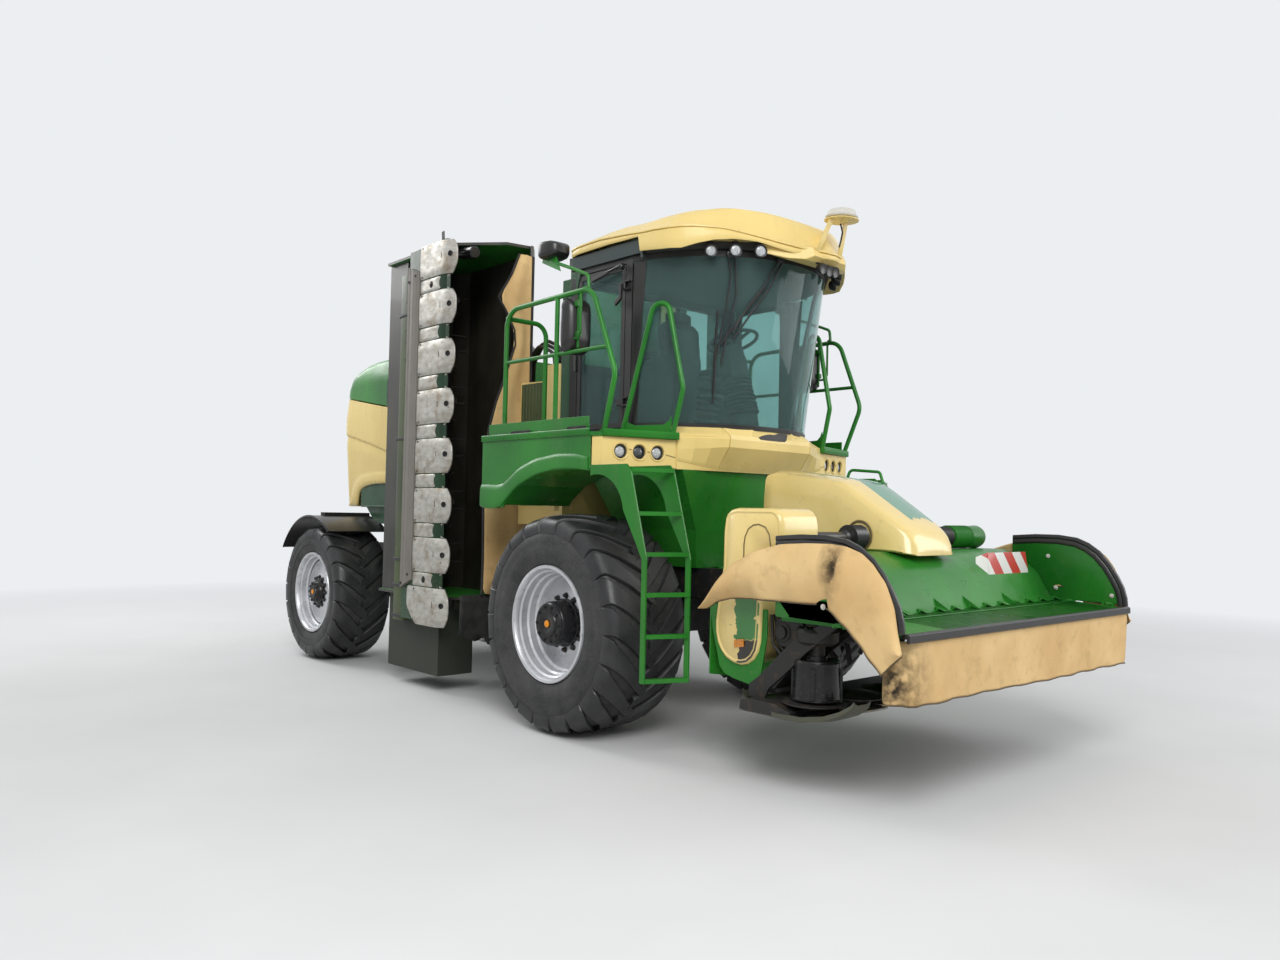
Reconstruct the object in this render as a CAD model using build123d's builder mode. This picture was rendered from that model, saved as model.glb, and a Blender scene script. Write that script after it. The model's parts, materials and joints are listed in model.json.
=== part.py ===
"""Self-propelled mower conditioner, parked in road transport trim.

Millimetres, +X forward, +Y left, +Z up.  The origin is on the ground under the middle of the
machine.  Lengths along the machine are first given as distances ahead of the front axle.
"""
from build123d import *
from math import asin, cos, pi, radians, sin, sqrt
import os

os.makedirs("parts", exist_ok=True)

# Overall reach and running gear
FRONT_REACH = 2940        # front axle to the front edge of the front mower
REAR_REACH = 4985         # front axle to the back of the rear hood
WHEELBASE = 4283
MACHINE_WIDTH = 3000
FRONT_TYRE_RADIUS = 800
FRONT_TYRE_WIDTH = 710
REAR_TYRE_RADIUS = 705
REAR_TYRE_WIDTH = 600
REAR_TRACK = 2200
FRONT_RIM_RADIUS = 405
REAR_RIM_RADIUS = 398
RIM_WALL = 16
DISC_INSET_FRONT = 210    # rim's outer flange to the wheel disc
DISC_INSET_REAR = 90
FRONT_HUB_RADIUS = 165
REAR_HUB_RADIUS = 120
LUG_HEIGHT = 42
LUG_ROOT = 30             # lug buried in the carcass
SEAT_GAP = 0.3            # between two pieces that seat on each other
SWING_GAP = 12            # between two pieces that move past each other

FRONT_AXLE_X = (REAR_REACH - FRONT_REACH) / 2
REAR_AXLE_X = FRONT_AXLE_X - WHEELBASE
FRONT_WHEEL_Y = (MACHINE_WIDTH - FRONT_TYRE_WIDTH) / 2
REAR_WHEEL_Y = REAR_TRACK / 2
KINGPIN_Y = 720
KINGPIN_RADIUS = 42
KINGPIN_HALF_LENGTH = 150
SPINDLE_RADIUS = 60
SPINDLE_SEAT = 40         # depth of the wheel's bore beyond its disc
MUDGUARD_RADIUS = 800
MUDGUARD_WALL = 12

# Main frame
RAIL_Y = 330              # inner face of each long member
RAIL_WIDTH = 100
RAIL_HEIGHT = 230
RAIL_TOP = 1210
RAIL_REAR = -4700
RAIL_FRONT = 640
AXLE_BEAM = 260
JAW_PIN_RADIUS = 20       # bore of the rear tow jaw
JAW_EAR = 30
JAW_OPENING = 90
JAW_REACH = 190

# Rear hood
HOOD_HALF_WIDTH = 830
HOOD_TOP = 3220
HOOD_BOTTOM = 1640
HOOD_FRONT = -2950
HOOD_WALL = 30
HOOD_CORNER = 330
HOOD_EDGE = 60            # rounding of the hood's top edge
HOOD_BEAM = -4250         # cross beam that carries the hood
HOOD_BEAM_LOW = 1900
COLOUR_BREAK_REAR = 2880  # green over cream, at the back
COLOUR_BREAK_FRONT = 2560
ARCH_TOP = 1870
CORE_HALF_WIDTH = 590     # housing between the folded side mowers
CORE_REAR_TOP = 3050
CORE_FRONT_TOP = 2720

# Platforms beside the cab
DECK_TOP = 2180
DECK_THICK = 30
DECK_REAR = -900
DECK_OUTER_Y = 1460
DECK_INNER_Y = 985
FENDER_WALL = 14
ARCH_CREST = 1920
KICK_HEIGHT = 110
DECK_BRACKETS = (-300, 220)
BODY_TOP = 1940           # top of the green body under the cab
TUBE_RADIUS = 19
RAIL_A_Y = 1440
RAIL_A_TOP = 3200
RAIL_MID = 2770
LADDER_FOOT = 520
LADDER_RUNGS = (534, 820, 1090, 1352, 1617, 1905)

# Cab
CAB_HALF_WIDTH = 950
CAB_FLOOR = 2250
CAB_FLOOR_THICK = 60
CAB_REAR = -470
CAB_PILLAR_X = 270
CAB_CEILING = 3500
CAB_WALL = 50
GLASS = 10
WINDSHIELD_FOOT = 900
WINDSHIELD_HEAD = 1080
ROOF_HALF_WIDTH = 1010
ROOF_CROWN = 3930
ROOF_BRIM = 3545          # underside of the roof over the glass
ROOF_ARCH = 3580          # underside of the visor, over its round lamps
ROOF_LAMP_Z = 3515
ROOF_LAMP_RADIUS = 48
DOOR_GAP = 8
HINGE_AT = (196, 964)     # door hinges on the front pillar
HINGE_PIN = 8
HINGE_RING = 14
HINGE_PLAY = 0.8            # bore's radius over the pin's
DOOR_HINGES = (2450, 3330)

# Side mowers, folded upright
SIDE_FOLD_Y = 860
SIDE_FOLD_Z = 730
SIDE_PIN_RADIUS = 30
SIDE_LOW = 560
SIDE_HIGH = 3950
SIDE_HOOD_Y = 640         # outside of the hood plate, next to the machine's middle
SIDE_HOOD_WALL = 25
SIDE_REAR = -2800
SIDE_FRONT = -1270
BAR_FACE_Y = 1440         # underside of the cutter bar, now facing outward
BAR_THICK = 70
BAR_REAR = -2290
BAR_NECK = -1710
DISC_COUNT = 8
DISC_RADIUS = 190
DISC_LINE = -1760
SKID_PITCH = 432          # one skid plate over each disc
SKID_TOP = 3802           # middle of the highest skid
SKID_OUTLINE = ((-2045, -150), (-1640, -150), (-1545, -115), (-1500, -45), (-1500, 45), (-1545, 115),
                (-1640, 150), (-2045, 150))       # ahead, and above the skid's middle
SKID_THICK = 25
# Outer edge of the canvas in front of a folded side mower: distance from the machine's middle, height
CURTAIN_EDGE = ((915, 3850), (990, 3660), (1121, 3439), (1046, 3339), (952, 3179), (938, 3050), (1030, 2778),
                (1185, 2300), (1222, 1700), (1212, 1193), (1215, 900))
CURTAIN_THICK = 12
SKIRT_Y = 1300            # rubber skirt at the mower's lower end
SKIRT_REAR = -2700
SKIRT_FRONT = -1800
SKIRT_LOW = 150
SKIRT_WALL = 12
REEL_TUBE_RADIUS = 90
REEL_TIP_RADIUS = 235
REEL_X = -2370
REEL_Y = 1000
TINE_PITCH = 165
TINE_WIDTH = 34
TINE_THICK = 12

# Front mower, lifted
FRONT_HALF_WIDTH = 1378
FRONT_CREST = 1400
FRONT_BAR_LOW = 450
LIFT_PIVOT = (700, 1095)
LIFT_EYE = (1265, 1180)
LIFT_PIN_RADIUS = 30
LIFT_ARM_Y = 240
LIFT_ARM_WIDTH = 75
GUARD_Y = 1396
GUARD_WALL = 12
GUARD_TOP = 1515
GUARD_REAR = 2080
GUARD_HINGE_Z = 1040
GUARD_HINGE_Y = 1402
GUARD_HINGES = (2520, 2800)
FRONT_REEL = (1640, 830)
FRONT_REEL_RADIUS = 225


def at(x):
    """A distance ahead of the front axle, in the machine's frame."""
    return FRONT_AXLE_X + x


def keep(piece, label):
    """Label a finished piece and write it to its own file."""
    piece.part.label = label
    export_step(piece.part, f"parts/{label}.step")


def side_slab(points, y_from, y_to, mode=Mode.ADD):
    """A side-view outline (ahead, up) made solid between two distances from the middle plane."""
    with BuildSketch(Plane.XZ.offset(-max(y_from, y_to))) as outline:
        with BuildLine():
            Polyline(*[(at(x), z) for x, z in points], close=True)
        make_face()
    extrude(outline.sketch, amount=abs(y_to - y_from), mode=mode)


def plan_slab(points, low, high, mode=Mode.ADD):
    """A plan outline (ahead, left) made solid between two heights."""
    with BuildSketch(Plane.XY.offset(low)) as outline:
        with BuildLine():
            Polyline(*[(at(x), y) for x, y in points], close=True)
        make_face()
    extrude(outline.sketch, amount=high - low, mode=mode)


def front_slab(points, x_from, x_to, mode=Mode.ADD):
    """A front-view outline (left, up) made solid between two distances ahead."""
    with BuildSketch(Plane.YZ.offset(at(min(x_from, x_to)))) as outline:
        with BuildLine():
            Polyline(*points, close=True)
        make_face()
    extrude(outline.sketch, amount=abs(x_to - x_from), mode=mode)


def block(x_from, x_to, y_from, y_to, low, high, mode=Mode.ADD):
    """A rectangular block between two corners."""
    plan_slab([(x_from, y_from), (x_to, y_from), (x_to, y_to), (x_from, y_to)], low, high, mode)


def rod(start, end, radius, mode=Mode.ADD):
    """A round bar from one point to another."""
    direction = Vector(*end) - Vector(*start)
    with BuildSketch(Plane(origin=start, z_dir=direction)) as section:
        Circle(radius)
    extrude(section.sketch, amount=direction.length, mode=mode)


def tube(points, radius, bend):
    """A round tube along straight runs joined by bends."""
    with BuildLine() as path:
        FilletPolyline(*points, radius=bend)
    with BuildSketch(Plane(origin=path.line @ 0, z_dir=path.line % 0)) as section:
        Circle(radius)
    sweep(section.sketch, path=path.line)


def mirrored(piece):
    """The other side's copy of a piece."""
    with BuildPart() as other:
        add(mirror(piece.part, about=Plane.XZ))
    return other


def keep_pair(piece, label):
    """Write a right-hand piece and its left-hand mirror image."""
    keep(piece, f"{label}_right")
    keep(mirrored(piece), f"{label}_left")


# Wheels
# A lug bar's reach, as shares of half the tyre's width from its middle
LUG_INNER = -0.03
LUG_OUTER = 0.972


def wheel_plane(axle_x, y, height):
    """Cross-section of a wheel: local x runs along the axle, local y up the radius."""
    return Plane(origin=(axle_x, y, height), x_dir=(0, 1, 0), z_dir=(1, 0, 0))


def build_tyre(axle_x, y, radius, width, rim_radius, lug_count, lug_width, sweep_ratio):
    """A carcass with open chevron lugs."""
    half = width / 2
    crown = radius - LUG_HEIGHT
    flange = rim_radius + SEAT_GAP
    seat = rim_radius - 18 + SEAT_GAP
    bead_half = half - 22 - 20 - SEAT_GAP
    middle = (rim_radius + crown) / 2
    axle = Axis((axle_x, y, radius), (0, 1, 0))
    with BuildPart() as tyre:
        with BuildSketch(wheel_plane(axle_x, y, radius)):
            with BuildLine():
                Polyline((bead_half, seat), (bead_half + 5, flange), (half - 8, flange + 34),
                         (half, middle), (half - 8, crown - 60), (half * 0.8, crown),
                         (-half * 0.8, crown), (8 - half, crown - 60), (-half, middle),
                         (8 - half, flange + 34), (-bead_half - 5, flange), (-bead_half, seat),
                         close=True)
            make_face()
        revolve(axis=axle)
        start, end = LUG_INNER * half, LUG_OUTER * half
        lean = (end - start) * sweep_ratio / 2
        grip = lug_width / 2
        top = sqrt(radius ** 2 - (lean + grip) ** 2)
        foot = crown - LUG_ROOT - 60
        for side in (1, -1):
            planes = []
            for index in range(lug_count):
                turn = (index + (0.5 if side < 0 else 0)) * 2 * pi / lug_count + asin((lean + grip) / radius)
                out = Vector(sin(turn), 0, cos(turn))
                planes.append(Plane(origin=Vector(axle_x, y, radius) + out * foot, x_dir=(0, side, 0),
                                    z_dir=out))
            slant = -lean * side
            with BuildSketch(*planes):
                with BuildLine():
                    Polyline((start, slant - grip), (start, slant + grip), (end, grip - slant),
                             (end, -grip - slant), close=True)
                make_face()
            extrude(amount=top - foot, clean=False)
    return tyre


def build_wheel(axle_x, y, radius, width, rim_radius, inset, hub_radius, hub_reach):
    """A right-hand rim with its disc set inward, its hub standing out of the disc and a bore for the spindle."""
    half = width / 2 - 22
    seat = rim_radius - 18
    inside = seat - RIM_WALL
    disc = half - inset
    plane = Plane(origin=(axle_x, y, radius), x_dir=(0, -1, 0), z_dir=(-1, 0, 0))
    with BuildPart() as wheel:
        with BuildSketch(plane):
            with BuildLine():
                Polyline((half, rim_radius), (half - 14, rim_radius), (half - 20, seat),
                         (20 - half, seat), (14 - half, rim_radius), (-half, rim_radius),
                         (-half, rim_radius - RIM_WALL), (40 - half, inside), (disc - 20, inside),
                         (disc - 20, SPINDLE_RADIUS + SEAT_GAP),
                         (disc + SPINDLE_SEAT, SPINDLE_RADIUS + SEAT_GAP),
                         (disc + SPINDLE_SEAT, 0), (half - hub_reach, 0),
                         (half - hub_reach, hub_radius - 18),
                         (half - hub_reach - 20, hub_radius), (disc, hub_radius), (disc, inside - 60),
                         (disc + 30, inside - 24), (half - 70, inside - 24), (half - 52, inside),
                         (half, rim_radius - RIM_WALL), close=True)
            make_face()
        revolve(axis=Axis((axle_x, y, radius), (0, 1, 0)))
    return wheel


keep_pair(build_tyre(FRONT_AXLE_X, -FRONT_WHEEL_Y, FRONT_TYRE_RADIUS, FRONT_TYRE_WIDTH,
                     FRONT_RIM_RADIUS, 20, 105, 0.8), "front_tyre")
keep_pair(build_tyre(REAR_AXLE_X, -REAR_WHEEL_Y, REAR_TYRE_RADIUS, REAR_TYRE_WIDTH,
                     REAR_RIM_RADIUS, 18, 80, 0.8), "rear_tyre")
keep_pair(build_wheel(FRONT_AXLE_X, -FRONT_WHEEL_Y, FRONT_TYRE_RADIUS, FRONT_TYRE_WIDTH,
                      FRONT_RIM_RADIUS, DISC_INSET_FRONT, FRONT_HUB_RADIUS, 6), "front_wheel")
keep_pair(build_wheel(REAR_AXLE_X, -REAR_WHEEL_Y, REAR_TYRE_RADIUS, REAR_TYRE_WIDTH,
                      REAR_RIM_RADIUS, DISC_INSET_REAR, REAR_HUB_RADIUS, 30), "rear_wheel")


# Axles and steering knuckles
FRONT_DISC_Y = FRONT_WHEEL_Y + FRONT_TYRE_WIDTH / 2 - 22 - DISC_INSET_FRONT - 20
REAR_DISC_Y = REAR_WHEEL_Y + REAR_TYRE_WIDTH / 2 - 22 - DISC_INSET_REAR - 20

with BuildPart() as front_axle:
    block(-AXLE_BEAM / 2, AXLE_BEAM / 2, -640, 640, FRONT_TYRE_RADIUS - AXLE_BEAM / 2,
          FRONT_TYRE_RADIUS + AXLE_BEAM / 2)
    for side in (1, -1):
        rod((FRONT_AXLE_X, side * 600, FRONT_TYRE_RADIUS),
            (FRONT_AXLE_X, side * 760, FRONT_TYRE_RADIUS), 240)
        rod((FRONT_AXLE_X, side * 760, FRONT_TYRE_RADIUS),
            (FRONT_AXLE_X, side * (FRONT_DISC_Y - SWING_GAP), FRONT_TYRE_RADIUS), 190)
        rod((FRONT_AXLE_X, side * 760, FRONT_TYRE_RADIUS),
            (FRONT_AXLE_X, side * (FRONT_DISC_Y + 20 + SPINDLE_SEAT - SEAT_GAP), FRONT_TYRE_RADIUS),
            SPINDLE_RADIUS)
        block(-AXLE_BEAM / 2, AXLE_BEAM / 2, side * RAIL_Y, side * (RAIL_Y + RAIL_WIDTH),
              FRONT_TYRE_RADIUS, RAIL_TOP - RAIL_HEIGHT)
keep(front_axle, "front_axle")

REAR_X = -WHEELBASE
with BuildPart() as rear_axle:
    block(REAR_X - 90, REAR_X + 90, 60 - KINGPIN_Y, KINGPIN_Y - 60, REAR_TYRE_RADIUS - 80,
          REAR_TYRE_RADIUS + 80)
    for side in (1, -1):
        for low, high in ((-KINGPIN_HALF_LENGTH, -90), (90, KINGPIN_HALF_LENGTH)):
            rod((REAR_AXLE_X, side * KINGPIN_Y, REAR_TYRE_RADIUS + low),
                (REAR_AXLE_X, side * KINGPIN_Y, REAR_TYRE_RADIUS + high), 70)
            block(REAR_X - 60, REAR_X + 60, side * (KINGPIN_Y - 150), side * KINGPIN_Y,
                  REAR_TYRE_RADIUS + low, REAR_TYRE_RADIUS + high)
        block(REAR_X - 90, REAR_X + 90, side * (KINGPIN_Y - 170), side * (KINGPIN_Y - 110),
              REAR_TYRE_RADIUS - KINGPIN_HALF_LENGTH, REAR_TYRE_RADIUS + KINGPIN_HALF_LENGTH)
        block(REAR_X - 90, REAR_X + 90, side * (KINGPIN_Y - 120), side * (KINGPIN_Y + 40),
              REAR_TYRE_RADIUS - 90, REAR_TYRE_RADIUS + 90, mode=Mode.SUBTRACT)
        rod((REAR_AXLE_X, side * KINGPIN_Y, REAR_TYRE_RADIUS - KINGPIN_HALF_LENGTH - 5),
            (REAR_AXLE_X, side * KINGPIN_Y, REAR_TYRE_RADIUS + KINGPIN_HALF_LENGTH + 5),
            KINGPIN_RADIUS + SEAT_GAP, mode=Mode.SUBTRACT)
    block(REAR_X - 120, REAR_X + 120, -200, 200, REAR_TYRE_RADIUS + 80, RAIL_TOP - RAIL_HEIGHT)
    block(REAR_X - 120, REAR_X + 120, -RAIL_Y - RAIL_WIDTH, RAIL_Y + RAIL_WIDTH,
          RAIL_TOP - RAIL_HEIGHT - 60, RAIL_TOP - RAIL_HEIGHT)
keep(rear_axle, "rear_axle")

with BuildPart() as knuckle:
    rod((REAR_AXLE_X, -KINGPIN_Y, REAR_TYRE_RADIUS - KINGPIN_HALF_LENGTH - 20),
        (REAR_AXLE_X, -KINGPIN_Y, REAR_TYRE_RADIUS + KINGPIN_HALF_LENGTH + 30), KINGPIN_RADIUS)
    rod((REAR_AXLE_X, -KINGPIN_Y, REAR_TYRE_RADIUS - 89),
        (REAR_AXLE_X, -KINGPIN_Y, REAR_TYRE_RADIUS + 89), 62)
    rod((REAR_AXLE_X, -KINGPIN_Y, REAR_TYRE_RADIUS),
        (REAR_AXLE_X, -REAR_DISC_Y - 20 - SPINDLE_SEAT + SEAT_GAP, REAR_TYRE_RADIUS), SPINDLE_RADIUS)
    block(REAR_X - 50, REAR_X + 50, -KINGPIN_Y - 46, -KINGPIN_Y - 62, REAR_TYRE_RADIUS + 160,
          REAR_TYRE_RADIUS + MUDGUARD_RADIUS - 2)
    block(REAR_X - 50, REAR_X + 50, -KINGPIN_Y - 62, -KINGPIN_Y + 20, REAR_TYRE_RADIUS + 152,
          REAR_TYRE_RADIUS + 180)
    block(REAR_X - 50, REAR_X + 50, -KINGPIN_Y - 46, -REAR_WHEEL_Y - 180,
          REAR_TYRE_RADIUS + MUDGUARD_RADIUS + MUDGUARD_WALL, REAR_TYRE_RADIUS + MUDGUARD_RADIUS + 45)
    block(REAR_X - 50, REAR_X + 50, -KINGPIN_Y - 46, -KINGPIN_Y - 62,
          REAR_TYRE_RADIUS + MUDGUARD_RADIUS - 4, REAR_TYRE_RADIUS + MUDGUARD_RADIUS + 45)
keep_pair(knuckle, "knuckle")


def arc_point(radius, angle):
    """A point on a circle round the rear wheel's centre, angle in degrees back from straight up."""
    return (REAR_AXLE_X - radius * sin(radians(angle)), REAR_TYRE_RADIUS + radius * cos(radians(angle)))


MUDGUARD_FRONT = -36
MUDGUARD_REAR = 56
with BuildPart() as mudguard:
    inside, outside = MUDGUARD_RADIUS, MUDGUARD_RADIUS + MUDGUARD_WALL
    middle_angle = (MUDGUARD_FRONT + MUDGUARD_REAR) / 2
    with BuildSketch(Plane.XZ.offset(KINGPIN_Y + 64)):
        with BuildLine():
            ThreePointArc(arc_point(inside, MUDGUARD_FRONT), arc_point(inside, middle_angle),
                          arc_point(inside, MUDGUARD_REAR))
            Line(arc_point(inside, MUDGUARD_REAR), arc_point(outside, MUDGUARD_REAR))
            ThreePointArc(arc_point(outside, MUDGUARD_REAR), arc_point(outside, middle_angle),
                          arc_point(outside, MUDGUARD_FRONT))
            Line(arc_point(outside, MUDGUARD_FRONT), arc_point(inside, MUDGUARD_FRONT))
        make_face()
    extrude(amount=REAR_TYRE_WIDTH + 40)
keep_pair(mudguard, "mudguard")


# Main frame with the rear tow jaw
RAIL_LOW = RAIL_TOP - RAIL_HEIGHT
CROSS_MEMBERS = (-4640, -3300, -2540, -1560, -400, 420)
with BuildPart() as chassis_frame:
    for side in (1, -1):
        block(RAIL_REAR, RAIL_FRONT, side * RAIL_Y, side * (RAIL_Y + RAIL_WIDTH), RAIL_LOW, RAIL_TOP)
        block(RAIL_FRONT, LIFT_PIVOT[0] + 70, side * (RAIL_Y + 5), side * (RAIL_Y + 45), RAIL_LOW,
              RAIL_TOP)
    for station in CROSS_MEMBERS:
        block(station - 60, station + 60, -RAIL_Y, RAIL_Y, RAIL_LOW + 20, RAIL_TOP - 20)
    jaw_low = RAIL_LOW - 2 * JAW_EAR - JAW_OPENING
    block(RAIL_REAR, RAIL_REAR + 120, -140, 140, jaw_low, RAIL_TOP - 20)
    for low in (jaw_low, jaw_low + JAW_EAR + JAW_OPENING):
        block(RAIL_REAR - JAW_REACH, RAIL_REAR + 1, -70, 70, low, low + JAW_EAR)
    rod((at(RAIL_REAR - JAW_REACH + 70), 0, jaw_low - 1),
        (at(RAIL_REAR - JAW_REACH + 70), 0, RAIL_LOW + 1),
        JAW_PIN_RADIUS, mode=Mode.SUBTRACT)
    hood_seat = HOOD_HALF_WIDTH - HOOD_WALL - SEAT_GAP
    block(HOOD_BEAM - 60, HOOD_BEAM, -hood_seat, hood_seat, HOOD_BEAM_LOW, HOOD_BEAM_LOW + 60)
    for side in (1, -1):
        block(HOOD_BEAM - 60, HOOD_BEAM, side * RAIL_Y, side * (RAIL_Y + RAIL_WIDTH), RAIL_TOP,
              HOOD_BEAM_LOW)
        rod((at(LIFT_PIVOT[0]), side * (RAIL_Y - 5), LIFT_PIVOT[1]),
            (at(LIFT_PIVOT[0]), side * (RAIL_Y + RAIL_WIDTH), LIFT_PIVOT[1]),
            LIFT_PIN_RADIUS + SEAT_GAP, mode=Mode.SUBTRACT)
keep(chassis_frame, "chassis_frame")

with BuildPart() as engine_block:
    block(-4240, -3080, -400, 400, RAIL_TOP, 2150)
    block(-4100, -3300, -250, 250, 2150, 2350)
keep(engine_block, "engine_block")

# Arms that carry the side mowers on pins along the machine
CARRIER_STATIONS = (-2540, -1560)
with BuildPart() as side_carriers:
    for side in (1, -1):
        for station in CARRIER_STATIONS:
            front_slab([(side * (RAIL_Y + RAIL_WIDTH), RAIL_LOW),
                        (side * (RAIL_Y + RAIL_WIDTH), RAIL_TOP - 30),
                        (side * (RAIL_Y + RAIL_WIDTH + 90), RAIL_TOP - 30),
                        (side * (SIDE_HOOD_Y - 30), SIDE_FOLD_Z + 80),
                        (side * SIDE_FOLD_Y, SIDE_FOLD_Z + 62), (side * SIDE_FOLD_Y, SIDE_FOLD_Z - 62),
                        (side * (SIDE_FOLD_Y - 300), SIDE_FOLD_Z - 62)], station - 60, station + 60)
            rod((at(station - 60), side * SIDE_FOLD_Y, SIDE_FOLD_Z),
                (at(station + 60), side * SIDE_FOLD_Y, SIDE_FOLD_Z), 62)
            rod((at(station - 61), side * SIDE_FOLD_Y, SIDE_FOLD_Z),
                (at(station + 61), side * SIDE_FOLD_Y, SIDE_FOLD_Z), SIDE_PIN_RADIUS + SEAT_GAP,
                mode=Mode.SUBTRACT)
keep(side_carriers, "side_carriers")


# Rear hood: green upper shell over cream side panels
def hood_plan(inset, x_front):
    """Plan outline of the rear hood with round rear corners."""
    half = HOOD_HALF_WIDTH - inset
    back = -REAR_REACH + inset
    corner = HOOD_CORNER - inset
    with BuildLine() as outline:
        Polyline((at(back), half - corner), (at(back), corner - half))
        ThreePointArc((at(back), corner - half),
                      (at(back + corner * (1 - cos(pi / 4))), -half + corner * (1 - sin(pi / 4))),
                      (at(back + corner), -half))
        Polyline((at(back + corner), -half), (at(x_front), -half), (at(x_front), half),
                 (at(back + corner), half))
        ThreePointArc((at(back + corner), half),
                      (at(back + corner * (1 - cos(pi / 4))), half - corner * (1 - sin(pi / 4))),
                      (at(back), half - corner))
    make_face(outline.edges())




def cut_hood_slope(inset):
    """Slope the hood's back down, drawn a wall's depth further in for the hollow."""
    back, top = -REAR_REACH, HOOD_TOP - inset
    side_slab([(back - 5, HOOD_TOP + 5), (back - 5, top - 260 - inset),
               (back + inset, top - 260 - inset),
               (back + 110 + inset, top - 90 - inset / 2), (back + 380, top - 10),
               (back + 700, HOOD_TOP + 5)],
              -HOOD_HALF_WIDTH - 5, HOOD_HALF_WIDTH + 5, mode=Mode.SUBTRACT)


with BuildPart() as hood_hollow:
    with BuildSketch(Plane.XY.offset(COLOUR_BREAK_FRONT - 1)):
        hood_plan(HOOD_WALL, HOOD_FRONT + 1)
    extrude(amount=HOOD_TOP - COLOUR_BREAK_FRONT - HOOD_WALL)
    cut_hood_slope(HOOD_WALL)
with BuildPart() as rear_hood:
    with BuildSketch(Plane.XY.offset(COLOUR_BREAK_FRONT)):
        hood_plan(0, HOOD_FRONT)
    extrude(amount=HOOD_TOP - COLOUR_BREAK_FRONT)
    top_edges = rear_hood.edges().group_by(Axis.Z)[-1]
    fillet(top_edges.filter_by(lambda edge: edge.center().X < at(HOOD_FRONT) - 1), HOOD_EDGE)
    cut_hood_slope(0)
    add(hood_hollow.part, mode=Mode.SUBTRACT)
    side_slab([(-REAR_REACH - 5, COLOUR_BREAK_FRONT - 5), (-REAR_REACH - 5, COLOUR_BREAK_REAR),
               (HOOD_FRONT + 5, COLOUR_BREAK_FRONT), (HOOD_FRONT + 5, COLOUR_BREAK_FRONT - 5)],
              -HOOD_HALF_WIDTH - 5, HOOD_HALF_WIDTH + 5, mode=Mode.SUBTRACT)
keep(rear_hood, "rear_hood")

with BuildPart() as rear_panels:
    with BuildSketch(Plane.XY.offset(HOOD_BOTTOM)):
        hood_plan(0, HOOD_FRONT)
    extrude(amount=COLOUR_BREAK_REAR - HOOD_BOTTOM)
    with BuildSketch(Plane.XY.offset(HOOD_BOTTOM - 1)):
        hood_plan(HOOD_WALL, HOOD_FRONT + 1)
    extrude(amount=COLOUR_BREAK_REAR - HOOD_BOTTOM + 2, mode=Mode.SUBTRACT)
    side_slab([(-REAR_REACH - 5, COLOUR_BREAK_REAR + 5), (-REAR_REACH - 5, COLOUR_BREAK_REAR),
               (HOOD_FRONT + 5, COLOUR_BREAK_FRONT), (HOOD_FRONT + 5, COLOUR_BREAK_REAR + 5)],
              -HOOD_HALF_WIDTH - 5, HOOD_HALF_WIDTH + 5, mode=Mode.SUBTRACT)
    side_slab([(-REAR_REACH + 180, HOOD_BOTTOM - 5), (-REAR_REACH + 330, ARCH_TOP - 60),
               (-REAR_REACH + 520, ARCH_TOP), (HOOD_FRONT + 5, ARCH_TOP),
               (HOOD_FRONT + 5, HOOD_BOTTOM - 5)],
              -HOOD_HALF_WIDTH - 5, HOOD_HALF_WIDTH + 5, mode=Mode.SUBTRACT)
keep(rear_panels, "rear_panels")

# Housing between the side mowers, and the cream covers behind the cab
with BuildPart() as core_housing:
    side_slab([(HOOD_FRONT, RAIL_TOP), (HOOD_FRONT, CORE_REAR_TOP), (-1900, CORE_REAR_TOP),
               (-1750, CORE_FRONT_TOP), (-1240, CORE_FRONT_TOP), (-1240, RAIL_TOP)],
              -CORE_HALF_WIDTH, CORE_HALF_WIDTH)
keep(core_housing, "core_housing")

with BuildPart() as service_panels:
    side_slab([(-1240, 1500), (-1240, CORE_FRONT_TOP), (-620, CORE_FRONT_TOP - 20), (-620, 1500)],
              -880, 880)
keep(service_panels, "service_panels")

# Green body under the cab, between the front wheels
with BuildPart() as front_body:
    sections = ((RAIL_TOP, -250, 520, 470), (1500, -300, 600, 560), (BODY_TOP, -380, 690, 800))
    for height, rear, front, half in sections:
        with BuildSketch(Plane.XY.offset(height)):
            with Locations((at((rear + front) / 2), 0)):
                Rectangle(front - rear, 2 * half)
    loft(ruled=True)
    block(480, 560, -LIFT_ARM_Y + 20, LIFT_ARM_Y - 20, 900, RAIL_TOP)
keep(front_body, "front_body")

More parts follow.
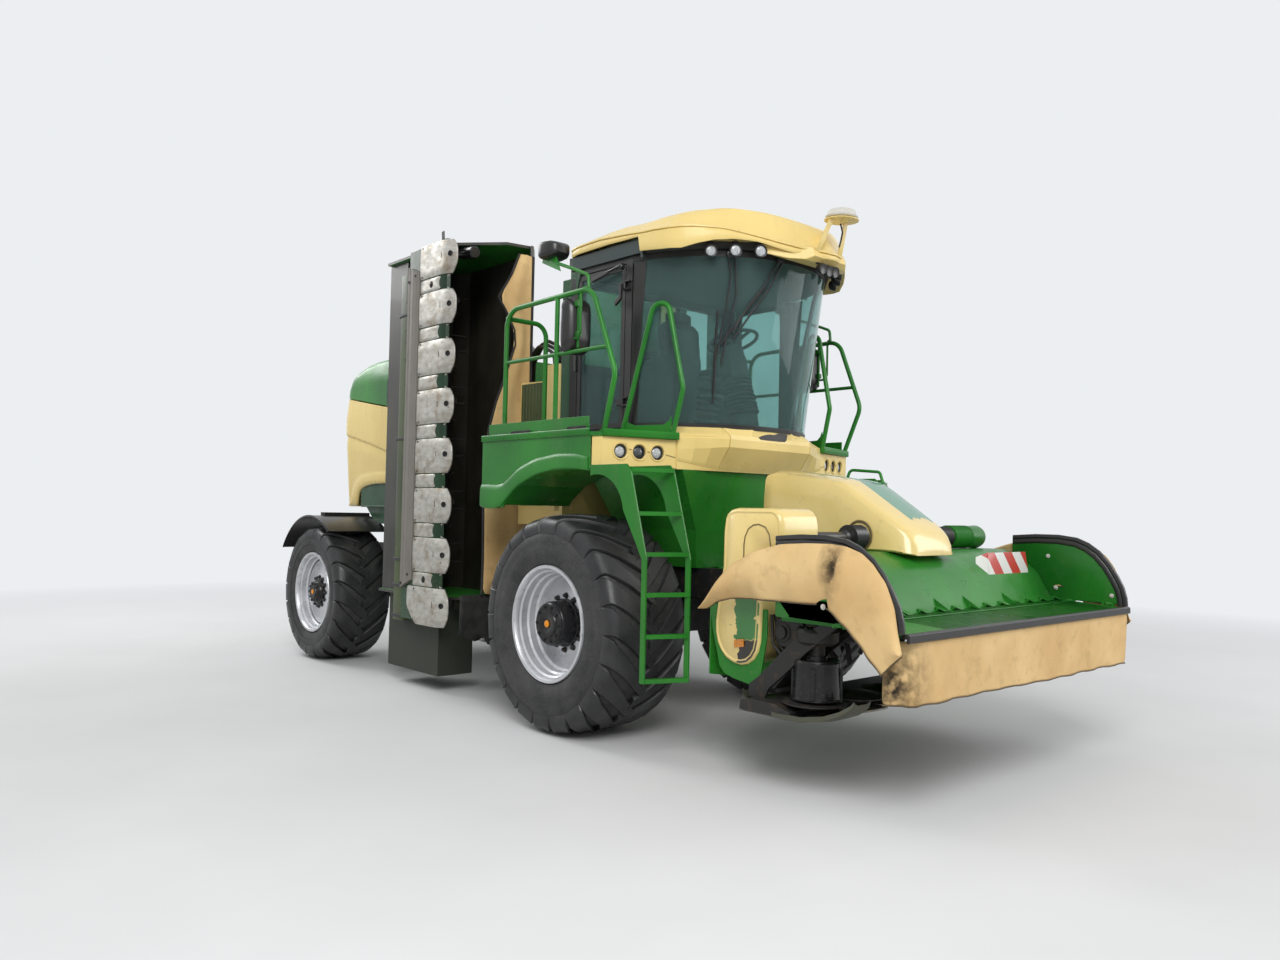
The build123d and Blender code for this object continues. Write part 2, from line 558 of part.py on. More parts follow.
# Platforms with the front wheels' arches
FENDER_ARCH = ((-600, 1660), (-560, 1700), (-400, 1810), (-180, 1890), (80, ARCH_CREST),
               (450, ARCH_CREST))
with BuildPart() as decks:
    for side in (1, -1):
        plan_slab([(DECK_REAR, side * DECK_INNER_Y), (DECK_REAR, side * (DECK_OUTER_Y + FENDER_WALL)),
                   (450, side * (DECK_OUTER_Y + FENDER_WALL)), (524, side * 1416), (690, side * 850),
                   (400, side * DECK_INNER_Y)],
                  DECK_TOP - DECK_THICK, DECK_TOP)
        outer = side * DECK_OUTER_Y
        side_slab([(DECK_REAR, DECK_TOP - DECK_THICK), (DECK_REAR, 1690), (-840, 1640), (-600, 1640),
                   *FENDER_ARCH[1:], (450, DECK_TOP - DECK_THICK)],
                  outer, outer + side * FENDER_WALL)
        arch_top = [(x, z + FENDER_WALL) for x, z in FENDER_ARCH]
        side_slab([*FENDER_ARCH, *reversed(arch_top)], side * 830, outer)
        block(DECK_REAR, DECK_REAR + FENDER_WALL, side * 900, outer, 1900, DECK_TOP - DECK_THICK)
        side_slab([(-820, DECK_TOP), (-820, DECK_TOP + KICK_HEIGHT), (430, DECK_TOP + KICK_HEIGHT),
                   (430, DECK_TOP)], side * (DECK_OUTER_Y + 2), side * (DECK_OUTER_Y + 10))
        for station in DECK_BRACKETS:
            front_slab([(side * 660, BODY_TOP + SEAT_GAP), (side * 780, BODY_TOP + SEAT_GAP),
                        (side * 840, DECK_TOP - DECK_THICK - 70),
                        (side * 1400, DECK_TOP - DECK_THICK - 50),
                        (side * 1400, DECK_TOP - DECK_THICK), (side * 700, DECK_TOP - DECK_THICK)],
                       station - 30, station + 30)
keep(decks, "decks")

# Cream fascia across the front, with a lamp box under each platform
LAMP_BOX_LOW = 1945
FASCIA_TOP = CAB_FLOOR - CAB_FLOOR_THICK
LAMP_BOX_FACE = ((514, 1416), (662, 845))
BOX_LAMP_SHARES = (0.25, 0.5, 0.75)
BOX_LAMP_RADIUS = 46
BOX_LAMP_Z = 2050
LAMP_WELL = 45


def box_lamp_point(share, side, out):
    """A point on a lamp's axis, at a share of the lamp box's face and a distance out of it."""
    (outer_x, outer_y), (inner_x, inner_y) = LAMP_BOX_FACE
    length = sqrt((inner_x - outer_x) ** 2 + (outer_y - inner_y) ** 2)
    ahead, aside = (outer_y - inner_y) / length, (inner_x - outer_x) / length
    x = outer_x + (inner_x - outer_x) * share + ahead * out
    y = outer_y + (inner_y - outer_y) * share + aside * out
    return at(x), side * y, BOX_LAMP_Z


with BuildPart() as front_fascia:
    for height, shift in ((BODY_TOP + SEAT_GAP, 0), (FASCIA_TOP, 130)):
        with BuildSketch(Plane.XY.offset(height)):
            with BuildLine():
                Polyline((at(300), -838), (at(668), -838), (at(722 + shift), -470),
                         (at(735 + shift), 0),
                         (at(722 + shift), 470), (at(668), 838), (at(300), 838), close=True)
            make_face()
    loft(ruled=True)
    for side in (1, -1):
        plan_slab([(452, side * 837), (452, side * 1455), *[(x, side * y) for x, y in LAMP_BOX_FACE],
                   (662, side * 837)],
                  LAMP_BOX_LOW, DECK_TOP - DECK_THICK - SEAT_GAP)
        for share in BOX_LAMP_SHARES:
            rod(box_lamp_point(share, side, 1), box_lamp_point(share, side, -LAMP_WELL),
                BOX_LAMP_RADIUS + 6,
                mode=Mode.SUBTRACT)
keep(front_fascia, "front_fascia")

# Ladders in front of the front wheels, hung from the lamp boxes by a curved bracket
LADDER_OUT = (1046, 1480)
LADDER_IN = (1161, 1194)
LADDER_LEAN = 170         # the rails' lean back at their top
LADDER_BEND = 1320
LADDER_TOP = LAMP_BOX_LOW - SEAT_GAP
with BuildPart() as ladders:
    for side in (1, -1):
        for x, y in (LADDER_OUT, LADDER_IN):
            back = x - LADDER_LEAN
            root = 560 if y == LADDER_IN[1] else 480
            with BuildSketch(Plane.XZ.offset(-(side * y + 6))) as cheek:
                with BuildLine():
                    Polyline((at(back - 46), 1640), (at(x - 22), LADDER_BEND),
                             (at(x - 22), LADDER_FOOT),
                             (at(x + 22), LADDER_FOOT), (at(x + 22), LADDER_BEND),
                             (at(back + 22), LADDER_TOP - 40),
                             (at(back - 20), LADDER_TOP), (at(root), LADDER_TOP),
                             (at(root), LADDER_TOP - 75))
                    ThreePointArc((at(root), LADDER_TOP - 75), (at(back - 120), 1790),
                                  (at(back - 46), 1640))
                make_face()
            extrude(cheek.sketch, amount=12)
        for height in LADDER_RUNGS:
            back = max(0, height - LADDER_BEND) * LADDER_LEAN / (LADDER_TOP - LADDER_BEND)
            plan_slab([(LADDER_OUT[0] - 20 - back, side * (LADDER_OUT[1] - 6)),
                       (LADDER_OUT[0] + 20 - back, side * (LADDER_OUT[1] - 6)),
                       (LADDER_IN[0] + 20 - back, side * (LADDER_IN[1] + 6)),
                       (LADDER_IN[0] - 20 - back, side * (LADDER_IN[1] + 6))],
                      height - 14, height + 14)
keep(ladders, "ladders")

# Handrails of green tube, mirrored to both sides
TOP_RUN = RAIL_A_TOP - TUBE_RADIUS
FOOT_TOP = DECK_TOP + 10
HANDRAIL_RUNS = (
    (((-650, RAIL_A_Y, DECK_TOP), (-650, RAIL_A_Y, TOP_RUN), (400, RAIL_A_Y, TOP_RUN + 20),
      (655, RAIL_A_Y - 15, 2580), (510, RAIL_A_Y - 45, FOOT_TOP)), 150),
    (((-650, RAIL_A_Y, TOP_RUN - 60), (-650, 1060, TOP_RUN - 60), (-650, 1060, DECK_TOP)), 110),
    (((250, 1006, FOOT_TOP), (480, 922, 3155), (600, 884, 3155), (745, 862, 2520),
      (662, 876, FOOT_TOP)), 75),
)
FOOT_PLATES = ((510, RAIL_A_Y - 45), (250, 1006), (662, 876))  # under the slanting legs
with BuildPart() as handrails:
    for side in (1, -1):
        for run, bend in HANDRAIL_RUNS:
            tube([(at(x), side * y, z) for x, y, z in run], TUBE_RADIUS, bend)
        for x, y in FOOT_PLATES:
            rod((at(x), side * y, DECK_TOP), (at(x), side * y, FOOT_TOP + 4), TUBE_RADIUS + 14)
        rod((at(0), side * RAIL_A_Y, DECK_TOP), (at(0), side * RAIL_A_Y, TOP_RUN), TUBE_RADIUS - 1)
        rod((at(-650), side * RAIL_A_Y, RAIL_MID), (at(590), side * (RAIL_A_Y - 10), RAIL_MID),
            TUBE_RADIUS - 4)
keep(handrails, "handrails")

# Cab: floor, rear wall, corner pillars and roof ring, with the windshield wrapped round the front
def cab_plan(front_x, inset=0.0):
    """Plan outline of the cab: straight sides, and a front drawn as one arc."""
    half = CAB_HALF_WIDTH - inset
    with BuildLine() as outline:
        Polyline((at(CAB_PILLAR_X), -half), (at(CAB_REAR + inset), -half), (at(CAB_REAR + inset), half),
                 (at(CAB_PILLAR_X), half))
        ThreePointArc((at(CAB_PILLAR_X), half), (at(front_x - inset), 0), (at(CAB_PILLAR_X), -half))
    make_face(outline.edges())


with BuildPart() as cab_frame:
    with BuildSketch(Plane.XY.offset(CAB_FLOOR - CAB_FLOOR_THICK)):
        cab_plan(WINDSHIELD_FOOT - 30)
    extrude(amount=CAB_FLOOR_THICK)
    with BuildSketch(Plane.XY.offset(CAB_CEILING)):
        cab_plan(WINDSHIELD_HEAD)
    extrude(amount=ROOF_BRIM - SEAT_GAP - CAB_CEILING)
    for side in (1, -1):
        for rear, front in ((CAB_REAR, CAB_REAR + 90), (CAB_PILLAR_X - 70, CAB_PILLAR_X)):
            block(rear, front, side * (CAB_HALF_WIDTH - 60), side * CAB_HALF_WIDTH, CAB_FLOOR,
                  CAB_CEILING)
    front_slab([(-CAB_HALF_WIDTH + 60, CAB_FLOOR), (CAB_HALF_WIDTH - 60, CAB_FLOOR),
                (CAB_HALF_WIDTH - 60, CAB_CEILING), (-CAB_HALF_WIDTH + 60, CAB_CEILING)],
               CAB_REAR, CAB_REAR + CAB_WALL)
    front_slab([(-CAB_HALF_WIDTH + 110, CAB_FLOOR + 560), (CAB_HALF_WIDTH - 110, CAB_FLOOR + 560),
                (CAB_HALF_WIDTH - 110, CAB_CEILING - 60), (-CAB_HALF_WIDTH + 110, CAB_CEILING - 60)],
               CAB_REAR - 1, CAB_REAR + CAB_WALL + 1, mode=Mode.SUBTRACT)
    for side in (1, -1):
        for height in DOOR_HINGES:
            for low in (height - 36, height + 24):
                ear = [(HINGE_AT[0] - 10, HINGE_AT[1] - 4), (HINGE_AT[0] - 5, CAB_HALF_WIDTH + 4),
                       (HINGE_AT[0] + 3, CAB_HALF_WIDTH + 3),
                       (HINGE_AT[0] + 6, CAB_HALF_WIDTH - 2), (CAB_PILLAR_X - 10, CAB_HALF_WIDTH - 2),
                       (CAB_PILLAR_X - 10, HINGE_AT[1] + 10), (HINGE_AT[0] - 10, HINGE_AT[1] + 10)]
                plan_slab([(x, side * y) for x, y in ear], low, low + 12)
            rod((at(HINGE_AT[0]), side * HINGE_AT[1], height - 36),
                (at(HINGE_AT[0]), side * HINGE_AT[1], height + 36), HINGE_PIN)
keep(cab_frame, "cab_frame")

with BuildPart() as cab_glass:
    with BuildSketch(Plane.XY.offset(CAB_FLOOR)):
        cab_plan(WINDSHIELD_FOOT - 30)
    with BuildSketch(Plane.XY.offset(CAB_CEILING)):
        cab_plan(WINDSHIELD_HEAD)
    loft()
    with BuildPart(mode=Mode.PRIVATE) as cab_space:
        with BuildSketch(Plane.XY.offset(CAB_FLOOR)):
            cab_plan(WINDSHIELD_FOOT - 30, GLASS)
        with BuildSketch(Plane.XY.offset(CAB_CEILING)):
            cab_plan(WINDSHIELD_HEAD, GLASS)
        loft()
    add(cab_space.part, mode=Mode.SUBTRACT)
    block(CAB_REAR - 10, CAB_PILLAR_X, -CAB_HALF_WIDTH - 10, CAB_HALF_WIDTH + 10, CAB_FLOOR - 10,
          CAB_CEILING + 10, mode=Mode.SUBTRACT)
    edge, sill, head = CAB_HALF_WIDTH - 110 - SEAT_GAP, CAB_FLOOR + 560 + SEAT_GAP, CAB_CEILING - 60 - SEAT_GAP
    front_slab([(-edge, sill), (edge, sill), (edge, head), (-edge, head)], CAB_REAR + 15,
               CAB_REAR + 15 + GLASS)
keep(cab_glass, "cab_glass")

# Cream roof, overhanging the windshield
ROOF_SIDE = ((-560, 3600), (-560, 3690), (-250, 3800), (100, 3890), (500, ROOF_CROWN), (900, 3880),
             (1250, 3720), (1430, 3530), (1440, 3450), (1400, 3440), (1230, ROOF_BRIM))
# Its domed front view (left, up) and its plan (ahead, left), which narrows to the nose
ROOF_DOME = ((ROOF_HALF_WIDTH, 3700), (930, 3775), (700, 3852), (380, 3912), (0, ROOF_CROWN),
             (-380, 3912), (-700, 3852), (-930, 3775), (-ROOF_HALF_WIDTH, 3700))
ROOF_NOSE = ((620, ROOF_HALF_WIDTH), (870, 870), (1150, 485), (1420, 0), (1150, -485), (870, -870),
             (620, -ROOF_HALF_WIDTH))
ROOF_TAIL = ((620, -ROOF_HALF_WIDTH), (-400, -ROOF_HALF_WIDTH), (-530, -900), (-560, -720),
             (-560, 720), (-530, 900), (-400, ROOF_HALF_WIDTH), (620, ROOF_HALF_WIDTH))
with BuildPart() as cab_roof:
    side_slab(ROOF_SIDE, -ROOF_HALF_WIDTH, ROOF_HALF_WIDTH)
    side_slab([(-560, ROOF_BRIM), (-560, 3620), (1230, 3620), (1230, ROOF_BRIM)], -ROOF_HALF_WIDTH,
              ROOF_HALF_WIDTH)
    with BuildSketch(Plane.YZ.offset(at(-560))) as dome:
        with BuildLine():
            Spline(*ROOF_DOME)
            Polyline(ROOF_DOME[-1], (-ROOF_HALF_WIDTH, 3400), (ROOF_HALF_WIDTH, 3400), ROOF_DOME[0])
        make_face()
    extrude(dome.sketch, amount=2000, mode=Mode.INTERSECT)
    with BuildSketch(Plane.XY.offset(3400)) as plan:
        with BuildLine():
            Spline(*[(at(x), y) for x, y in ROOF_NOSE])
            Polyline(*[(at(x), y) for x, y in ROOF_TAIL])
        make_face()
    extrude(plan.sketch, amount=600, mode=Mode.INTERSECT)
    for side in (1, -1):
        block(790, 1210, side * 400, side * ROOF_HALF_WIDTH, 3400, ROOF_ARCH, Mode.SUBTRACT)
keep(cab_roof, "cab_roof")

# Cab doors: a frame round its glass, hinged on the front pillar
DOOR_REAR = CAB_REAR + 90 + DOOR_GAP
DOOR_FRONT = CAB_PILLAR_X - 70 - DOOR_GAP
DOOR_LOW = CAB_FLOOR + DOOR_GAP
DOOR_HIGH = CAB_CEILING - DOOR_GAP
DOOR_BORDER = 42
with BuildPart() as door:
    side_slab([(DOOR_REAR, DOOR_LOW), (DOOR_FRONT, DOOR_LOW), (DOOR_FRONT, DOOR_HIGH),
               (DOOR_REAR, DOOR_HIGH)],
              -CAB_HALF_WIDTH, -CAB_HALF_WIDTH + 36)
    side_slab([(DOOR_REAR + DOOR_BORDER, DOOR_LOW + DOOR_BORDER),
               (DOOR_FRONT - DOOR_BORDER, DOOR_LOW + DOOR_BORDER),
               (DOOR_FRONT - DOOR_BORDER, DOOR_HIGH - DOOR_BORDER),
               (DOOR_REAR + DOOR_BORDER, DOOR_HIGH - DOOR_BORDER)],
              -CAB_HALF_WIDTH - 1, -CAB_HALF_WIDTH + 37, mode=Mode.SUBTRACT)
    for height in DOOR_HINGES:
        rod((at(HINGE_AT[0]), -HINGE_AT[1], height - 23.7),
            (at(HINGE_AT[0]), -HINGE_AT[1], height + 23.7), HINGE_RING)
        block(DOOR_FRONT - 50, HINGE_AT[0], -CAB_HALF_WIDTH + 1, -HINGE_AT[1] - HINGE_RING,
              height - 23.7, height + 23.7)
        rod((at(HINGE_AT[0]), -HINGE_AT[1], height - 25), (at(HINGE_AT[0]), -HINGE_AT[1], height + 25),
            HINGE_PIN + HINGE_PLAY, mode=Mode.SUBTRACT)
keep_pair(door, "door")
with BuildPart() as door_glass:
    side_slab([(DOOR_REAR + DOOR_BORDER, DOOR_LOW + DOOR_BORDER),
               (DOOR_FRONT - DOOR_BORDER, DOOR_LOW + DOOR_BORDER),
               (DOOR_FRONT - DOOR_BORDER, DOOR_HIGH - DOOR_BORDER),
               (DOOR_REAR + DOOR_BORDER, DOOR_HIGH - DOOR_BORDER)],
              -CAB_HALF_WIDTH + 6, -CAB_HALF_WIDTH + 6 + GLASS)
keep_pair(door_glass, "door_glass")

# Inside the cab
with BuildPart() as operator_seat:
    block(-190, 130, -230, 230, CAB_FLOOR, CAB_FLOOR + 330)
    block(-230, 270, -260, 260, CAB_FLOOR + 330, CAB_FLOOR + 470)
    side_slab([(-250, CAB_FLOOR + 400), (-110, CAB_FLOOR + 440), (-170, CAB_FLOOR + 1080),
               (-270, CAB_FLOOR + 1080)],
              -240, 240)
keep(operator_seat, "operator_seat")

with BuildPart() as cab_console:
    side_slab([(-230, CAB_FLOOR), (330, CAB_FLOOR), (400, CAB_FLOOR + 560), (330, CAB_FLOOR + 640),
               (-230, CAB_FLOOR + 560)], -560, -300)
keep(cab_console, "cab_console")

with BuildPart() as steering_column:
    block(470, 650, -90, 90, CAB_FLOOR, CAB_FLOOR + 30)
    rod((at(556), 0, CAB_FLOOR + 20), (at(470), 0, CAB_FLOOR + 560), 75)
    rod((at(470), 0, CAB_FLOOR + 560), (at(426), 0, CAB_FLOOR + 700), 35)
    with BuildSketch(Plane(origin=(at(425), 0, CAB_FLOOR + 690), z_dir=(-0.35, 0, 1))):
        Circle(210)
        Circle(185, mode=Mode.SUBTRACT)
        Rectangle(40, 380)
        Circle(50)
    extrude(amount=24)
keep(steering_column, "steering_column")

# Receiver on the roof's front edge, and the mirrors on their tube arms
with BuildPart() as roof_receiver:
    side_slab([(1400, 3563), (1500, 3700), (1500, 3740), (1440, 3740), (1330, 3637)], -45, 45)
    rod((at(1470), 0, 3740), (at(1470), 0, 3800), 70)
    rod((at(1470), 0, 3800), (at(1470), 0, 3850), 105)
keep(roof_receiver, "roof_receiver")

with BuildPart() as mirrors:
    for side in (1, -1):
        tube([(at(330), side * RAIL_A_Y, TOP_RUN + 38.1), (at(320), side * RAIL_A_Y, 3310),
              (at(-230), side * RAIL_A_Y, 3500),
              (at(-230), side * RAIL_A_Y, 3620)], 14, 60)
        block(60, 180, side * 1350, side * 1485, 2800, 3150)
        block(-230, 60, side * 1380, side * 1485, 3530, 3600)
        rod((at(120), side * RAIL_A_Y, 3140), (at(120), side * RAIL_A_Y, TOP_RUN - 5), 12)
keep(mirrors, "mirrors")

# Round lamps under the roof and in the lamp boxes
ROOF_LAMPS = ((880, 740), (1010, 620), (1125, 480))
with BuildPart() as work_lamps:
    for side in (1, -1):
        for x, y in ROOF_LAMPS:
            rod((at(x - 50), side * (y - 30), ROOF_LAMP_Z), (at(x), side * y, ROOF_LAMP_Z),
                ROOF_LAMP_RADIUS)
            rod((at(x - 30), side * (y - 18), ROOF_LAMP_Z),
                (at(x - 30), side * (y - 18), ROOF_ARCH - SEAT_GAP), 10)
        for share in BOX_LAMP_SHARES:
            rod(box_lamp_point(share, side, SEAT_GAP - LAMP_WELL), box_lamp_point(share, side, -20),
                BOX_LAMP_RADIUS)
keep(work_lamps, "work_lamps")

# Side mowers, folded upright: hood, cutter bar, conditioner reel and cloth guard
def build_side_hood():
    with BuildPart() as hood:
        wall = SIDE_HOOD_WALL
        with BuildSketch(Plane.XY.offset(SIDE_LOW + 270)):
            with BuildLine():
                Polyline((at(SIDE_FRONT), -SIDE_HOOD_Y - 120), (at(SIDE_FRONT - 150), -SIDE_HOOD_Y),
                         (at(SIDE_REAR + 350), -SIDE_HOOD_Y), (at(SIDE_REAR), -SIDE_HOOD_Y - 180),
                         (at(SIDE_REAR), -1330), (at(SIDE_REAR + wall), -1330),
                         (at(SIDE_REAR + wall), -SIDE_HOOD_Y - 195),
                         (at(SIDE_REAR + 357), -SIDE_HOOD_Y - wall),
                         (at(SIDE_FRONT - 160), -SIDE_HOOD_Y - wall),
                         (at(SIDE_FRONT), -SIDE_HOOD_Y - 152),
                         close=True)
            make_face()
        extrude(amount=SIDE_HIGH - SIDE_LOW - 270)
        for low in (SIDE_LOW + 270, SIDE_HIGH - wall):
            plan_slab([(SIDE_FRONT - 20, -SIDE_HOOD_Y - 130), (SIDE_FRONT - 160, -SIDE_HOOD_Y - 5),
                       (SIDE_REAR + 350, -SIDE_HOOD_Y - 5), (SIDE_REAR + 5, -SIDE_HOOD_Y - 190),
                       (SIDE_REAR + 5, -1370), (DISC_LINE - 230, -1370), (DISC_LINE - 215, -1335),
                       (BAR_NECK, -1335), (SIDE_FRONT - 60, -1000)], low, low + wall)
        for station in CARRIER_STATIONS:
            for offset in (-95, 65):
                front_slab([(-SIDE_FOLD_Y - 45, SIDE_FOLD_Z - 45),
                            (-SIDE_FOLD_Y + 45, SIDE_FOLD_Z - 45),
                            (-SIDE_FOLD_Y + 45, SIDE_LOW + 272), (-1250, SIDE_LOW + 272),
                            (-1250, SIDE_FOLD_Z + 20)], station + offset, station + offset + 30)
            rod((at(station - 100), -SIDE_FOLD_Y, SIDE_FOLD_Z),
                (at(station + 100), -SIDE_FOLD_Y, SIDE_FOLD_Z),
                SIDE_PIN_RADIUS)
        block(SIDE_REAR + wall, SIDE_REAR + 330, -1330, -1260, SIDE_LOW + 270, SIDE_HIGH - wall)
        front_slab([(-1180, SIDE_LOW + 272), (-1180, 640), (-1020, 480), (-700, 400),
                    (-SIDE_HOOD_Y - 60, SIDE_LOW + 272)],
                   SIDE_FRONT - 130, SIDE_FRONT - 118)
    return hood


def build_side_skirt():
    outer = -SKIRT_Y
    rear, front = SKIRT_REAR, SKIRT_FRONT
    with BuildPart() as skirt:
        plan_slab([(rear, -950), (rear, outer), (front, outer), (front, -950),
                   (front - SKIRT_WALL, -950),
                   (front - SKIRT_WALL, outer + SKIRT_WALL), (rear + SKIRT_WALL, outer + SKIRT_WALL),
                   (rear + SKIRT_WALL, -950)], SKIRT_LOW, SIDE_LOW + 270 - SEAT_GAP)
    return skirt


def build_side_bar():
    """Cutter bar standing upright: D-shaped skids outside, discs on short shafts inside."""
    with BuildPart() as cutter_bar:
        block(BAR_REAR, BAR_NECK, -BAR_FACE_Y, -BAR_FACE_Y + BAR_THICK - SEAT_GAP, SIDE_LOW + 30, SIDE_HIGH)
        for index in range(DISC_COUNT):
            middle = SKID_TOP - index * SKID_PITCH
            side_slab([(x, middle + up) for x, up in SKID_OUTLINE], -BAR_FACE_Y, -BAR_FACE_Y + SKID_THICK)
            with BuildSketch(Plane.XZ.offset(BAR_FACE_Y - BAR_THICK - 24)) as disc:
                with Locations((at(DISC_LINE), middle)):
                    Ellipse(DISC_RADIUS, DISC_RADIUS - 50)
            extrude(disc.sketch, amount=20)
            rod((at(DISC_LINE), -BAR_FACE_Y + SKID_THICK, middle),
                (at(DISC_LINE), -BAR_FACE_Y + BAR_THICK + 10, middle), 60)
    return cutter_bar


def build_side_curtain():
    inner = SIDE_HOOD_Y + 130
    with BuildPart() as curtain:
        front_slab([(-inner, 900), (-inner, 3850), *((-y, z) for y, z in CURTAIN_EDGE)],
                   SIDE_FRONT + SEAT_GAP, SIDE_FRONT + CURTAIN_THICK)
    return curtain


def reel_tines(count, point_of):
    """Flat tines standing out of the reel's tube, three to a ring, each ring turned on."""
    for index in range(count):
        for turn in range(3):
            start, end = point_of(index, turn * 2 * pi / 3 + index * 0.7)
            direction = end - start
            with BuildSketch(Plane(origin=start, z_dir=direction)) as section:
                Rectangle(TINE_WIDTH, TINE_THICK)
            extrude(section.sketch, amount=direction.length, clean=False)


def build_side_reel():
    low, high = SIDE_LOW + 340, SIDE_HIGH - 120
    with BuildPart() as reel:
        rod((at(REEL_X), -REEL_Y, low), (at(REEL_X), -REEL_Y, high), REEL_TUBE_RADIUS)
        rod((at(REEL_X), -REEL_Y, SIDE_LOW + 295 + SEAT_GAP),
            (at(REEL_X), -REEL_Y, SIDE_HIGH - SIDE_HOOD_WALL - SEAT_GAP), 30)

        def span(index, angle):
            out = Vector(cos(angle), sin(angle), 0)
            root = Vector(at(REEL_X), -REEL_Y, low + 60 + index * TINE_PITCH)
            return root + out * (REEL_TUBE_RADIUS - 10), root + out * REEL_TIP_RADIUS

        reel_tines(int((high - low - 100) / TINE_PITCH), span)
    return reel


keep_pair(build_side_hood(), "side_hood")
keep_pair(build_side_bar(), "side_cutter_bar")
keep_pair(build_side_curtain(), "side_curtain")
keep_pair(build_side_skirt(), "side_skirt")
keep_pair(build_side_reel(), "side_reel")

# Front mower on its lift arms
with BuildPart() as lift_arms:
    for side in (1, -1):
        for x, z in (LIFT_PIVOT, LIFT_EYE):
            rod((at(x), side * LIFT_ARM_Y, z), (at(x), side * (LIFT_ARM_Y + LIFT_ARM_WIDTH), z), 60)
        side_slab([(LIFT_PIVOT[0], LIFT_PIVOT[1] - 55), (LIFT_EYE[0], LIFT_EYE[1] - 50),
                   (LIFT_EYE[0], LIFT_EYE[1] + 50), (LIFT_PIVOT[0], LIFT_PIVOT[1] + 55)],
                  side * LIFT_ARM_Y, side * (LIFT_ARM_Y + LIFT_ARM_WIDTH))
        rod((at(LIFT_PIVOT[0]), side * (LIFT_ARM_Y + 10), LIFT_PIVOT[1]),
            (at(LIFT_PIVOT[0]), side * (RAIL_Y + 40), LIFT_PIVOT[1]), LIFT_PIN_RADIUS)
    rod((at(980), -LIFT_ARM_Y - 5, 1137), (at(980), LIFT_ARM_Y + 5, 1137), 45)
    for side in (1, -1):
        rod((at(LIFT_EYE[0]), side * (LIFT_ARM_Y - 1), LIFT_EYE[1]),
            (at(LIFT_EYE[0]), side * (LIFT_ARM_Y + LIFT_ARM_WIDTH + 1), LIFT_EYE[1]),
            LIFT_PIN_RADIUS + SEAT_GAP, mode=Mode.SUBTRACT)
keep(lift_arms, "lift_arms")

SHELL = ((2925, 1010), (2925, 1022), (2450, 1050), (2415, 1090), (2330, 1240), (2200, 1350),
         (2060, FRONT_CREST),
         (1600, FRONT_CREST), (1400, 1330), (1340, 1200), (1340, 860))
SHELL_INNER = ((1355, 860), (1355, 1190), (1412, 1316), (1604, 1385), (2055, 1385), (2192, 1336),
               (2318, 1228),
               (2402, 1082), (2442, 1036))
BAR_SEAT = FRONT_BAR_LOW + 90 + SEAT_GAP
with BuildPart() as front_hood:
    side_slab([*SHELL, *SHELL_INNER], -930, 1300)
    for side in (1, -1):
        for station in GUARD_HINGES:
            for rear in (station - 40, station + 26):
                block(rear, rear + 14, side * (FRONT_HALF_WIDTH - 10), side * (GUARD_HINGE_Y + 8), 1026,
                      1050)
            rod((at(station - 40), side * GUARD_HINGE_Y, GUARD_HINGE_Z),
                (at(station + 40), side * GUARD_HINGE_Y, GUARD_HINGE_Z), 7)
    side_slab([(2925, 1010), (2925, 1022), (2450, 1050), (2442, 1036)], -FRONT_HALF_WIDTH,
              FRONT_HALF_WIDTH)
    for y in (-930, 1285):
        side_slab([*SHELL[2:], (1340, 640), (1400, 560), (1780, BAR_SEAT), (2050, BAR_SEAT),
                   (2050, 830), (2430, 1040)],
                  y, y + 15)
    side_slab([(2050, 560), (2050, 830), (2430, 1040), (2060, 1040), (1400, 900), (1400, 560)], -1300,
              -1285)
    block(2040, 2440, -1300, -915, 1030, 1042)
    block(1400, 1440, -1300, -915, 560, 900)
    for side in (1, -1):
        for offset in (-40, LIFT_ARM_WIDTH + 12):
            y = side * (LIFT_ARM_Y + offset)
            side_slab([(LIFT_EYE[0] - 40, LIFT_EYE[1] - 60), (1345, LIFT_EYE[1] - 150),
                       (1345, LIFT_EYE[1] + 150),
                       (LIFT_EYE[0] - 40, LIFT_EYE[1] + 60)], y, y + side * 28)
        rod((at(LIFT_EYE[0]), side * (LIFT_ARM_Y - 40), LIFT_EYE[1]),
            (at(LIFT_EYE[0]), side * (LIFT_ARM_Y + LIFT_ARM_WIDTH + 40), LIFT_EYE[1]), LIFT_PIN_RADIUS)
keep(front_hood, "front_hood")

with BuildPart() as front_cutter_bar:
    low = FRONT_BAR_LOW
    block(1780, 2180, -FRONT_HALF_WIDTH, FRONT_HALF_WIDTH, low + 20, low + 90)
    pitch = 2 * FRONT_HALF_WIDTH / 7
    for index in range(7):
        y = -FRONT_HALF_WIDTH + pitch * (index + 0.5)
        rod((at(2190), y, low), (at(2190), y, low + 25), 190)
        rod((at(2190), y, low + 20), (at(2190), y, low + 92), 55)
        rod((at(2210), y, low + 91), (at(2210), y, low + 108), 185)
    for side in (1, -1):
        rod((at(2210), side * (FRONT_HALF_WIDTH - pitch / 2), low + 100),
            (at(2210), side * (FRONT_HALF_WIDTH - pitch / 2), low + 350), 135)
keep(front_cutter_bar, "front_cutter_bar")

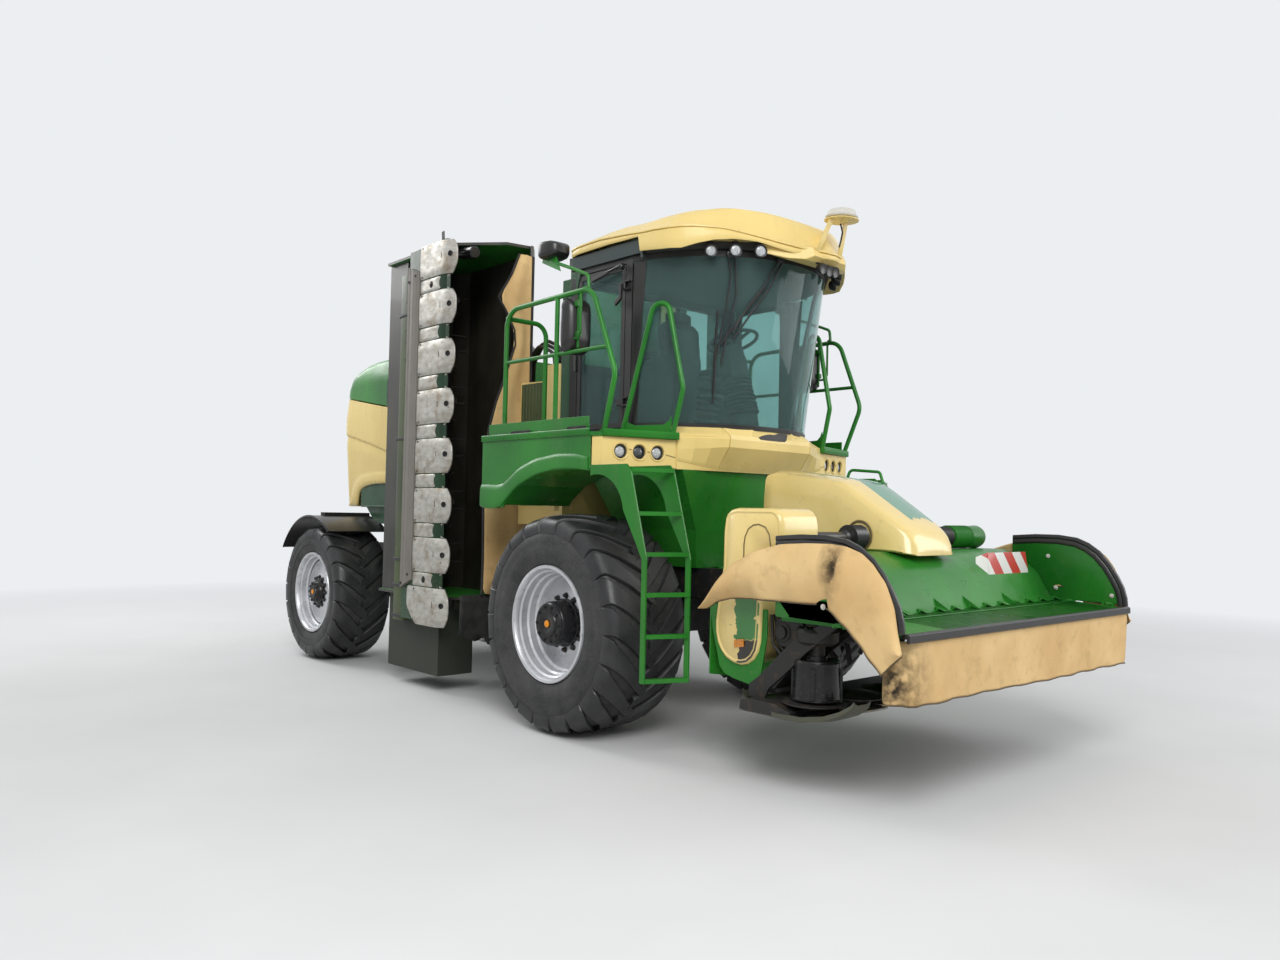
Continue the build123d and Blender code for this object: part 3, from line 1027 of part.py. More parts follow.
with BuildPart() as front_reel:
    rod((at(FRONT_REEL[0]), -850, FRONT_REEL[1]), (at(FRONT_REEL[0]), 1230, FRONT_REEL[1]),
        REEL_TUBE_RADIUS)
    rod((at(FRONT_REEL[0]), -915 + SEAT_GAP, FRONT_REEL[1]),
        (at(FRONT_REEL[0]), 1285 - SEAT_GAP, FRONT_REEL[1]), 30)

    def front_span(index, angle):
        out = Vector(cos(angle), 0, sin(angle))
        root = Vector(at(FRONT_REEL[0]), -780 + index * TINE_PITCH, FRONT_REEL[1])
        return root + out * (REEL_TUBE_RADIUS - 10), root + out * FRONT_REEL_RADIUS

    reel_tines(12, front_span)
keep(front_reel, "front_reel")

with BuildPart() as front_curtain:
    front_slab([(-FRONT_HALF_WIDTH, 655), (FRONT_HALF_WIDTH, 640), (FRONT_HALF_WIDTH, 1018),
                (-FRONT_HALF_WIDTH, 1018)],
               2925, FRONT_REACH)
keep(front_curtain, "front_curtain")

NOSE_HALF = 300
NOSE_EDGE = 45
BELT_COVER_CORNER = 60
with BuildPart() as nose:
    side_slab([(1030, 1925), (1120, 1945), (1690, 1870), (2178, 1560), (2254, 1380), (2100, 1402),
               (1050, 1402)],
              -NOSE_HALF, NOSE_HALF)
    rims = nose.faces().filter_by(Axis.Y).edges()
    fillet(rims.filter_by(lambda edge: edge.center().Z > 1500 and edge.center().X > at(1060)),
           NOSE_EDGE)
    for side in (1, -1):
        rod((at(1870), side * (NOSE_HALF - 80), 1500), (at(1870), side * (NOSE_HALF + 1), 1500), 88,
            mode=Mode.SUBTRACT)
with BuildPart() as belt_cover:
    side_slab([(1560, 720), (1480, 950), (1545, 1300), (1560, 1600), (1640, 1665), (1960, 1665),
               (2020, 1600),
               (2020, 1420), (1880, 1400), (1860, 900), (1700, 700)], -1284, -945)
    fillet(belt_cover.edges().filter_by(Axis.Y), BELT_COVER_CORNER)
with BuildPart() as front_covers:
    add(nose.part)
    add(belt_cover.part)
keep(front_covers, "front_covers")

with BuildPart() as drive_shafts:
    rod((at(1870), NOSE_HALF - 78, 1500), (at(1870), 560, 1495), 70)
    rod((at(1870), 550, 1495), (at(1870), 900, 1490), 32)
    rod((at(1870), 890, 1490), (at(1870), 1240, 1485), 78)
    block(1780, 1960, 1040, 1270, FRONT_CREST, 1440)
    rod((at(1870), -NOSE_HALF + 78, 1500), (at(1870), -560, 1505), 70)
    rod((at(1870), -550, 1505), (at(1870), -944, 1510), 32)
keep(drive_shafts, "drive_shafts")

GUARD_OUTLINE = ((GUARD_REAR, GUARD_TOP), (2540, GUARD_TOP), (2690, 1480), (2830, 1360), (2910, 1200),
                 (2915, 1060),
                 (2860, GUARD_HINGE_Z + 20), (GUARD_REAR + 20, GUARD_HINGE_Z + 20), (GUARD_REAR, 1100))
with BuildPart() as side_guard:
    side_slab(GUARD_OUTLINE, -GUARD_Y, -GUARD_Y - GUARD_WALL)
    for station in GUARD_HINGES:
        rod((at(station - 25.7), -GUARD_HINGE_Y, GUARD_HINGE_Z),
            (at(station + 25.7), -GUARD_HINGE_Y, GUARD_HINGE_Z), 14)
        block(station - 25.7, station + 25.7, -GUARD_Y, -GUARD_Y - GUARD_WALL, GUARD_HINGE_Z + 9,
              GUARD_HINGE_Z + 60)
        rod((at(station - 27), -GUARD_HINGE_Y, GUARD_HINGE_Z),
            (at(station + 27), -GUARD_HINGE_Y, GUARD_HINGE_Z),
            7 + SEAT_GAP, mode=Mode.SUBTRACT)
keep_pair(side_guard, "side_guard")

with BuildPart() as side_canvas:
    side_slab([(1525, 1075), (1640, 1180), (1830, 1390), (2100, 1490), (2530, 1490), (2680, 1455),
               (2800, 1345),
               (2890, 1190), (2900, 1100), (2700, 1080), (2450, 1130), (1700, 1080)],
              -GUARD_Y - GUARD_WALL, -GUARD_Y - GUARD_WALL - 22)
keep_pair(side_canvas, "side_canvas")
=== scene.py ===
"""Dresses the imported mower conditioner: finer forms, materials, studio, camera.

Metres, in the machine's frame: +X forward, +Y left, +Z up.
"""
import json
import math
import random

import bmesh
import bpy
from mathutils import Matrix, Vector


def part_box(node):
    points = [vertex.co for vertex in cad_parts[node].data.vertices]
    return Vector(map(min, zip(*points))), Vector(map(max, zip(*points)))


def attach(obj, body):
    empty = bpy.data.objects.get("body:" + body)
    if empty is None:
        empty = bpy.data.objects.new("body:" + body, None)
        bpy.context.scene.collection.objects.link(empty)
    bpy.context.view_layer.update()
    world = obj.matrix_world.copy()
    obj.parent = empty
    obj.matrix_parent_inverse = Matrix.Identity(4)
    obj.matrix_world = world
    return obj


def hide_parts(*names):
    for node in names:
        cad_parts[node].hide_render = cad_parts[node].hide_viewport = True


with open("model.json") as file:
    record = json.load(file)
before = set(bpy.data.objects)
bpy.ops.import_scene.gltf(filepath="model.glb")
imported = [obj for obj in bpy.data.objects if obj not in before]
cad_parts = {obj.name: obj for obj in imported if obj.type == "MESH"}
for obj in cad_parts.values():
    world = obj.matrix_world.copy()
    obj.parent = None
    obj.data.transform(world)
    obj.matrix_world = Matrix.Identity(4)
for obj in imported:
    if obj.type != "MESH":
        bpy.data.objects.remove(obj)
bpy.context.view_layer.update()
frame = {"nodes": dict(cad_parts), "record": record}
nodes = frame["nodes"]

# Places read from the frame
def middle(node):
    """The centre of a node's box."""
    low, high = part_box(node)
    return (Vector(low) + Vector(high)) / 2


FRONT_AXLE = middle("front_tyre_right")
REAR_AXLE = middle("rear_tyre_right")
FRONT_TYRE_RADIUS = 0.800
FRONT_TYRE_WIDTH = 0.710
FRONT_RIM_RADIUS = 0.405
REAR_TYRE_RADIUS = 0.705
REAR_TYRE_WIDTH = 0.600
REAR_RIM_RADIUS = 0.398
SIDES = (("right", -1), ("left", 1))
CLOTH, PANE = 0.004, 0.006
EDGE_ANGLE, SHARP_ANGLE = math.radians(35), math.radians(38)


def at(x):
    """A distance ahead of the front axle, in the machine's frame."""
    return FRONT_AXLE.x + x


# Shader helpers
class Shader:
    """Builds one procedural material; textures run in object coordinates, so they ride along."""

    def __init__(self, name, roughness=0.5, metallic=0.0, coat=0.0, specular=0.5):
        self.material = bpy.data.materials.new(name)
        self.material.use_nodes = True
        self.tree = self.material.node_tree
        self.surface = self.tree.nodes["Principled BSDF"]
        self.surface.inputs["Roughness"].default_value = roughness
        self.surface.inputs["Metallic"].default_value = metallic
        self.surface.inputs["Coat Weight"].default_value = coat
        self.surface.inputs["Coat Roughness"].default_value = 0.08
        self.surface.inputs["Specular IOR Level"].default_value = specular
        self.coords = self.node("ShaderNodeTexCoord").outputs["Object"]

    def node(self, kind, **settings):
        made = self.tree.nodes.new(kind)
        for key, value in settings.items():
            setattr(made, key, value)
        return made

    def link(self, output, target):
        self.tree.links.new(output, target)

    def stretched(self, scale):
        mapping = self.node("ShaderNodeMapping")
        mapping.inputs["Scale"].default_value = scale
        self.link(self.coords, mapping.inputs["Vector"])
        return mapping.outputs["Vector"]

    def noise(self, scale, detail=4.0, stretch=None, roughness=0.55):
        texture = self.node("ShaderNodeTexNoise")
        texture.inputs["Scale"].default_value = scale
        texture.inputs["Detail"].default_value = detail
        texture.inputs["Roughness"].default_value = roughness
        self.link(self.stretched(stretch) if stretch else self.coords, texture.inputs["Vector"])
        return texture.outputs["Fac"]

    def ramp(self, factor, *stops):
        """Maps a factor through (position, value or colour) stops."""
        ramp = self.node("ShaderNodeValToRGB")
        elements = ramp.color_ramp.elements
        while len(elements) < len(stops):
            elements.new(0.5)
        for element, (position, value) in zip(elements, stops):
            element.position = position
            element.color = (value, value, value, 1) if isinstance(value, (int, float)) else (*value, 1)
        self.link(factor, ramp.inputs["Fac"])
        return ramp.outputs["Color"]

    def mix(self, factor, first, second):
        """A colour between two colours or outputs."""
        mix = self.node("ShaderNodeMix", data_type="RGBA")
        self.feed(mix.inputs[0], factor)
        self.feed(mix.inputs[6], first)
        self.feed(mix.inputs[7], second)
        return mix.outputs[2]

    def feed(self, socket, value):
        if isinstance(value, bpy.types.NodeSocket):
            self.link(value, socket)
        elif isinstance(value, (int, float)):
            socket.default_value = value if socket.type == "VALUE" else (value, value, value, 1)
        else:
            socket.default_value = (*value, 1)

    def math(self, operation, first, second=0.0):
        made = self.node("ShaderNodeMath", operation=operation)
        self.feed(made.inputs[0], first)
        self.feed(made.inputs[1], second)
        made.use_clamp = operation == "MAXIMUM"
        return made.outputs[0]

    def product(self, *factors):
        whole = factors[0]
        for factor in factors[1:]:
            whole = self.math("MULTIPLY", whole, factor)
        return whole

    def axis(self, name):
        split = self.node("ShaderNodeSeparateXYZ")
        self.link(self.coords, split.inputs[0])
        return split.outputs[name]

    def fade(self, output, low, high):
        """0 at low, 1 at high, along an axis output."""
        made = self.node("ShaderNodeMapRange")
        self.link(output, made.inputs["Value"])
        made.inputs["From Min"].default_value = low
        made.inputs["From Max"].default_value = high
        return made.outputs["Result"]

    def bump(self, height, strength, distance=0.01, onto=None):
        bump = self.node("ShaderNodeBump")
        bump.inputs["Strength"].default_value = strength
        bump.inputs["Distance"].default_value = distance
        self.link(height, bump.inputs["Height"])
        if onto is not None:
            self.link(onto, bump.inputs["Normal"])
        self.link(bump.outputs["Normal"], self.surface.inputs["Normal"])
        return bump.outputs["Normal"]

    def rounded(self, radius):
        """Soft highlights along the edges of plain CAD solids."""
        bevel = self.node("ShaderNodeBevel", samples=4)
        bevel.inputs["Radius"].default_value = radius
        self.link(bevel.outputs["Normal"], self.surface.inputs["Normal"])
        return bevel.outputs["Normal"]

    def colour(self, output):
        self.link(output, self.surface.inputs["Base Color"])

    def rough(self, output):
        self.link(output, self.surface.inputs["Roughness"])


DUST = (0.20, 0.17, 0.12)
GREEN = (0.022, 0.205, 0.018)
GREEN_DEEP = (0.012, 0.135, 0.014)
CREAM = (0.82, 0.63, 0.245)
CREAM_DEEP = (0.74, 0.56, 0.205)


def paint(name, colour, deep, mud=0.5, roughness=0.28, edge=0.004):
    """Glossy coach paint with cloudy variation, dust, and mud near the ground."""
    shader = Shader(name, roughness=roughness, coat=0.08, specular=0.28)
    cloud = shader.noise(1.3, 3)
    base = shader.mix(shader.ramp(cloud, (0.35, 0.0), (0.65, 1.0)), deep, colour)
    streaks = shader.ramp(shader.noise(9, 5, (1.0, 1.0, 0.12)), (0.55, 0.0), (0.80, 0.10))
    base = shader.mix(streaks, base, DUST)
    specks = shader.ramp(shader.noise(60, 6), (0.58, 0.0), (0.70, 1.0))
    low = shader.math("MULTIPLY", shader.math("SUBTRACT", 1.0, shader.fade(shader.axis("Z"), 0.2, 1.7)), mud)
    base = shader.mix(shader.math("MULTIPLY", specks, low), base, DUST)
    shader.colour(base)
    shader.rough(shader.ramp(shader.noise(6, 5), (0.3, roughness * 0.8), (0.75, roughness * 1.6)))
    soft = shader.rounded(edge)
    shader.bump(shader.noise(3.0, 2), 0.05, 0.02, soft)
    return shader.material


def hood_paint(name, sign):
    """Green outside; crop dirt and dark sap on the faces that look into the mower."""
    shader = Shader(name, roughness=0.45, coat=0.15)
    split = shader.node("ShaderNodeSeparateXYZ")
    facing = shader.node("ShaderNodeTexCoord").outputs["Normal"]
    shader.link(facing, split.inputs[0])
    outward = shader.fade(shader.math("MULTIPLY", split.outputs["Y"], sign), 0.15, 0.5)
    forward = shader.fade(split.outputs["X"], 0.4, 0.7)
    inside = shader.math("MAXIMUM", outward, forward)
    grime = shader.ramp(shader.noise(5, 7, (1.0, 1.0, 0.4)), (0.3, (0.010, 0.010, 0.007)),
                        (0.75, (0.045, 0.040, 0.028)))
    cloud = shader.ramp(shader.noise(1.5, 4), (0.35, GREEN_DEEP), (0.65, GREEN))
    dust = shader.ramp(shader.noise(20, 5), (0.5, 0.0), (0.8, 0.5))
    outside = shader.mix(dust, cloud, (0.05, 0.07, 0.03))
    shader.colour(shader.mix(inside, outside, grime))
    shader.bump(shader.noise(40, 5), 0.15, 0.003, shader.rounded(0.004))
    return shader.material


def covers_paint(name):
    """Cream nose and belt cover: a grey-green band on the up-facing top of the nose, peeled paint low on the
    belt cover.
    """
    shader = Shader(name, roughness=0.26, coat=0.4)
    cloud = shader.ramp(shader.noise(1.3, 3), (0.35, CREAM_DEEP), (0.65, CREAM))
    dust = shader.ramp(shader.noise(14, 6), (0.58, 0.0), (0.8, 0.30))
    base = shader.mix(dust, cloud, (0.34, 0.27, 0.13))
    ragged = shader.math("SUBTRACT", shader.noise(13, 6), 0.5)
    ragged = shader.math("MULTIPLY", ragged, 0.22)
    x, z = (shader.math("ADD", shader.axis(axis), ragged) for axis in "XZ")
    near = shader.fade(shader.axis("Y"), -1.279, -1.283)
    green = shader.product(near, shader.fade(x, at(1.650), at(1.656)), shader.fade(x, at(1.850), at(1.844)),
                           shader.fade(z, 1.140, 1.134), shader.fade(z, 0.860, 0.866))
    base = shader.mix(green, base, (0.040, 0.180, 0.040))
    black = shader.product(near, shader.fade(z, 0.865, 0.855), shader.fade(x, at(1.675), at(1.682)))
    base = shader.mix(black, base, (0.020, 0.018, 0.014))
    split = shader.node("ShaderNodeSeparateXYZ")
    shader.link(shader.node("ShaderNodeTexCoord").outputs["Normal"], split.inputs[0])
    up = shader.fade(split.outputs["Z"], 0.25, 0.40)
    y = shader.axis("Y")
    top_band = shader.product(up, shader.fade(y, -0.06, -0.055), shader.fade(y, 0.275, 0.270),
                          shader.fade(shader.axis("X"), at(1.16), at(1.17)),
                          shader.fade(x, at(2.10), at(2.09)))
    base = shader.mix(top_band, base, (0.10, 0.27, 0.18))
    shader.colour(base)
    shader.bump(shader.noise(3.0, 2), 0.05, 0.02, shader.rounded(0.006))
    return shader.material


def plastic(name, colour, roughness=0.5, grain=220.0, edge=0.003):
    shader = Shader(name, roughness=roughness)
    cloud = shader.ramp(shader.noise(4, 4), (0.3, 0.0), (0.7, 0.5))
    shader.colour(shader.mix(cloud, colour, tuple(0.6 * c + 0.4 * d * 0.25 for c, d in zip(colour, DUST))))
    shader.bump(shader.noise(grain, 2), 0.08, 0.001, shader.rounded(edge))
    return shader.material


def tyre_rubber(name):
    """Dark rubber, dusted grey on the side walls and damp along the tread."""
    shader = Shader(name, roughness=0.62, specular=0.35)
    dust = shader.ramp(shader.noise(5, 6), (0.30, (0.016, 0.017, 0.018)), (0.72, (0.052, 0.052, 0.050)))
    fine = shader.ramp(shader.noise(48, 5), (0.42, 0.0), (0.78, 0.55))
    shader.colour(shader.mix(fine, dust, (0.075, 0.072, 0.066)))
    shader.rough(shader.ramp(shader.noise(3, 4), (0.3, 0.42), (0.7, 0.78)))
    shader.bump(shader.noise(130, 4), 0.25, 0.002)
    return shader.material


def damp_rubber(name):
    """Tread blocks worn smooth, with damp and dusty patches."""
    shader = Shader(name, roughness=0.4, specular=0.45)
    shader.colour(shader.ramp(shader.noise(4, 6), (0.32, (0.010, 0.010, 0.011)),
                              (0.75, (0.040, 0.040, 0.041))))
    shader.rough(shader.ramp(shader.noise(3.5, 5), (0.35, 0.30), (0.7, 0.62)))
    shader.bump(shader.noise(60, 5), 0.3, 0.003, shader.rounded(0.004))
    return shader.material


def flat_rubber(name):
    shader = Shader(name, roughness=0.7, specular=0.3)
    shader.colour(shader.ramp(shader.noise(7, 6), (0.3, (0.008, 0.009, 0.010)),
                              (0.75, (0.040, 0.038, 0.034))))
    shader.bump(shader.noise(90, 4), 0.2, 0.002)
    return shader.material


def rim_paint(name):
    shader = Shader(name, roughness=0.3, metallic=0.55, coat=0.25)
    cloud = shader.ramp(shader.noise(3, 4), (0.3, (0.50, 0.51, 0.53)), (0.7, (0.66, 0.67, 0.69)))
    dirt = shader.ramp(shader.noise(18, 6), (0.56, 0.0), (0.8, 0.55))
    shader.colour(shader.mix(dirt, cloud, (0.18, 0.165, 0.14)))
    shader.rough(shader.ramp(shader.noise(10, 4), (0.3, 0.24), (0.7, 0.5)))
    return shader.material


def iron(name, colour=(0.035, 0.035, 0.037)):
    shader = Shader(name, roughness=0.55, metallic=0.3)
    rust = shader.ramp(shader.noise(14, 6), (0.55, 0.0), (0.8, 0.8))
    shader.colour(shader.mix(rust, colour, (0.09, 0.055, 0.03)))
    shader.bump(shader.noise(70, 5), 0.2, 0.003, shader.rounded(0.004))
    return shader.material


def worn_steel(name, level=1.0):
    """Steel polished by the soil, with scratches, rust film and dried dirt."""
    shader = Shader(name, roughness=0.42, metallic=0.55)
    scratches = shader.noise(18, 8, (0.6, 1.0, 1.2))
    bare = [tuple(level * c for c in tone)
            for tone in ((0.34, 0.325, 0.285), (0.48, 0.465, 0.42), (0.60, 0.59, 0.55))]
    base = shader.ramp(scratches, (0.30, bare[0]), (0.55, bare[1]), (0.8, bare[2]))
    rust = shader.ramp(shader.noise(5.5, 8, None, 0.7), (0.50, 0.0), (0.68, 0.85))
    base = shader.mix(rust, base, (0.24, 0.17, 0.10))
    spots = shader.ramp(shader.noise(34, 5), (0.66, 0.0), (0.74, 0.9))
    base = shader.mix(spots, base, (0.09, 0.065, 0.04))
    shader.colour(base)
    shader.rough(shader.ramp(scratches, (0.3, 0.55), (0.7, 0.33)))
    shader.bump(scratches, 0.12, 0.002)
    return shader.material


def canvas(name, scorch_and_shade=None):
    """Tan coated cloth with a fine weave, dust and darker patches at random; an optional dark patch is a
    scorch mark, on the front canvas also painted shade.
    """
    shader = Shader(name, roughness=0.72, specular=0.25)
    cloud = shader.ramp(shader.noise(2.4, 5), (0.3, (0.60, 0.385, 0.165)), (0.72, (0.78, 0.56, 0.27)))
    darker_patches = shader.ramp(shader.noise(11, 7), (0.56, 0.0), (0.78, 0.38))
    base = shader.mix(darker_patches, cloud, (0.30, 0.19, 0.08))
    spatter = shader.ramp(shader.noise(75, 5), (0.66, 0.0), (0.72, 0.8))
    low = shader.math("SUBTRACT", 1.0, shader.fade(shader.axis("Z"), 0.55, 1.1))
    base = shader.mix(shader.math("MULTIPLY", spatter, low), base, (0.05, 0.035, 0.02))
    # A ragged dark patch round a centre: a scorch mark, on the front canvas also painted shade under the fold
    if scorch_and_shade:
        centre, radius = scorch_and_shade
        stretch = (1.7, 1.0, 0.8)
        distance = shader.node("ShaderNodeVectorMath", operation="DISTANCE")
        shader.link(shader.stretched(stretch), distance.inputs[0])
        distance.inputs[1].default_value = tuple(c * s for c, s in zip(centre, stretch))
        near = shader.math("SUBTRACT", 1.0, shader.fade(distance.outputs["Value"], radius * 0.1, radius))
        ragged = shader.math("MULTIPLY", near, shader.ramp(shader.noise(16, 7), (0.32, 0.1), (0.58, 1.0)))
        base = shader.mix(ragged, base, (0.018, 0.012, 0.008))
    shader.colour(base)
    weave = shader.noise(420, 2)
    shader.bump(weave, 0.15, 0.001)
    return shader.material


def glass(name, colour=(0.40, 0.60, 0.58)):
    """Tinted cab glass: dark teal to look through, with a clear gloss."""
    shader = Shader(name, roughness=0.02)
    shader.surface.inputs["Transmission Weight"].default_value = 0.92
    shader.surface.inputs["IOR"].default_value = 1.18
    shader.colour(shader.ramp(shader.noise(2, 2), (0.3, colour), (0.7, tuple(c * 1.12 for c in colour))))
    return shader.material


def lens(name, colour=(0.75, 0.78, 0.80)):
    shader = Shader(name, roughness=0.08, coat=0.6)
    shader.surface.inputs["Transmission Weight"].default_value = 0.35
    facets = shader.node("ShaderNodeTexVoronoi")
    facets.inputs["Scale"].default_value = 90
    shader.link(shader.coords, facets.inputs["Vector"])
    shader.colour(shader.ramp(facets.outputs["Distance"], (0.0, tuple(0.4 * c for c in colour)),
                              (0.6, colour)))
    shader.bump(facets.outputs["Distance"], 0.4, 0.002)
    return shader.material


def mirror_glass(name):
    shader = Shader(name, roughness=0.03, metallic=1.0)
    shader.colour(shader.ramp(shader.noise(3, 3), (0.3, 0.62), (0.7, 0.74)))
    return shader.material


def cloth(name, colour):
    shader = Shader(name, roughness=0.9, specular=0.2)
    shader.colour(shader.mix(shader.ramp(shader.noise(14, 5), (0.3, 0.0), (0.7, 0.6)),
                             colour, tuple(c * 0.45 for c in colour)))
    shader.bump(shader.noise(600, 2), 0.3, 0.001)
    return shader.material


def stripes(name, red=(0.50, 0.03, 0.02), white=(0.72, 0.71, 0.68), pitch=0.25):
    """Slanting red and white bands across a warning plate."""
    shader = Shader(name, roughness=0.35, coat=0.3)
    sloped = shader.node("ShaderNodeVectorMath", operation="DOT_PRODUCT")
    shader.link(shader.coords, sloped.inputs[0])
    sloped.inputs[1].default_value = (0.0, 1.0 / pitch, 0.67 / pitch)
    band = shader.node("ShaderNodeMath", operation="FRACT")
    shader.link(sloped.outputs["Value"], band.inputs[0])
    edge = shader.node("ShaderNodeMath", operation="GREATER_THAN")
    edge.inputs[1].default_value = 0.5
    shader.link(band.outputs[0], edge.inputs[0])
    worn = shader.ramp(shader.noise(12, 6), (0.6, 0.0), (0.8, 0.4))
    shader.colour(shader.mix(worn, shader.mix(edge.outputs[0], red, white), (0.2, 0.17, 0.14)))
    return shader.material


SHADES = {
    "tyre_rubber": tyre_rubber("tyre_rubber"),
    "rim_silver": rim_paint("rim_silver"),
    "green_paint": paint("green_paint", GREEN, GREEN_DEEP),
    "cream_paint": paint("cream_paint", CREAM, CREAM_DEEP, mud=0.35),
    "black_paint": iron("black_paint", (0.014, 0.014, 0.015)),
    "grey_iron": iron("grey_iron"),
    "worn_steel": worn_steel("worn_steel"),
    "tan_canvas": canvas("tan_canvas"),
    "cab_black": plastic("cab_black", (0.012, 0.012, 0.013)),
    "cab_glazing": glass("cab_glazing"),
    "seat_cloth": cloth("seat_cloth", (0.030, 0.034, 0.042)),
    "lamp_glass": lens("lamp_glass"),
    "mirror_black": plastic("mirror_black", (0.012, 0.012, 0.013), 0.3),
    "white_plastic": plastic("white_plastic", (0.62, 0.60, 0.54), 0.4),
    "flap_rubber": flat_rubber("flap_rubber"),
}
EXTRA = {
    "mirror_face": mirror_glass("mirror_face"),
    "amber": lens("amber", (0.85, 0.32, 0.02)),
    "dark_lens": lens("dark_lens", (0.10, 0.11, 0.12)),
    "warning_stripes": stripes("warning_stripes"),
    # Its dark patch sits on the fold: a scorch mark, and painted shade where the rear part runs beneath the
    # flap
    "front_canvas": canvas("front_canvas", scorch_and_shade=((at(2.505), -1.43, 1.345), 0.18)),
    "front_curtain_canvas": canvas("front_curtain_canvas", scorch_and_shade=((at(2.84), -1.36, 0.76), 0.30)),
    "scorched_hem": plastic("scorched_hem", (0.10, 0.07, 0.035), 0.7),
    "gloss_rubber": plastic("gloss_rubber", (0.014, 0.014, 0.015), 0.32, 90.0),
    # A darker copy of worn steel: the exhaust pipe's own dark steel, and painted shade on the front skids
    # under the mower
    "worn_steel_dark_and_shade": worn_steel("worn_steel_dark_and_shade", 0.45),
    "olive_steel": iron("olive_steel", (0.075, 0.078, 0.055)),
    # Darker cream for dark joint lines and opening rims, and for the painted shade along the belt cover's
    # groove
    "dark_cream": plastic("dark_cream", (0.16, 0.12, 0.045), 0.5),
    "covers_paint": covers_paint("covers_paint"),
    # Near-black painted shade, laid as discs and bars where holes and slots are
    "painted_hole_shade": iron("painted_hole_shade", (0.008, 0.008, 0.008)),
    "dark_steel": iron("dark_steel", (0.022, 0.021, 0.020)),
    "olive_rubber": plastic("olive_rubber", (0.022, 0.028, 0.018), 0.7, 60.0),
    "hood_paint_right": hood_paint("hood_paint_right", -1),
    "hood_paint_left": hood_paint("hood_paint_left", 1),
    "tread_rubber": damp_rubber("tread_rubber"),
    "gloss_black": paint("gloss_black", (0.012, 0.012, 0.013), (0.007, 0.007, 0.008), mud=0.25,
                         roughness=0.22),
    "amber_cap": paint("amber_cap", (0.85, 0.33, 0.02), (0.70, 0.24, 0.01), mud=0.1),
    "olive_paint": paint("olive_paint", (0.062, 0.085, 0.030), (0.035, 0.050, 0.020), mud=0.8),
    "grey_strip": plastic("grey_strip", (0.19, 0.175, 0.155), 0.6, 60.0),
    "light_green": paint("light_green", (0.13, 0.36, 0.12), (0.09, 0.28, 0.08), mud=0.4),
    "roof_paint": paint("roof_paint", CREAM, CREAM_DEEP, mud=0.12),
    "cab_lining": plastic("cab_lining", (0.045, 0.048, 0.050), 0.8),
    "cab_glazing_dark": plastic("cab_glazing_dark", (0.030, 0.048, 0.048), 0.10, 40.0),
    "cab_plastic": plastic("cab_plastic", (0.020, 0.022, 0.024), 0.55),
    "red_lens": lens("red_lens", (0.45, 0.010, 0.008)),
    "dark_green_paint": paint("dark_green_paint", (0.022, 0.085, 0.035), (0.012, 0.050, 0.020), mud=0.4),
    # Darkest green with mud specks: painted shade behind the side bar's skids and in the hood vents
    "painted_shade_green": paint("painted_shade_green", (0.012, 0.050, 0.018), (0.006, 0.024, 0.010), mud=0.9),
}


def shade(name):
    return SHADES.get(name) or EXTRA[name]


def repaint(node, name):
    """Gives a CAD node one of the materials."""
    mesh = nodes[node].data
    mesh.materials.clear()
    mesh.materials.append(shade(name))


def paint_cad_nodes():
    for row in frame["record"]["subparts"]:
        if row["node"] in nodes:
            repaint(row["node"], row["material_slot"])


# Mesh helpers
def make_piece(name, verts, faces, material, body="chassis", smooth=True, bevel=0.0, subdivide=0):
    """A mesh in the machine's frame that rides on a body."""
    mesh = bpy.data.meshes.new(name)
    mesh.from_pydata([tuple(v) for v in verts], [], faces)
    tidy = bmesh.new()
    tidy.from_mesh(mesh)
    bmesh.ops.recalc_face_normals(tidy, faces=tidy.faces)
    tidy.to_mesh(mesh)
    tidy.free()
    piece = bpy.data.objects.new(name, mesh)
    bpy.context.collection.objects.link(piece)
    mesh.materials.append(shade(material))
    if bevel:
        modifier = piece.modifiers.new("edge", "BEVEL")
        modifier.width = bevel
        modifier.segments = 2
        modifier.limit_method = "ANGLE"
        modifier.angle_limit = EDGE_ANGLE
        modifier.harden_normals = True
    if subdivide:
        modifier = piece.modifiers.new("smooth", "SUBSURF")
        modifier.levels = modifier.render_levels = subdivide
    if smooth:
        mesh.shade_smooth()
    if smooth and not subdivide:
        mesh.set_sharp_from_angle(angle=SHARP_ANGLE)
    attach(piece, body)
    return piece


def thicken(piece, thickness):
    """Gives a single layer its wall, on the inner side."""
    wall = piece.modifiers.new("wall", "SOLIDIFY")
    wall.thickness = thickness


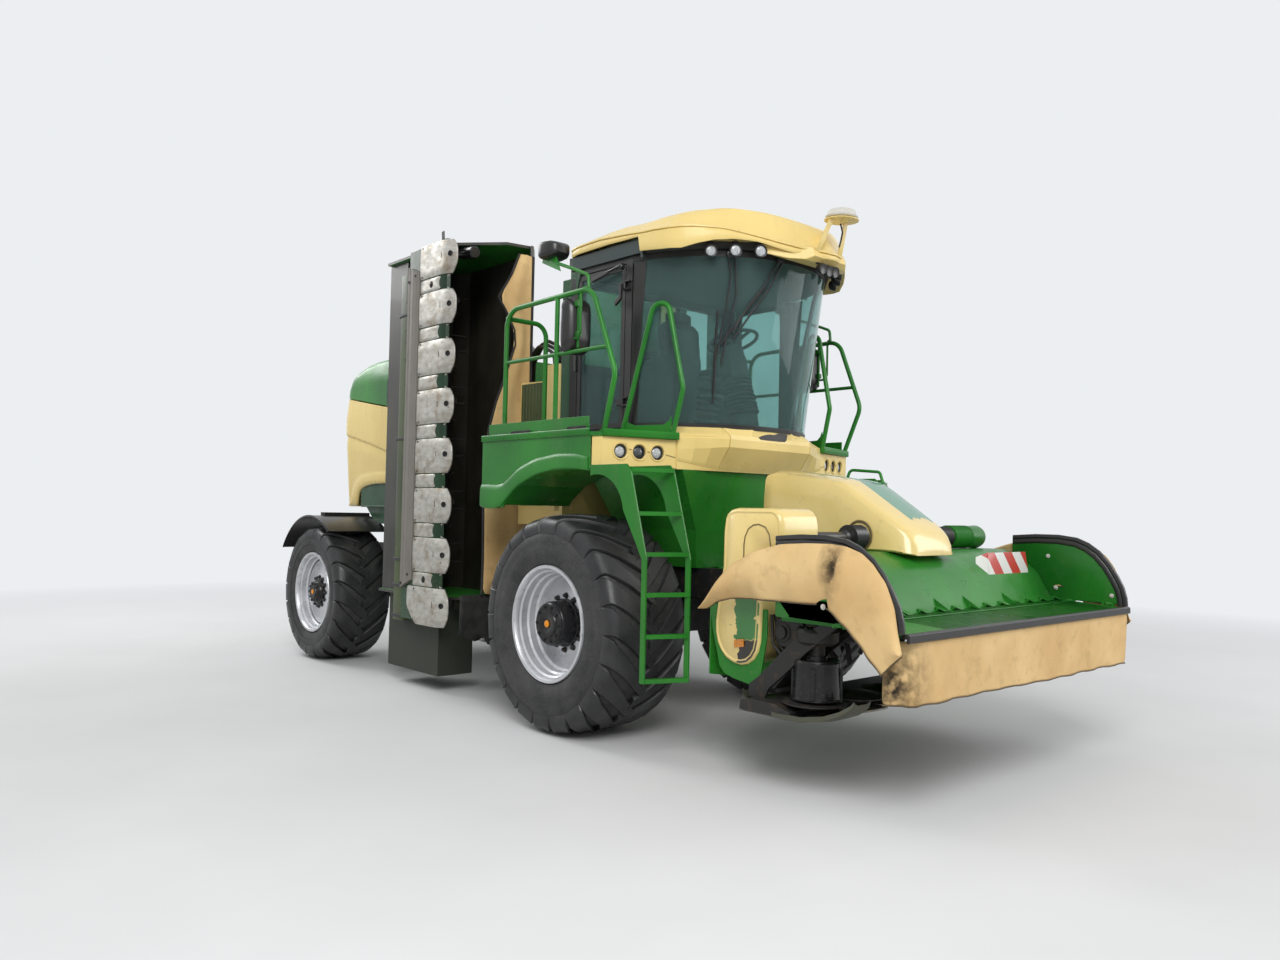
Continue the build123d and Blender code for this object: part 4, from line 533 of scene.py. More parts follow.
class Build:
    """Collects verts and faces of one piece from simple forms."""

    def __init__(self, place=None):
        self.verts = []
        self.faces = []
        self.place = place

    def set_down(self, ring):
        """A ring's points, moved into the machine's frame where the piece has its own."""
        ring = [Vector(v) for v in ring]
        return self.place(ring) if self.place else ring

    def rings(self, rings, close_path=False, close_ring=True, caps=True):
        """Skins between rings of the same number of points."""
        start = len(self.verts)
        count = len(rings[0])
        for ring in rings:
            self.verts.extend(self.set_down(ring))
        spans = len(rings) if close_path else len(rings) - 1
        edges = count if close_ring else count - 1
        for i in range(spans):
            a = start + i * count
            b = start + ((i + 1) % len(rings)) * count
            for j in range(edges):
                k = (j + 1) % count
                self.faces.append((a + j, a + k, b + k, b + j))
        if caps and not close_path and close_ring:
            self.faces.append(tuple(range(start, start + count))[::-1])
            last = start + (len(rings) - 1) * count
            self.faces.append(tuple(range(last, last + count)))

    def grid(self, rows):
        """A single layer through rows of points."""
        start, count = len(self.verts), len(rows[0])
        for row in rows:
            self.verts.extend(self.set_down(row))
        for i in range(len(rows) - 1):
            for j in range(count - 1):
                a = start + i * count + j
                self.faces.append((a, a + 1, a + count + 1, a + count))

    def sheet_of(self, front, back):
        """A closed plate between two grids of the same size."""
        rings = [list(a) + list(b)[::-1] for a, b in zip(front, back)]
        self.rings(rings)

    def prism(self, outline, thickness):
        """A flat outline (points in space) given thickness along a vector."""
        self.rings([outline, [Vector(p) + Vector(thickness) for p in outline]])

    def across(self, outline, places, side=1):
        """An outline of (x ahead of the front axle, z) through places across the machine."""
        self.rings([[(at(x), side * y, z) for x, z in outline] for y in places])

    def upright(self, outline, heights, side=1):
        """An outline of (x ahead of the front axle, y) through heights."""
        self.rings([[(at(x), side * y, z) for x, y in outline] for z in heights])

    def lengthwise(self, outline, places, side=1):
        """An outline of (y, z) through places ahead of the front axle."""
        self.rings([[(at(x), side * y, z) for y, z in outline] for x in places])

    def box(self, low, high):
        (x0, y0, z0), (x1, y1, z1) = low, high
        self.prism([(x0, y0, z0), (x1, y0, z0), (x1, y1, z0), (x0, y1, z0)], (0, 0, z1 - z0))

    def tube(self, points, radius, sides=12, closed=False):
        """A round tube along points; the radius may be a list."""
        points = [Vector(p) for p in points]
        radii = radius if isinstance(radius, (list, tuple)) else [radius] * len(points)
        rings = []
        normal = None
        for index, point in enumerate(points):
            before = points[index - 1] if index or closed else point
            after = points[(index + 1) % len(points)] if index < len(points) - 1 or closed else point
            direction = (after - before).normalized()
            if normal is None:
                normal = direction.orthogonal().normalized()
            normal = (normal - direction * normal.dot(direction)).normalized()
            other = direction.cross(normal)
            rings.append([point + (normal * math.cos(a) + other * math.sin(a)) * radii[index]
                          for a in (2 * math.pi * k / sides for k in range(sides))])
        self.rings(rings, close_path=closed)

    def turned(self, centre, axis, profile, sides=64):
        """A profile of (distance along the axis, radius) turned about the axis."""
        axis = Vector(axis).normalized()
        normal = axis.orthogonal().normalized()
        other = axis.cross(normal)
        rings = []
        for along, radius in profile:
            base = Vector(centre) + axis * along
            rings.append([base + (normal * math.cos(a) + other * math.sin(a)) * max(radius, 0.0005)
                          for a in (2 * math.pi * k / sides for k in range(sides))])
        self.rings(rings)

    def bolt(self, place, axis, size=0.012, height=0.009):
        """A hexagon head on a washer."""
        self.turned(place, axis, [(0.0, size * 1.5), (height * 0.25, size * 1.5), (height * 0.25, size)], 16)
        self.turned(Vector(place) + Vector(axis).normalized() * height * 0.2, axis,
                    [(0.0, size), (height * 0.8, size), (height, size * 0.86)], 6)

    def piece(self, name, material, body="chassis", **options):
        return make_piece(name, self.verts, self.faces, material, body, **options)


def bent(points, radius, steps=6):
    """Points of a polyline with its corners rounded."""
    points = [Vector(p) for p in points]
    path = [points[0]]
    for before, corner, after in zip(points, points[1:], points[2:]):
        back, onward = before - corner, after - corner
        half = back.angle(onward) / 2
        setback = min(radius / math.tan(half), back.length * 0.49, onward.length * 0.49)
        start, end = corner + back.normalized() * setback, corner + onward.normalized() * setback
        for step in range(steps + 1):
            t = step / steps
            path.append(start * (1 - t) ** 2 + corner * 2 * t * (1 - t) + end * t ** 2)
    path.append(points[-1])
    return path


# Wheels
def loop(build, centre, axis, profile, sides=96):
    """A closed profile of (distance along the axis, radius) turned into a ring."""
    axis = Vector(axis).normalized()
    normal = Vector((0, 0, 1))
    other = axis.cross(normal)
    rings = []
    for k in range(sides):
        turn = 2 * math.pi * k / sides
        out = normal * math.cos(turn) + other * math.sin(turn)
        rings.append([Vector(centre) + axis * along + out * radius for along, radius in profile])
    build.rings(rings, close_path=True)


def mirrored_profile(half):
    return half + [(-along, radius) for along, radius in reversed(half)]


def add_lug(build, centre, sign, turn, tread, widths, sweep, height):
    """One curved bar: it starts past the middle of the tread and folds down over the shoulder."""
    rings = []
    last = len(tread) - 1
    for index, (along, radius) in enumerate(tread):
        before, after = tread[max(index - 1, 0)], tread[min(index + 1, last)]
        slope = Vector((after[0] - before[0], after[1] - before[1])).normalized()
        out = Vector((-slope.y, slope.x))
        share = index / last
        angle = turn + sweep * (1 - (1 - min(share * 1.35, 1)) ** 1.8)
        half = (widths[0] + (widths[1] - widths[0]) * min(share * 1.5, 1)) / 2
        ring = []
        for side, depth in ((-1, height), (-1, 0.006), (-0.93, 0.0), (0.93, 0.0), (1, 0.006), (1, height)):
            reach = half + (0.007 if depth == height else 0.0)
            a = angle + side * reach / radius
            y, r = along - out.x * depth, radius - out.y * depth
            ring.append(Vector(centre) + Vector((math.cos(a) * r, sign * y, math.sin(a) * r)))
        rings.append(ring)
    build.rings(rings)


def make_tyre(node, body, centre, radius, width, rim, count):
    half = width / 2
    wall = [(half - 0.055, rim), (half - 0.043, rim + 0.023), (half - 0.024, rim + 0.034),
            (half - 0.022, rim + 0.046), (half - 0.012, rim + 0.060), (half - 0.004, rim + 0.110),
            (half - 0.0005, rim + 0.150), (half - 0.001, rim + 0.152), (half - 0.0005, radius - 0.20),
            (half - 0.002, radius - 0.150), (half - 0.0035, radius - 0.148), (half - 0.005, radius - 0.130),
            (half - 0.017, radius - 0.098), (half - 0.030, radius - 0.070), (half - 0.055, radius - 0.048),
            (half * 0.45, radius - 0.034), (half * 0.1, radius - 0.032)]
    carcass = Build()
    loop(carcass, centre, (0, 1, 0), mirrored_profile(wall), 128)
    made = carcass.piece(node + "_casing", "tyre_rubber", body)
    bars = Build()
    tread = [(-0.030, radius), (half * 0.22, radius - 0.001), (half * 0.45, radius - 0.004),
             (half * 0.66, radius - 0.010), (half * 0.83, radius - 0.021), (half * 0.93, radius - 0.038),
             (half * 0.985, radius - 0.066), (half, radius - 0.100), (half - 0.002, radius - 0.138)]
    pitch = 2 * math.pi / count
    room = radius * pitch
    for sign in (-1, 1):
        for index in range(count):
            turn = (index + (0.5 if sign > 0 else 0)) * pitch
            add_lug(bars, centre, sign, turn, tread, (room * 0.44, room * 0.83), half * 0.92 / radius, 0.036)
    lugs = bars.piece(node + "_tread", "tread_rubber", body)
    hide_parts(node)


def make_rim(node, body, centre, sign, half, rim, disc, hub_radius, hub_face):
    """A stepped barrel, a dished disc with its nuts, and a hub with a bolt circle."""
    axis = (0, sign, 0)
    barrel = Build()
    lip, s = half, rim
    inner = [(lip + 0.003, s + 0.019), (lip + 0.001, s - 0.002), (lip - 0.012, s - 0.011),
             (lip - 0.040, s - 0.015), (lip - 0.050, s - 0.029), (lip - 0.098, s - 0.033),
             (lip - 0.110, s - 0.047), (lip - 0.158, s - 0.051), (lip - 0.172, s - 0.068),
             (lip - 0.215, s - 0.072), (-lip + 0.215, s - 0.072), (-lip + 0.190, s - 0.055),
             (-lip + 0.095, s - 0.045), (-lip + 0.075, s - 0.020), (-lip + 0.015, s - 0.013),
             (-lip - 0.001, s - 0.002), (-lip - 0.003, s + 0.019)]
    outer = [(-lip + 0.010, s + 0.024), (-lip + 0.022, s - 0.001), (-lip + 0.085, s - 0.006),
             (-lip + 0.20, s - 0.040), (0.0, s - 0.058), (lip - 0.20, s - 0.056),
             (lip - 0.150, s - 0.036), (lip - 0.10, s - 0.020), (lip - 0.04, s - 0.003),
             (lip - 0.020, s + 0.002), (lip - 0.010, s + 0.024)]
    loop(barrel, centre, axis, inner + outer)
    loop(barrel, centre, axis, [(disc, s - 0.062), (disc, s - 0.105), (disc + 0.008, s - 0.120),
                                (disc + 0.008, hub_radius + 0.085), (disc + 0.028, hub_radius + 0.055),
                                (disc + 0.028, hub_radius - 0.030), (disc + 0.010, hub_radius - 0.030),
                                (disc + 0.010, hub_radius + 0.050), (disc - 0.010, hub_radius + 0.080),
                                (disc - 0.010, s - 0.115), (disc - 0.020, s - 0.062)])
    made = barrel.piece(node + "_rim", "rim_silver", body)
    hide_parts(node)
    nuts = Build()
    for k in range(12):
        turn = 2 * math.pi * k / 12
        place = Vector(centre) + Vector((math.cos(turn) * (hub_radius + 0.034), sign * (disc + 0.028),
                                         math.sin(turn) * (hub_radius + 0.034)))
        nuts.bolt(place, axis, 0.015, 0.024)
    nuts.piece(node + "_nuts", "grey_iron", body)
    hub = Build()
    end = hub_face
    hub.turned(centre, axis, [(-0.10, hub_radius * 0.9), (disc + 0.030, hub_radius * 0.9),
                              (disc + 0.030, hub_radius + 0.012), (disc + 0.052, hub_radius + 0.012),
                              (disc + 0.056, hub_radius), (end - 0.040, hub_radius - 0.004),
                              (end - 0.030, hub_radius - 0.012), (end - 0.022, hub_radius - 0.012),
                              (end - 0.012, hub_radius - 0.022), (end - 0.012, hub_radius * 0.62),
                              (end - 0.002, hub_radius * 0.58), (end - 0.002, hub_radius * 0.30),
                              (end - 0.006, hub_radius * 0.26), (end - 0.006, 0.001)])
    for k in range(10):
        turn = 2 * math.pi * k / 10
        place = Vector(centre) + Vector((math.cos(turn) * hub_radius * 0.76, sign * (end - 0.012),
                                         math.sin(turn) * hub_radius * 0.76))
        hub.bolt(place, axis, 0.011, 0.010)
    hub.piece(node + "_hub", "gloss_black", body)
    cap = Build()
    cap.turned(centre, axis, [(end - 0.006, 0.026), (end, 0.025), (end + 0.003, 0.020),
                              (end + 0.003, 0.001)], 32)
    cap.piece(node + "_cap", "amber_cap", body)


def make_wheels():
    for name, sign in SIDES:
        front = Vector((FRONT_AXLE.x, sign * abs(FRONT_AXLE.y), FRONT_TYRE_RADIUS))
        rear = Vector((REAR_AXLE.x, sign * abs(REAR_AXLE.y), REAR_TYRE_RADIUS))
        make_tyre("front_tyre_" + name, "front_wheel_" + name, front, FRONT_TYRE_RADIUS,
                  FRONT_TYRE_WIDTH, FRONT_RIM_RADIUS, 22)
        make_rim("front_wheel_" + name, "front_wheel_" + name, front, sign, FRONT_TYRE_WIDTH / 2 - 0.022,
                 FRONT_RIM_RADIUS, 0.123, 0.165, 0.330)
        make_tyre("rear_tyre_" + name, "rear_wheel_" + name, rear, REAR_TYRE_RADIUS,
                  REAR_TYRE_WIDTH, REAR_RIM_RADIUS, 20)
        make_rim("rear_wheel_" + name, "rear_wheel_" + name, rear, sign, REAR_TYRE_WIDTH / 2 - 0.022,
                 REAR_RIM_RADIUS, 0.160, 0.120, 0.270)


# Side mowers: eight skids in a column, measured with the mower folded upright
SKID_TOP = 3.952
SKID_PITCH = 0.4317
SKID_HEIGHT = 0.300
SKID_REAR = -2.045
SKID_TIP = -1.500
BAR_PLANE = 1.440
LOWEST = SKID_TOP - 7 * SKID_PITCH


def curled_plate(build, low, high, rear, tip, depth, hollow=False, rear_low=None, curl=0.045, thick=0.012):
    """A plate facing outward whose front edge is rounded and curls inward. Works in (x, z, y outward)."""
    rows, columns = 9, 12
    front, back = [], []
    for r in range(rows):
        share = r / (rows - 1)
        z = low + (high - low) * share
        bow = abs(2 * share - 1)
        end = tip + 0.045 * bow ** 2 if hollow else tip - 0.085 * bow ** 3.2
        start = rear if rear_low is None else rear_low + (rear - rear_low) * min(share * 2.2, 1)
        line = []
        for c in range(columns):
            x = start + (end - start) * (c / (columns - 1)) ** 0.8
            near = max(0.0, (x - (end - 0.13)) / 0.13)
            lip = 0.010 * max(0, (bow - 0.86) / 0.14) ** 2
            line.append((x, depth - curl * near ** 2 - lip, z))
        front.append(line)
        back.append([(x, y - thick, z) for x, y, z in line])
    build.sheet_of(front, back)


def make_side_bar(name, sign):
    body = "side_mower_" + name

    def place(points):
        return [Vector((at(x), sign * y, z)) for x, y, z in points]

    plates = Build(place)
    for k in range(8):
        top = SKID_TOP - k * SKID_PITCH
        low = top - SKID_HEIGHT - (0.03 if k == 7 else 0.0)
        curled_plate(plates, low, top, SKID_REAR if k < 7 else -2.13, SKID_TIP, BAR_PLANE,
                     rear_low=None if k < 7 else -1.98)
        if k < 7:
            curled_plate(plates, low - SKID_PITCH + SKID_HEIGHT + 0.003, low - 0.003, SKID_REAR, -1.665,
                         BAR_PLANE - 0.009, hollow=True, curl=0.035)
    made = plates.piece("side_bar_skids_" + name, "worn_steel", body, bevel=0.003)
    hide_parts("side_cutter_bar_" + name)

    # A darkest-green panel behind the skids: painted shade seen in the gaps between them
    core = Build(place)
    core.rings([[(-2.27, 1.372, z), (-2.27, 1.418, z), (-2.06, 1.424, z), (-1.70, 1.424, z),
                 (-1.645, 1.402, z), (-1.63, 1.372, z)] for z in (LOWEST - 0.30, SKID_TOP - 0.005)])
    core.piece("side_bar_core_" + name, "painted_shade_green", body, bevel=0.004)

    # Dark cups, dots and a slot mark on the skids: painted shade standing in for their holes and slot
    trim = Build(place)
    for k in range(8):
        middle = SKID_TOP - k * SKID_PITCH - SKID_HEIGHT / 2
        trim.turned((-1.560, BAR_PLANE - 0.016, middle + 0.01), (0.35, 1, 0),
                    [(0.0, 0.024), (0.007, 0.024), (0.007, 0.017), (0.002, 0.015)], 20)
        trim.box((-1.690, BAR_PLANE - 0.004, middle - 0.012), (-1.684, BAR_PLANE + 0.0012, middle + 0.040))
        for corner in (0.13, -0.13):
            trim.turned((-2.01, BAR_PLANE - 0.002, middle + corner), (0, 1, 0),
                        [(0.0, 0.007), (0.0035, 0.006)], 10)
    for k in (0, 6):
        z = SKID_TOP - k * SKID_PITCH - SKID_HEIGHT - 0.065
        trim.turned((-1.86, BAR_PLANE - 0.011, z), (0, 1, 0),
                    [(0.0, 0.030), (0.003, 0.030), (0.003, 0.018), (0.008, 0.016), (0.012, 0.010)], 18)
    trim.piece("side_bar_holes_" + name, "painted_hole_shade", body)

    discs = Build(place)
    for k in range(8):
        middle = SKID_TOP - k * SKID_PITCH - SKID_HEIGHT / 2
        discs.turned((-1.76, 1.372, middle), (0, -1, 0),
                     [(0.0, 0.060), (0.006, 0.060), (0.008, 0.185), (0.016, 0.190), (0.020, 0.120),
                      (0.026, 0.105), (0.026, 0.001)], 40)
        turn = 0.15 if k % 2 else math.pi / 2 + 0.15
        for flip in (0, math.pi):
            along = Vector((math.cos(turn + flip), 0, math.sin(turn + flip)))
            across = Vector((-along.z, 0, along.x)) * 0.022
            hub = Vector((-1.76, 1.361, middle))
            root, tip = hub + along * 0.150, hub + along * 0.262
            discs.prism([root - across, root + across, tip + across * 0.8, tip - across], (0, 0.005, 0))
    discs.piece("side_bar_discs_" + name, "dark_steel", body)

    strip = Build(place)
    section = [(-2.252, 1.400), (-2.252, 1.440), (-2.240, 1.451), (-2.206, 1.452), (-2.198, 1.443),
               (-2.190, 1.452), (-2.136, 1.458), (-2.128, 1.448), (-2.120, 1.457), (-2.072, 1.454),
               (-2.058, 1.444), (-2.056, 1.400)]
    ends = []
    for base, slope in ((0.900, 0.42), (1.0, 0.42), (3.70, 0.0), (3.80, -0.35)):
        ends.append([(x, y, base + slope * (x + 2.252)) for x, y in section])
    strip.rings(ends)
    strip.piece("side_bar_strip_" + name, "grey_strip", body, bevel=0.003)
    bolts = Build(place)
    for x, z in ((-2.222, 0.945), (-2.215, 3.66), (-2.10, 1.03), (-2.10, 3.70)):
        bolts.turned((x, 1.452, z), (0, 1, 0), [(0, 0.016), (0.004, 0.016), (0.004, 0.010),
                                                (0.012, 0.009)], 16)

    beam = Build(place)
    corner = 0.035
    outline = []
    for cx, cy, start in ((-2.262 - corner, 1.405 - corner, 0), (-2.462 + corner, 1.405 - corner, 90),
                          (-2.462 + corner, 1.225 + corner, 180), (-2.262 - corner, 1.225 + corner, 270)):
        for step in range(5):
            a = math.radians(start + step * 22.5)
            outline.append((cx + math.cos(a) * corner, cy + math.sin(a) * corner))
    beam.rings([[(x, y, z) for x, y in outline] for z in (0.60, 0.61, 3.72, 3.76)])
    beam.piece("side_beam_" + name, "olive_paint", body)
    for z in (0.64, 0.915, 1.15, 2.25, 3.39):
        ring = [(x + (0.009 if x > -2.362 else -0.009), y + (0.009 if y > 1.315 else -0.009))
                for x, y in outline]
        bolts.rings([[(x, y, z + dz) for x, y in ring] for dz in (-0.012, 0.012)])
        bolts.prism([(-2.50, 1.30, z - 0.012), (-2.44, 1.30, z - 0.012), (-2.44, 1.39, z - 0.012),
                     (-2.50, 1.39, z - 0.012)], (0, 0, 0.024))
    bolts.piece("side_beam_clamps_" + name, "grey_iron", body, bevel=0.002)

    roller = Build(place)
    roller.turned((-1.86, 1.22, 3.90), (1, 0.05, -0.16),
                  [(0.0, 0.045), (0.01, 0.052), (0.40, 0.052), (0.41, 0.044), (0.41, 0.001)], 28)
    roller.piece("side_roller_" + name, "gloss_black", body)


def make_side_curtain(name, sign):
    """The canvas at the front of a folded side mower, with a bound outer edge."""
    body = "side_mower_" + name
    edge = [(-0.915, 3.850), (-0.990, 3.660), (-1.121, 3.439), (-1.046, 3.339), (-0.952, 3.179),
            (-0.938, 3.050), (-1.030, 2.778), (-1.120, 2.540), (-1.185, 2.300), (-1.212, 2.060),
            (-1.222, 1.700), (-1.212, 1.193), (-1.215, 0.905)]
    inner = 0.765
    rows = []
    for y, z in edge:
        row = []
        for step in range(9):
            share = step / 8
            ripple = 0.013 * math.sin(share * 7.0 + z * 1.1) * math.sin(share * math.pi)
            row.append(Vector((at(-1.262 + ripple), sign * (inner + (abs(y) - inner) * share), z)))
        rows.append(row)
    sheet = Build()
    sheet.grid(rows)
    piece = sheet.piece("side_curtain_cloth_" + name, "tan_canvas", body, subdivide=1)
    thicken(piece, CLOTH)
    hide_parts("side_curtain_" + name)
    band = Build()
    band.tube([(at(-1.262), sign * abs(y), z) for y, z in edge], 0.011, 8)
    band.tube([(at(-1.262), sign * 0.768, z) for z in (3.85, 2.4, 0.905)], 0.014, 8)
    hem = band.piece("side_curtain_edge_" + name, "flap_rubber", body)


def make_side_flap(name, sign):
    """A ragged rubber flap under the front end of the hood."""
    random.seed(7)
    rows = []
    for step in range(19):
        share = step / 18
        y = 0.70 + share * 0.70
        rag = 0.44 + 0.13 * share ** 2 + random.uniform(-0.014, 0.014) + (0.05 if step in (7, 12) else 0.0)
        sway = 0.018 * math.sin(share * 9)
        rows.append([Vector((at(-1.300 - sway * (1 - k / 5)), sign * y, rag + (0.90 - rag) * k / 5))
                     for k in range(6)])
    flap = Build()
    flap.grid(rows)
    piece = flap.piece("side_flap_" + name, "flap_rubber", "side_mower_" + name)
    thicken(piece, 0.006)


def make_side_mowers():
    for name, sign in SIDES:
        make_side_bar(name, sign)
        make_side_curtain(name, sign)
        make_side_flap(name, sign)
        repaint("side_hood_" + name, "hood_paint_" + name)
        repaint("side_reel_" + name, "dark_steel")
        repaint("side_skirt_" + name, "olive_rubber")


# Front mower: outlines of (x ahead of the front axle, z)
FRONT_HALF = 1.378
SHAFT_X, SHAFT_Z = 1.870, 1.4875
GUARD_ARC = ((2.086, 1.490), (2.262, 1.503), (2.433, 1.503), (2.565, 1.486), (2.646, 1.452), (2.724, 1.397),
             (2.794, 1.317), (2.848, 1.231), (2.886, 1.156), (2.904, 1.088), (2.908, 1.032))
CANVAS_TOP = ((1.524, 1.050), (1.666, 1.243), (1.785, 1.339), (1.902, 1.396), (2.034, 1.438), (2.144, 1.462),
              (2.321, 1.474), (2.490, 1.476), (2.595, 1.466), (2.683, 1.432), (2.760, 1.380), (2.830, 1.290),
              (2.880, 1.159), (2.902, 1.036), (2.931, 0.931))
CANVAS_LOW = ((1.525, 1.043), (1.608, 1.088), (1.730, 1.122), (1.888, 1.132), (2.041, 1.135), (2.187, 1.137),
              (2.327, 1.139), (2.471, 1.143), (2.545, 1.087), (2.610, 1.028), (2.666, 0.975), (2.722, 0.904),
              (2.807, 0.812), (2.865, 0.871), (2.929, 0.926))
FOLD_STATION = 7.9


def make_front_canvas(name, sign):
    """The cloth over the mower's end: it bulges behind a fold and hangs to a point in front of it."""
    rows = []
    stations, parts = len(CANVAS_TOP), 4
    for step in range((stations - 1) * parts + 1):
        station = step / parts
        before = min(int(station), stations - 2)
        blend = station - before
        (tx, tz), (lx, lz) = ((a[0] + (b[0] - a[0]) * blend, a[1] + (b[1] - a[1]) * blend)
                              for a, b in ((CANVAS_TOP[before], CANVAS_TOP[before + 1]),
                                           (CANVAS_LOW[before], CANVAS_LOW[before + 1])))
        row = []
        for part in range(10):
            share = part / 9
            x, z = tx + (lx - tx) * share, tz + (lz - tz) * share
            past_fold = station - (FOLD_STATION - 0.85 * share)
            flap = 0.052 * math.exp(-past_fold / 2.4) if past_fold > 0 else -0.036 * math.exp(past_fold / 0.8)
            flap *= min(1.0, 0.15 + share * 3.2)
            bulge = (0.050 if past_fold < 0 else 0.030) * math.sin(math.pi * min(share * 0.9 + 0.08, 1))
            ripple = 0.007 * math.sin(x * 21 + z * 9) + 0.005 * math.sin(x * 47 - z * 23)
            pull = 0.008 * math.sin(x * 30 + share * 3.0) * (1 - share) ** 2
            curl = 0.030 * share ** 3 if x < 1.95 else 0.0
            row.append(Vector((at(x), sign * (1.424 + bulge + flap + pull + ripple * share - curl), z)))
        rows.append(row)
    cloth = Build()
    cloth.grid(rows)
    piece = cloth.piece("front_canvas_" + name, "front_canvas", "side_guard_" + name, subdivide=1)
    thicken(piece, CLOTH)
    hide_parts("side_canvas_" + name)
    hem = Build()
    hem.tube([row[-1] for row in rows], 0.0045, 6)
    band = hem.piece("front_canvas_hem_" + name, "scorched_hem", "side_guard_" + name)


def make_guard(name, sign):
    """A side guard's pressed sheet with its rolled hinge eyes, inside the rubber moulding."""
    arc = [GUARD_ARC[0]]
    for before, here, after in zip(GUARD_ARC, GUARD_ARC[1:], GUARD_ARC[2:]):
        dx, dz = after[0] - before[0], after[1] - before[1]
        length = math.hypot(dx, dz)
        arc.append((here[0] + dz / length * 0.004, here[1] - dx / length * 0.004))
    outline = [(2.080, 1.486), *arc[1:], (2.902, 1.052), (2.895, 1.046), (2.090, 1.046), (2.080, 1.056)]
    sheet = Build()
    swage = drawn_in(outline, 0.085)
    for shape, layers in ((outline, ((1.3965, 0.003), (1.3985, 0.0), (1.4055, 0.0), (1.4075, 0.003))),
                          (swage, ((1.4030, 0.0), (1.4105, 0.012), (1.4115, 0.020), (1.4115, 0.030)))):
        sheet.rings([[(at(x), sign * y, z) for x, z in drawn_in(shape, inset)] for y, inset in layers])
    for station in (2.520, 2.800):
        sheet.tube([(at(station - 0.020), sign * 1.402, 1.040),
                    (at(station + 0.020), sign * 1.402, 1.040)], 0.0135, 16)
    piece = sheet.piece("guard_sheet_" + name, "green_paint", "side_guard_" + name)
    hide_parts("side_guard_" + name)


def make_guard_rubber(name, sign):
    """The ribbed rubber moulding along the top and front of a side guard."""
    band = Build()
    rings = []
    last = len(GUARD_ARC) - 1
    for index, (x, z) in enumerate(GUARD_ARC):
        before, after = GUARD_ARC[max(index - 1, 0)], GUARD_ARC[min(index + 1, last)]
        along = Vector((after[0] - before[0], after[1] - before[1])).normalized()
        out = Vector((-along.y, along.x))
        section = [(0.014, -0.014), (0.018, -0.008), (0.018, 0.008), (0.014, 0.014), (-0.004, 0.018),
                   (-0.014, 0.012), (-0.024, 0.018), (-0.044, 0.017), (-0.050, 0.010), (-0.050, -0.010),
                   (-0.044, -0.017), (-0.024, -0.018), (-0.014, -0.012), (-0.004, -0.018)]
        rings.append([(at(x + out.x * n), sign * (1.404 + y), z + out.y * n) for n, y in section])
    band.rings(rings)
    band.piece("guard_rubber_" + name, "gloss_rubber", "side_guard_" + name)
    bolts = Build()
    for x, z in ((2.36, 1.36), (2.42, 1.13), (2.82, 1.10)):
        for face in (1, -1):
            bolts.bolt((at(x), sign * (1.402 + face * 0.008), z), (0, sign * face, 0), 0.011, 0.010)
    bolts.piece("guard_bolts_" + name, "white_plastic", "side_guard_" + name)


def make_front_curtain():
    """The front cloth under the hood's edge; its right end wraps back round the corner."""
    path = []
    for step in range(31):
        share = step / 30
        path.append((2.936, FRONT_HALF - share * (FRONT_HALF + 1.17)))
    wrap = ((2.934, -1.22), (2.926, -1.27), (2.908, -1.315), (2.878, -1.350), (2.840, -1.372),
            (2.790, -1.384))
    path.extend(wrap)
    rows = []
    for index, (x, y) in enumerate(path):
        row = []
        for step in range(8):
            share = step / 7
            bottom = 0.640 + 0.018 * (index / len(path)) + 0.004 * math.sin(index * 1.7)
            z = 0.990 + (bottom - 0.990) * share
            wave = 0.010 * math.sin(y * 4.1 + 0.6) * share + 0.004 * math.sin(y * 17) * share
            slack = share if index < 31 else 1.0
            row.append(Vector((at(min(x - 0.004 + wave * slack - 0.012 * share, 2.95)),
                               y * (1 + 0.004 * share), z)))
        rows.append(row)
    cloth = Build()
    cloth.grid(rows)
    piece = cloth.piece("front_curtain_cloth", "front_curtain_canvas", "front_mower", subdivide=2)
    thicken(piece, CLOTH)
    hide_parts("front_curtain")
    hem = Build()
    hem.tube([row[-1] for row in rows], 0.0045, 6)
    band = hem.piece("front_curtain_hem", "scorched_hem", "front_mower")


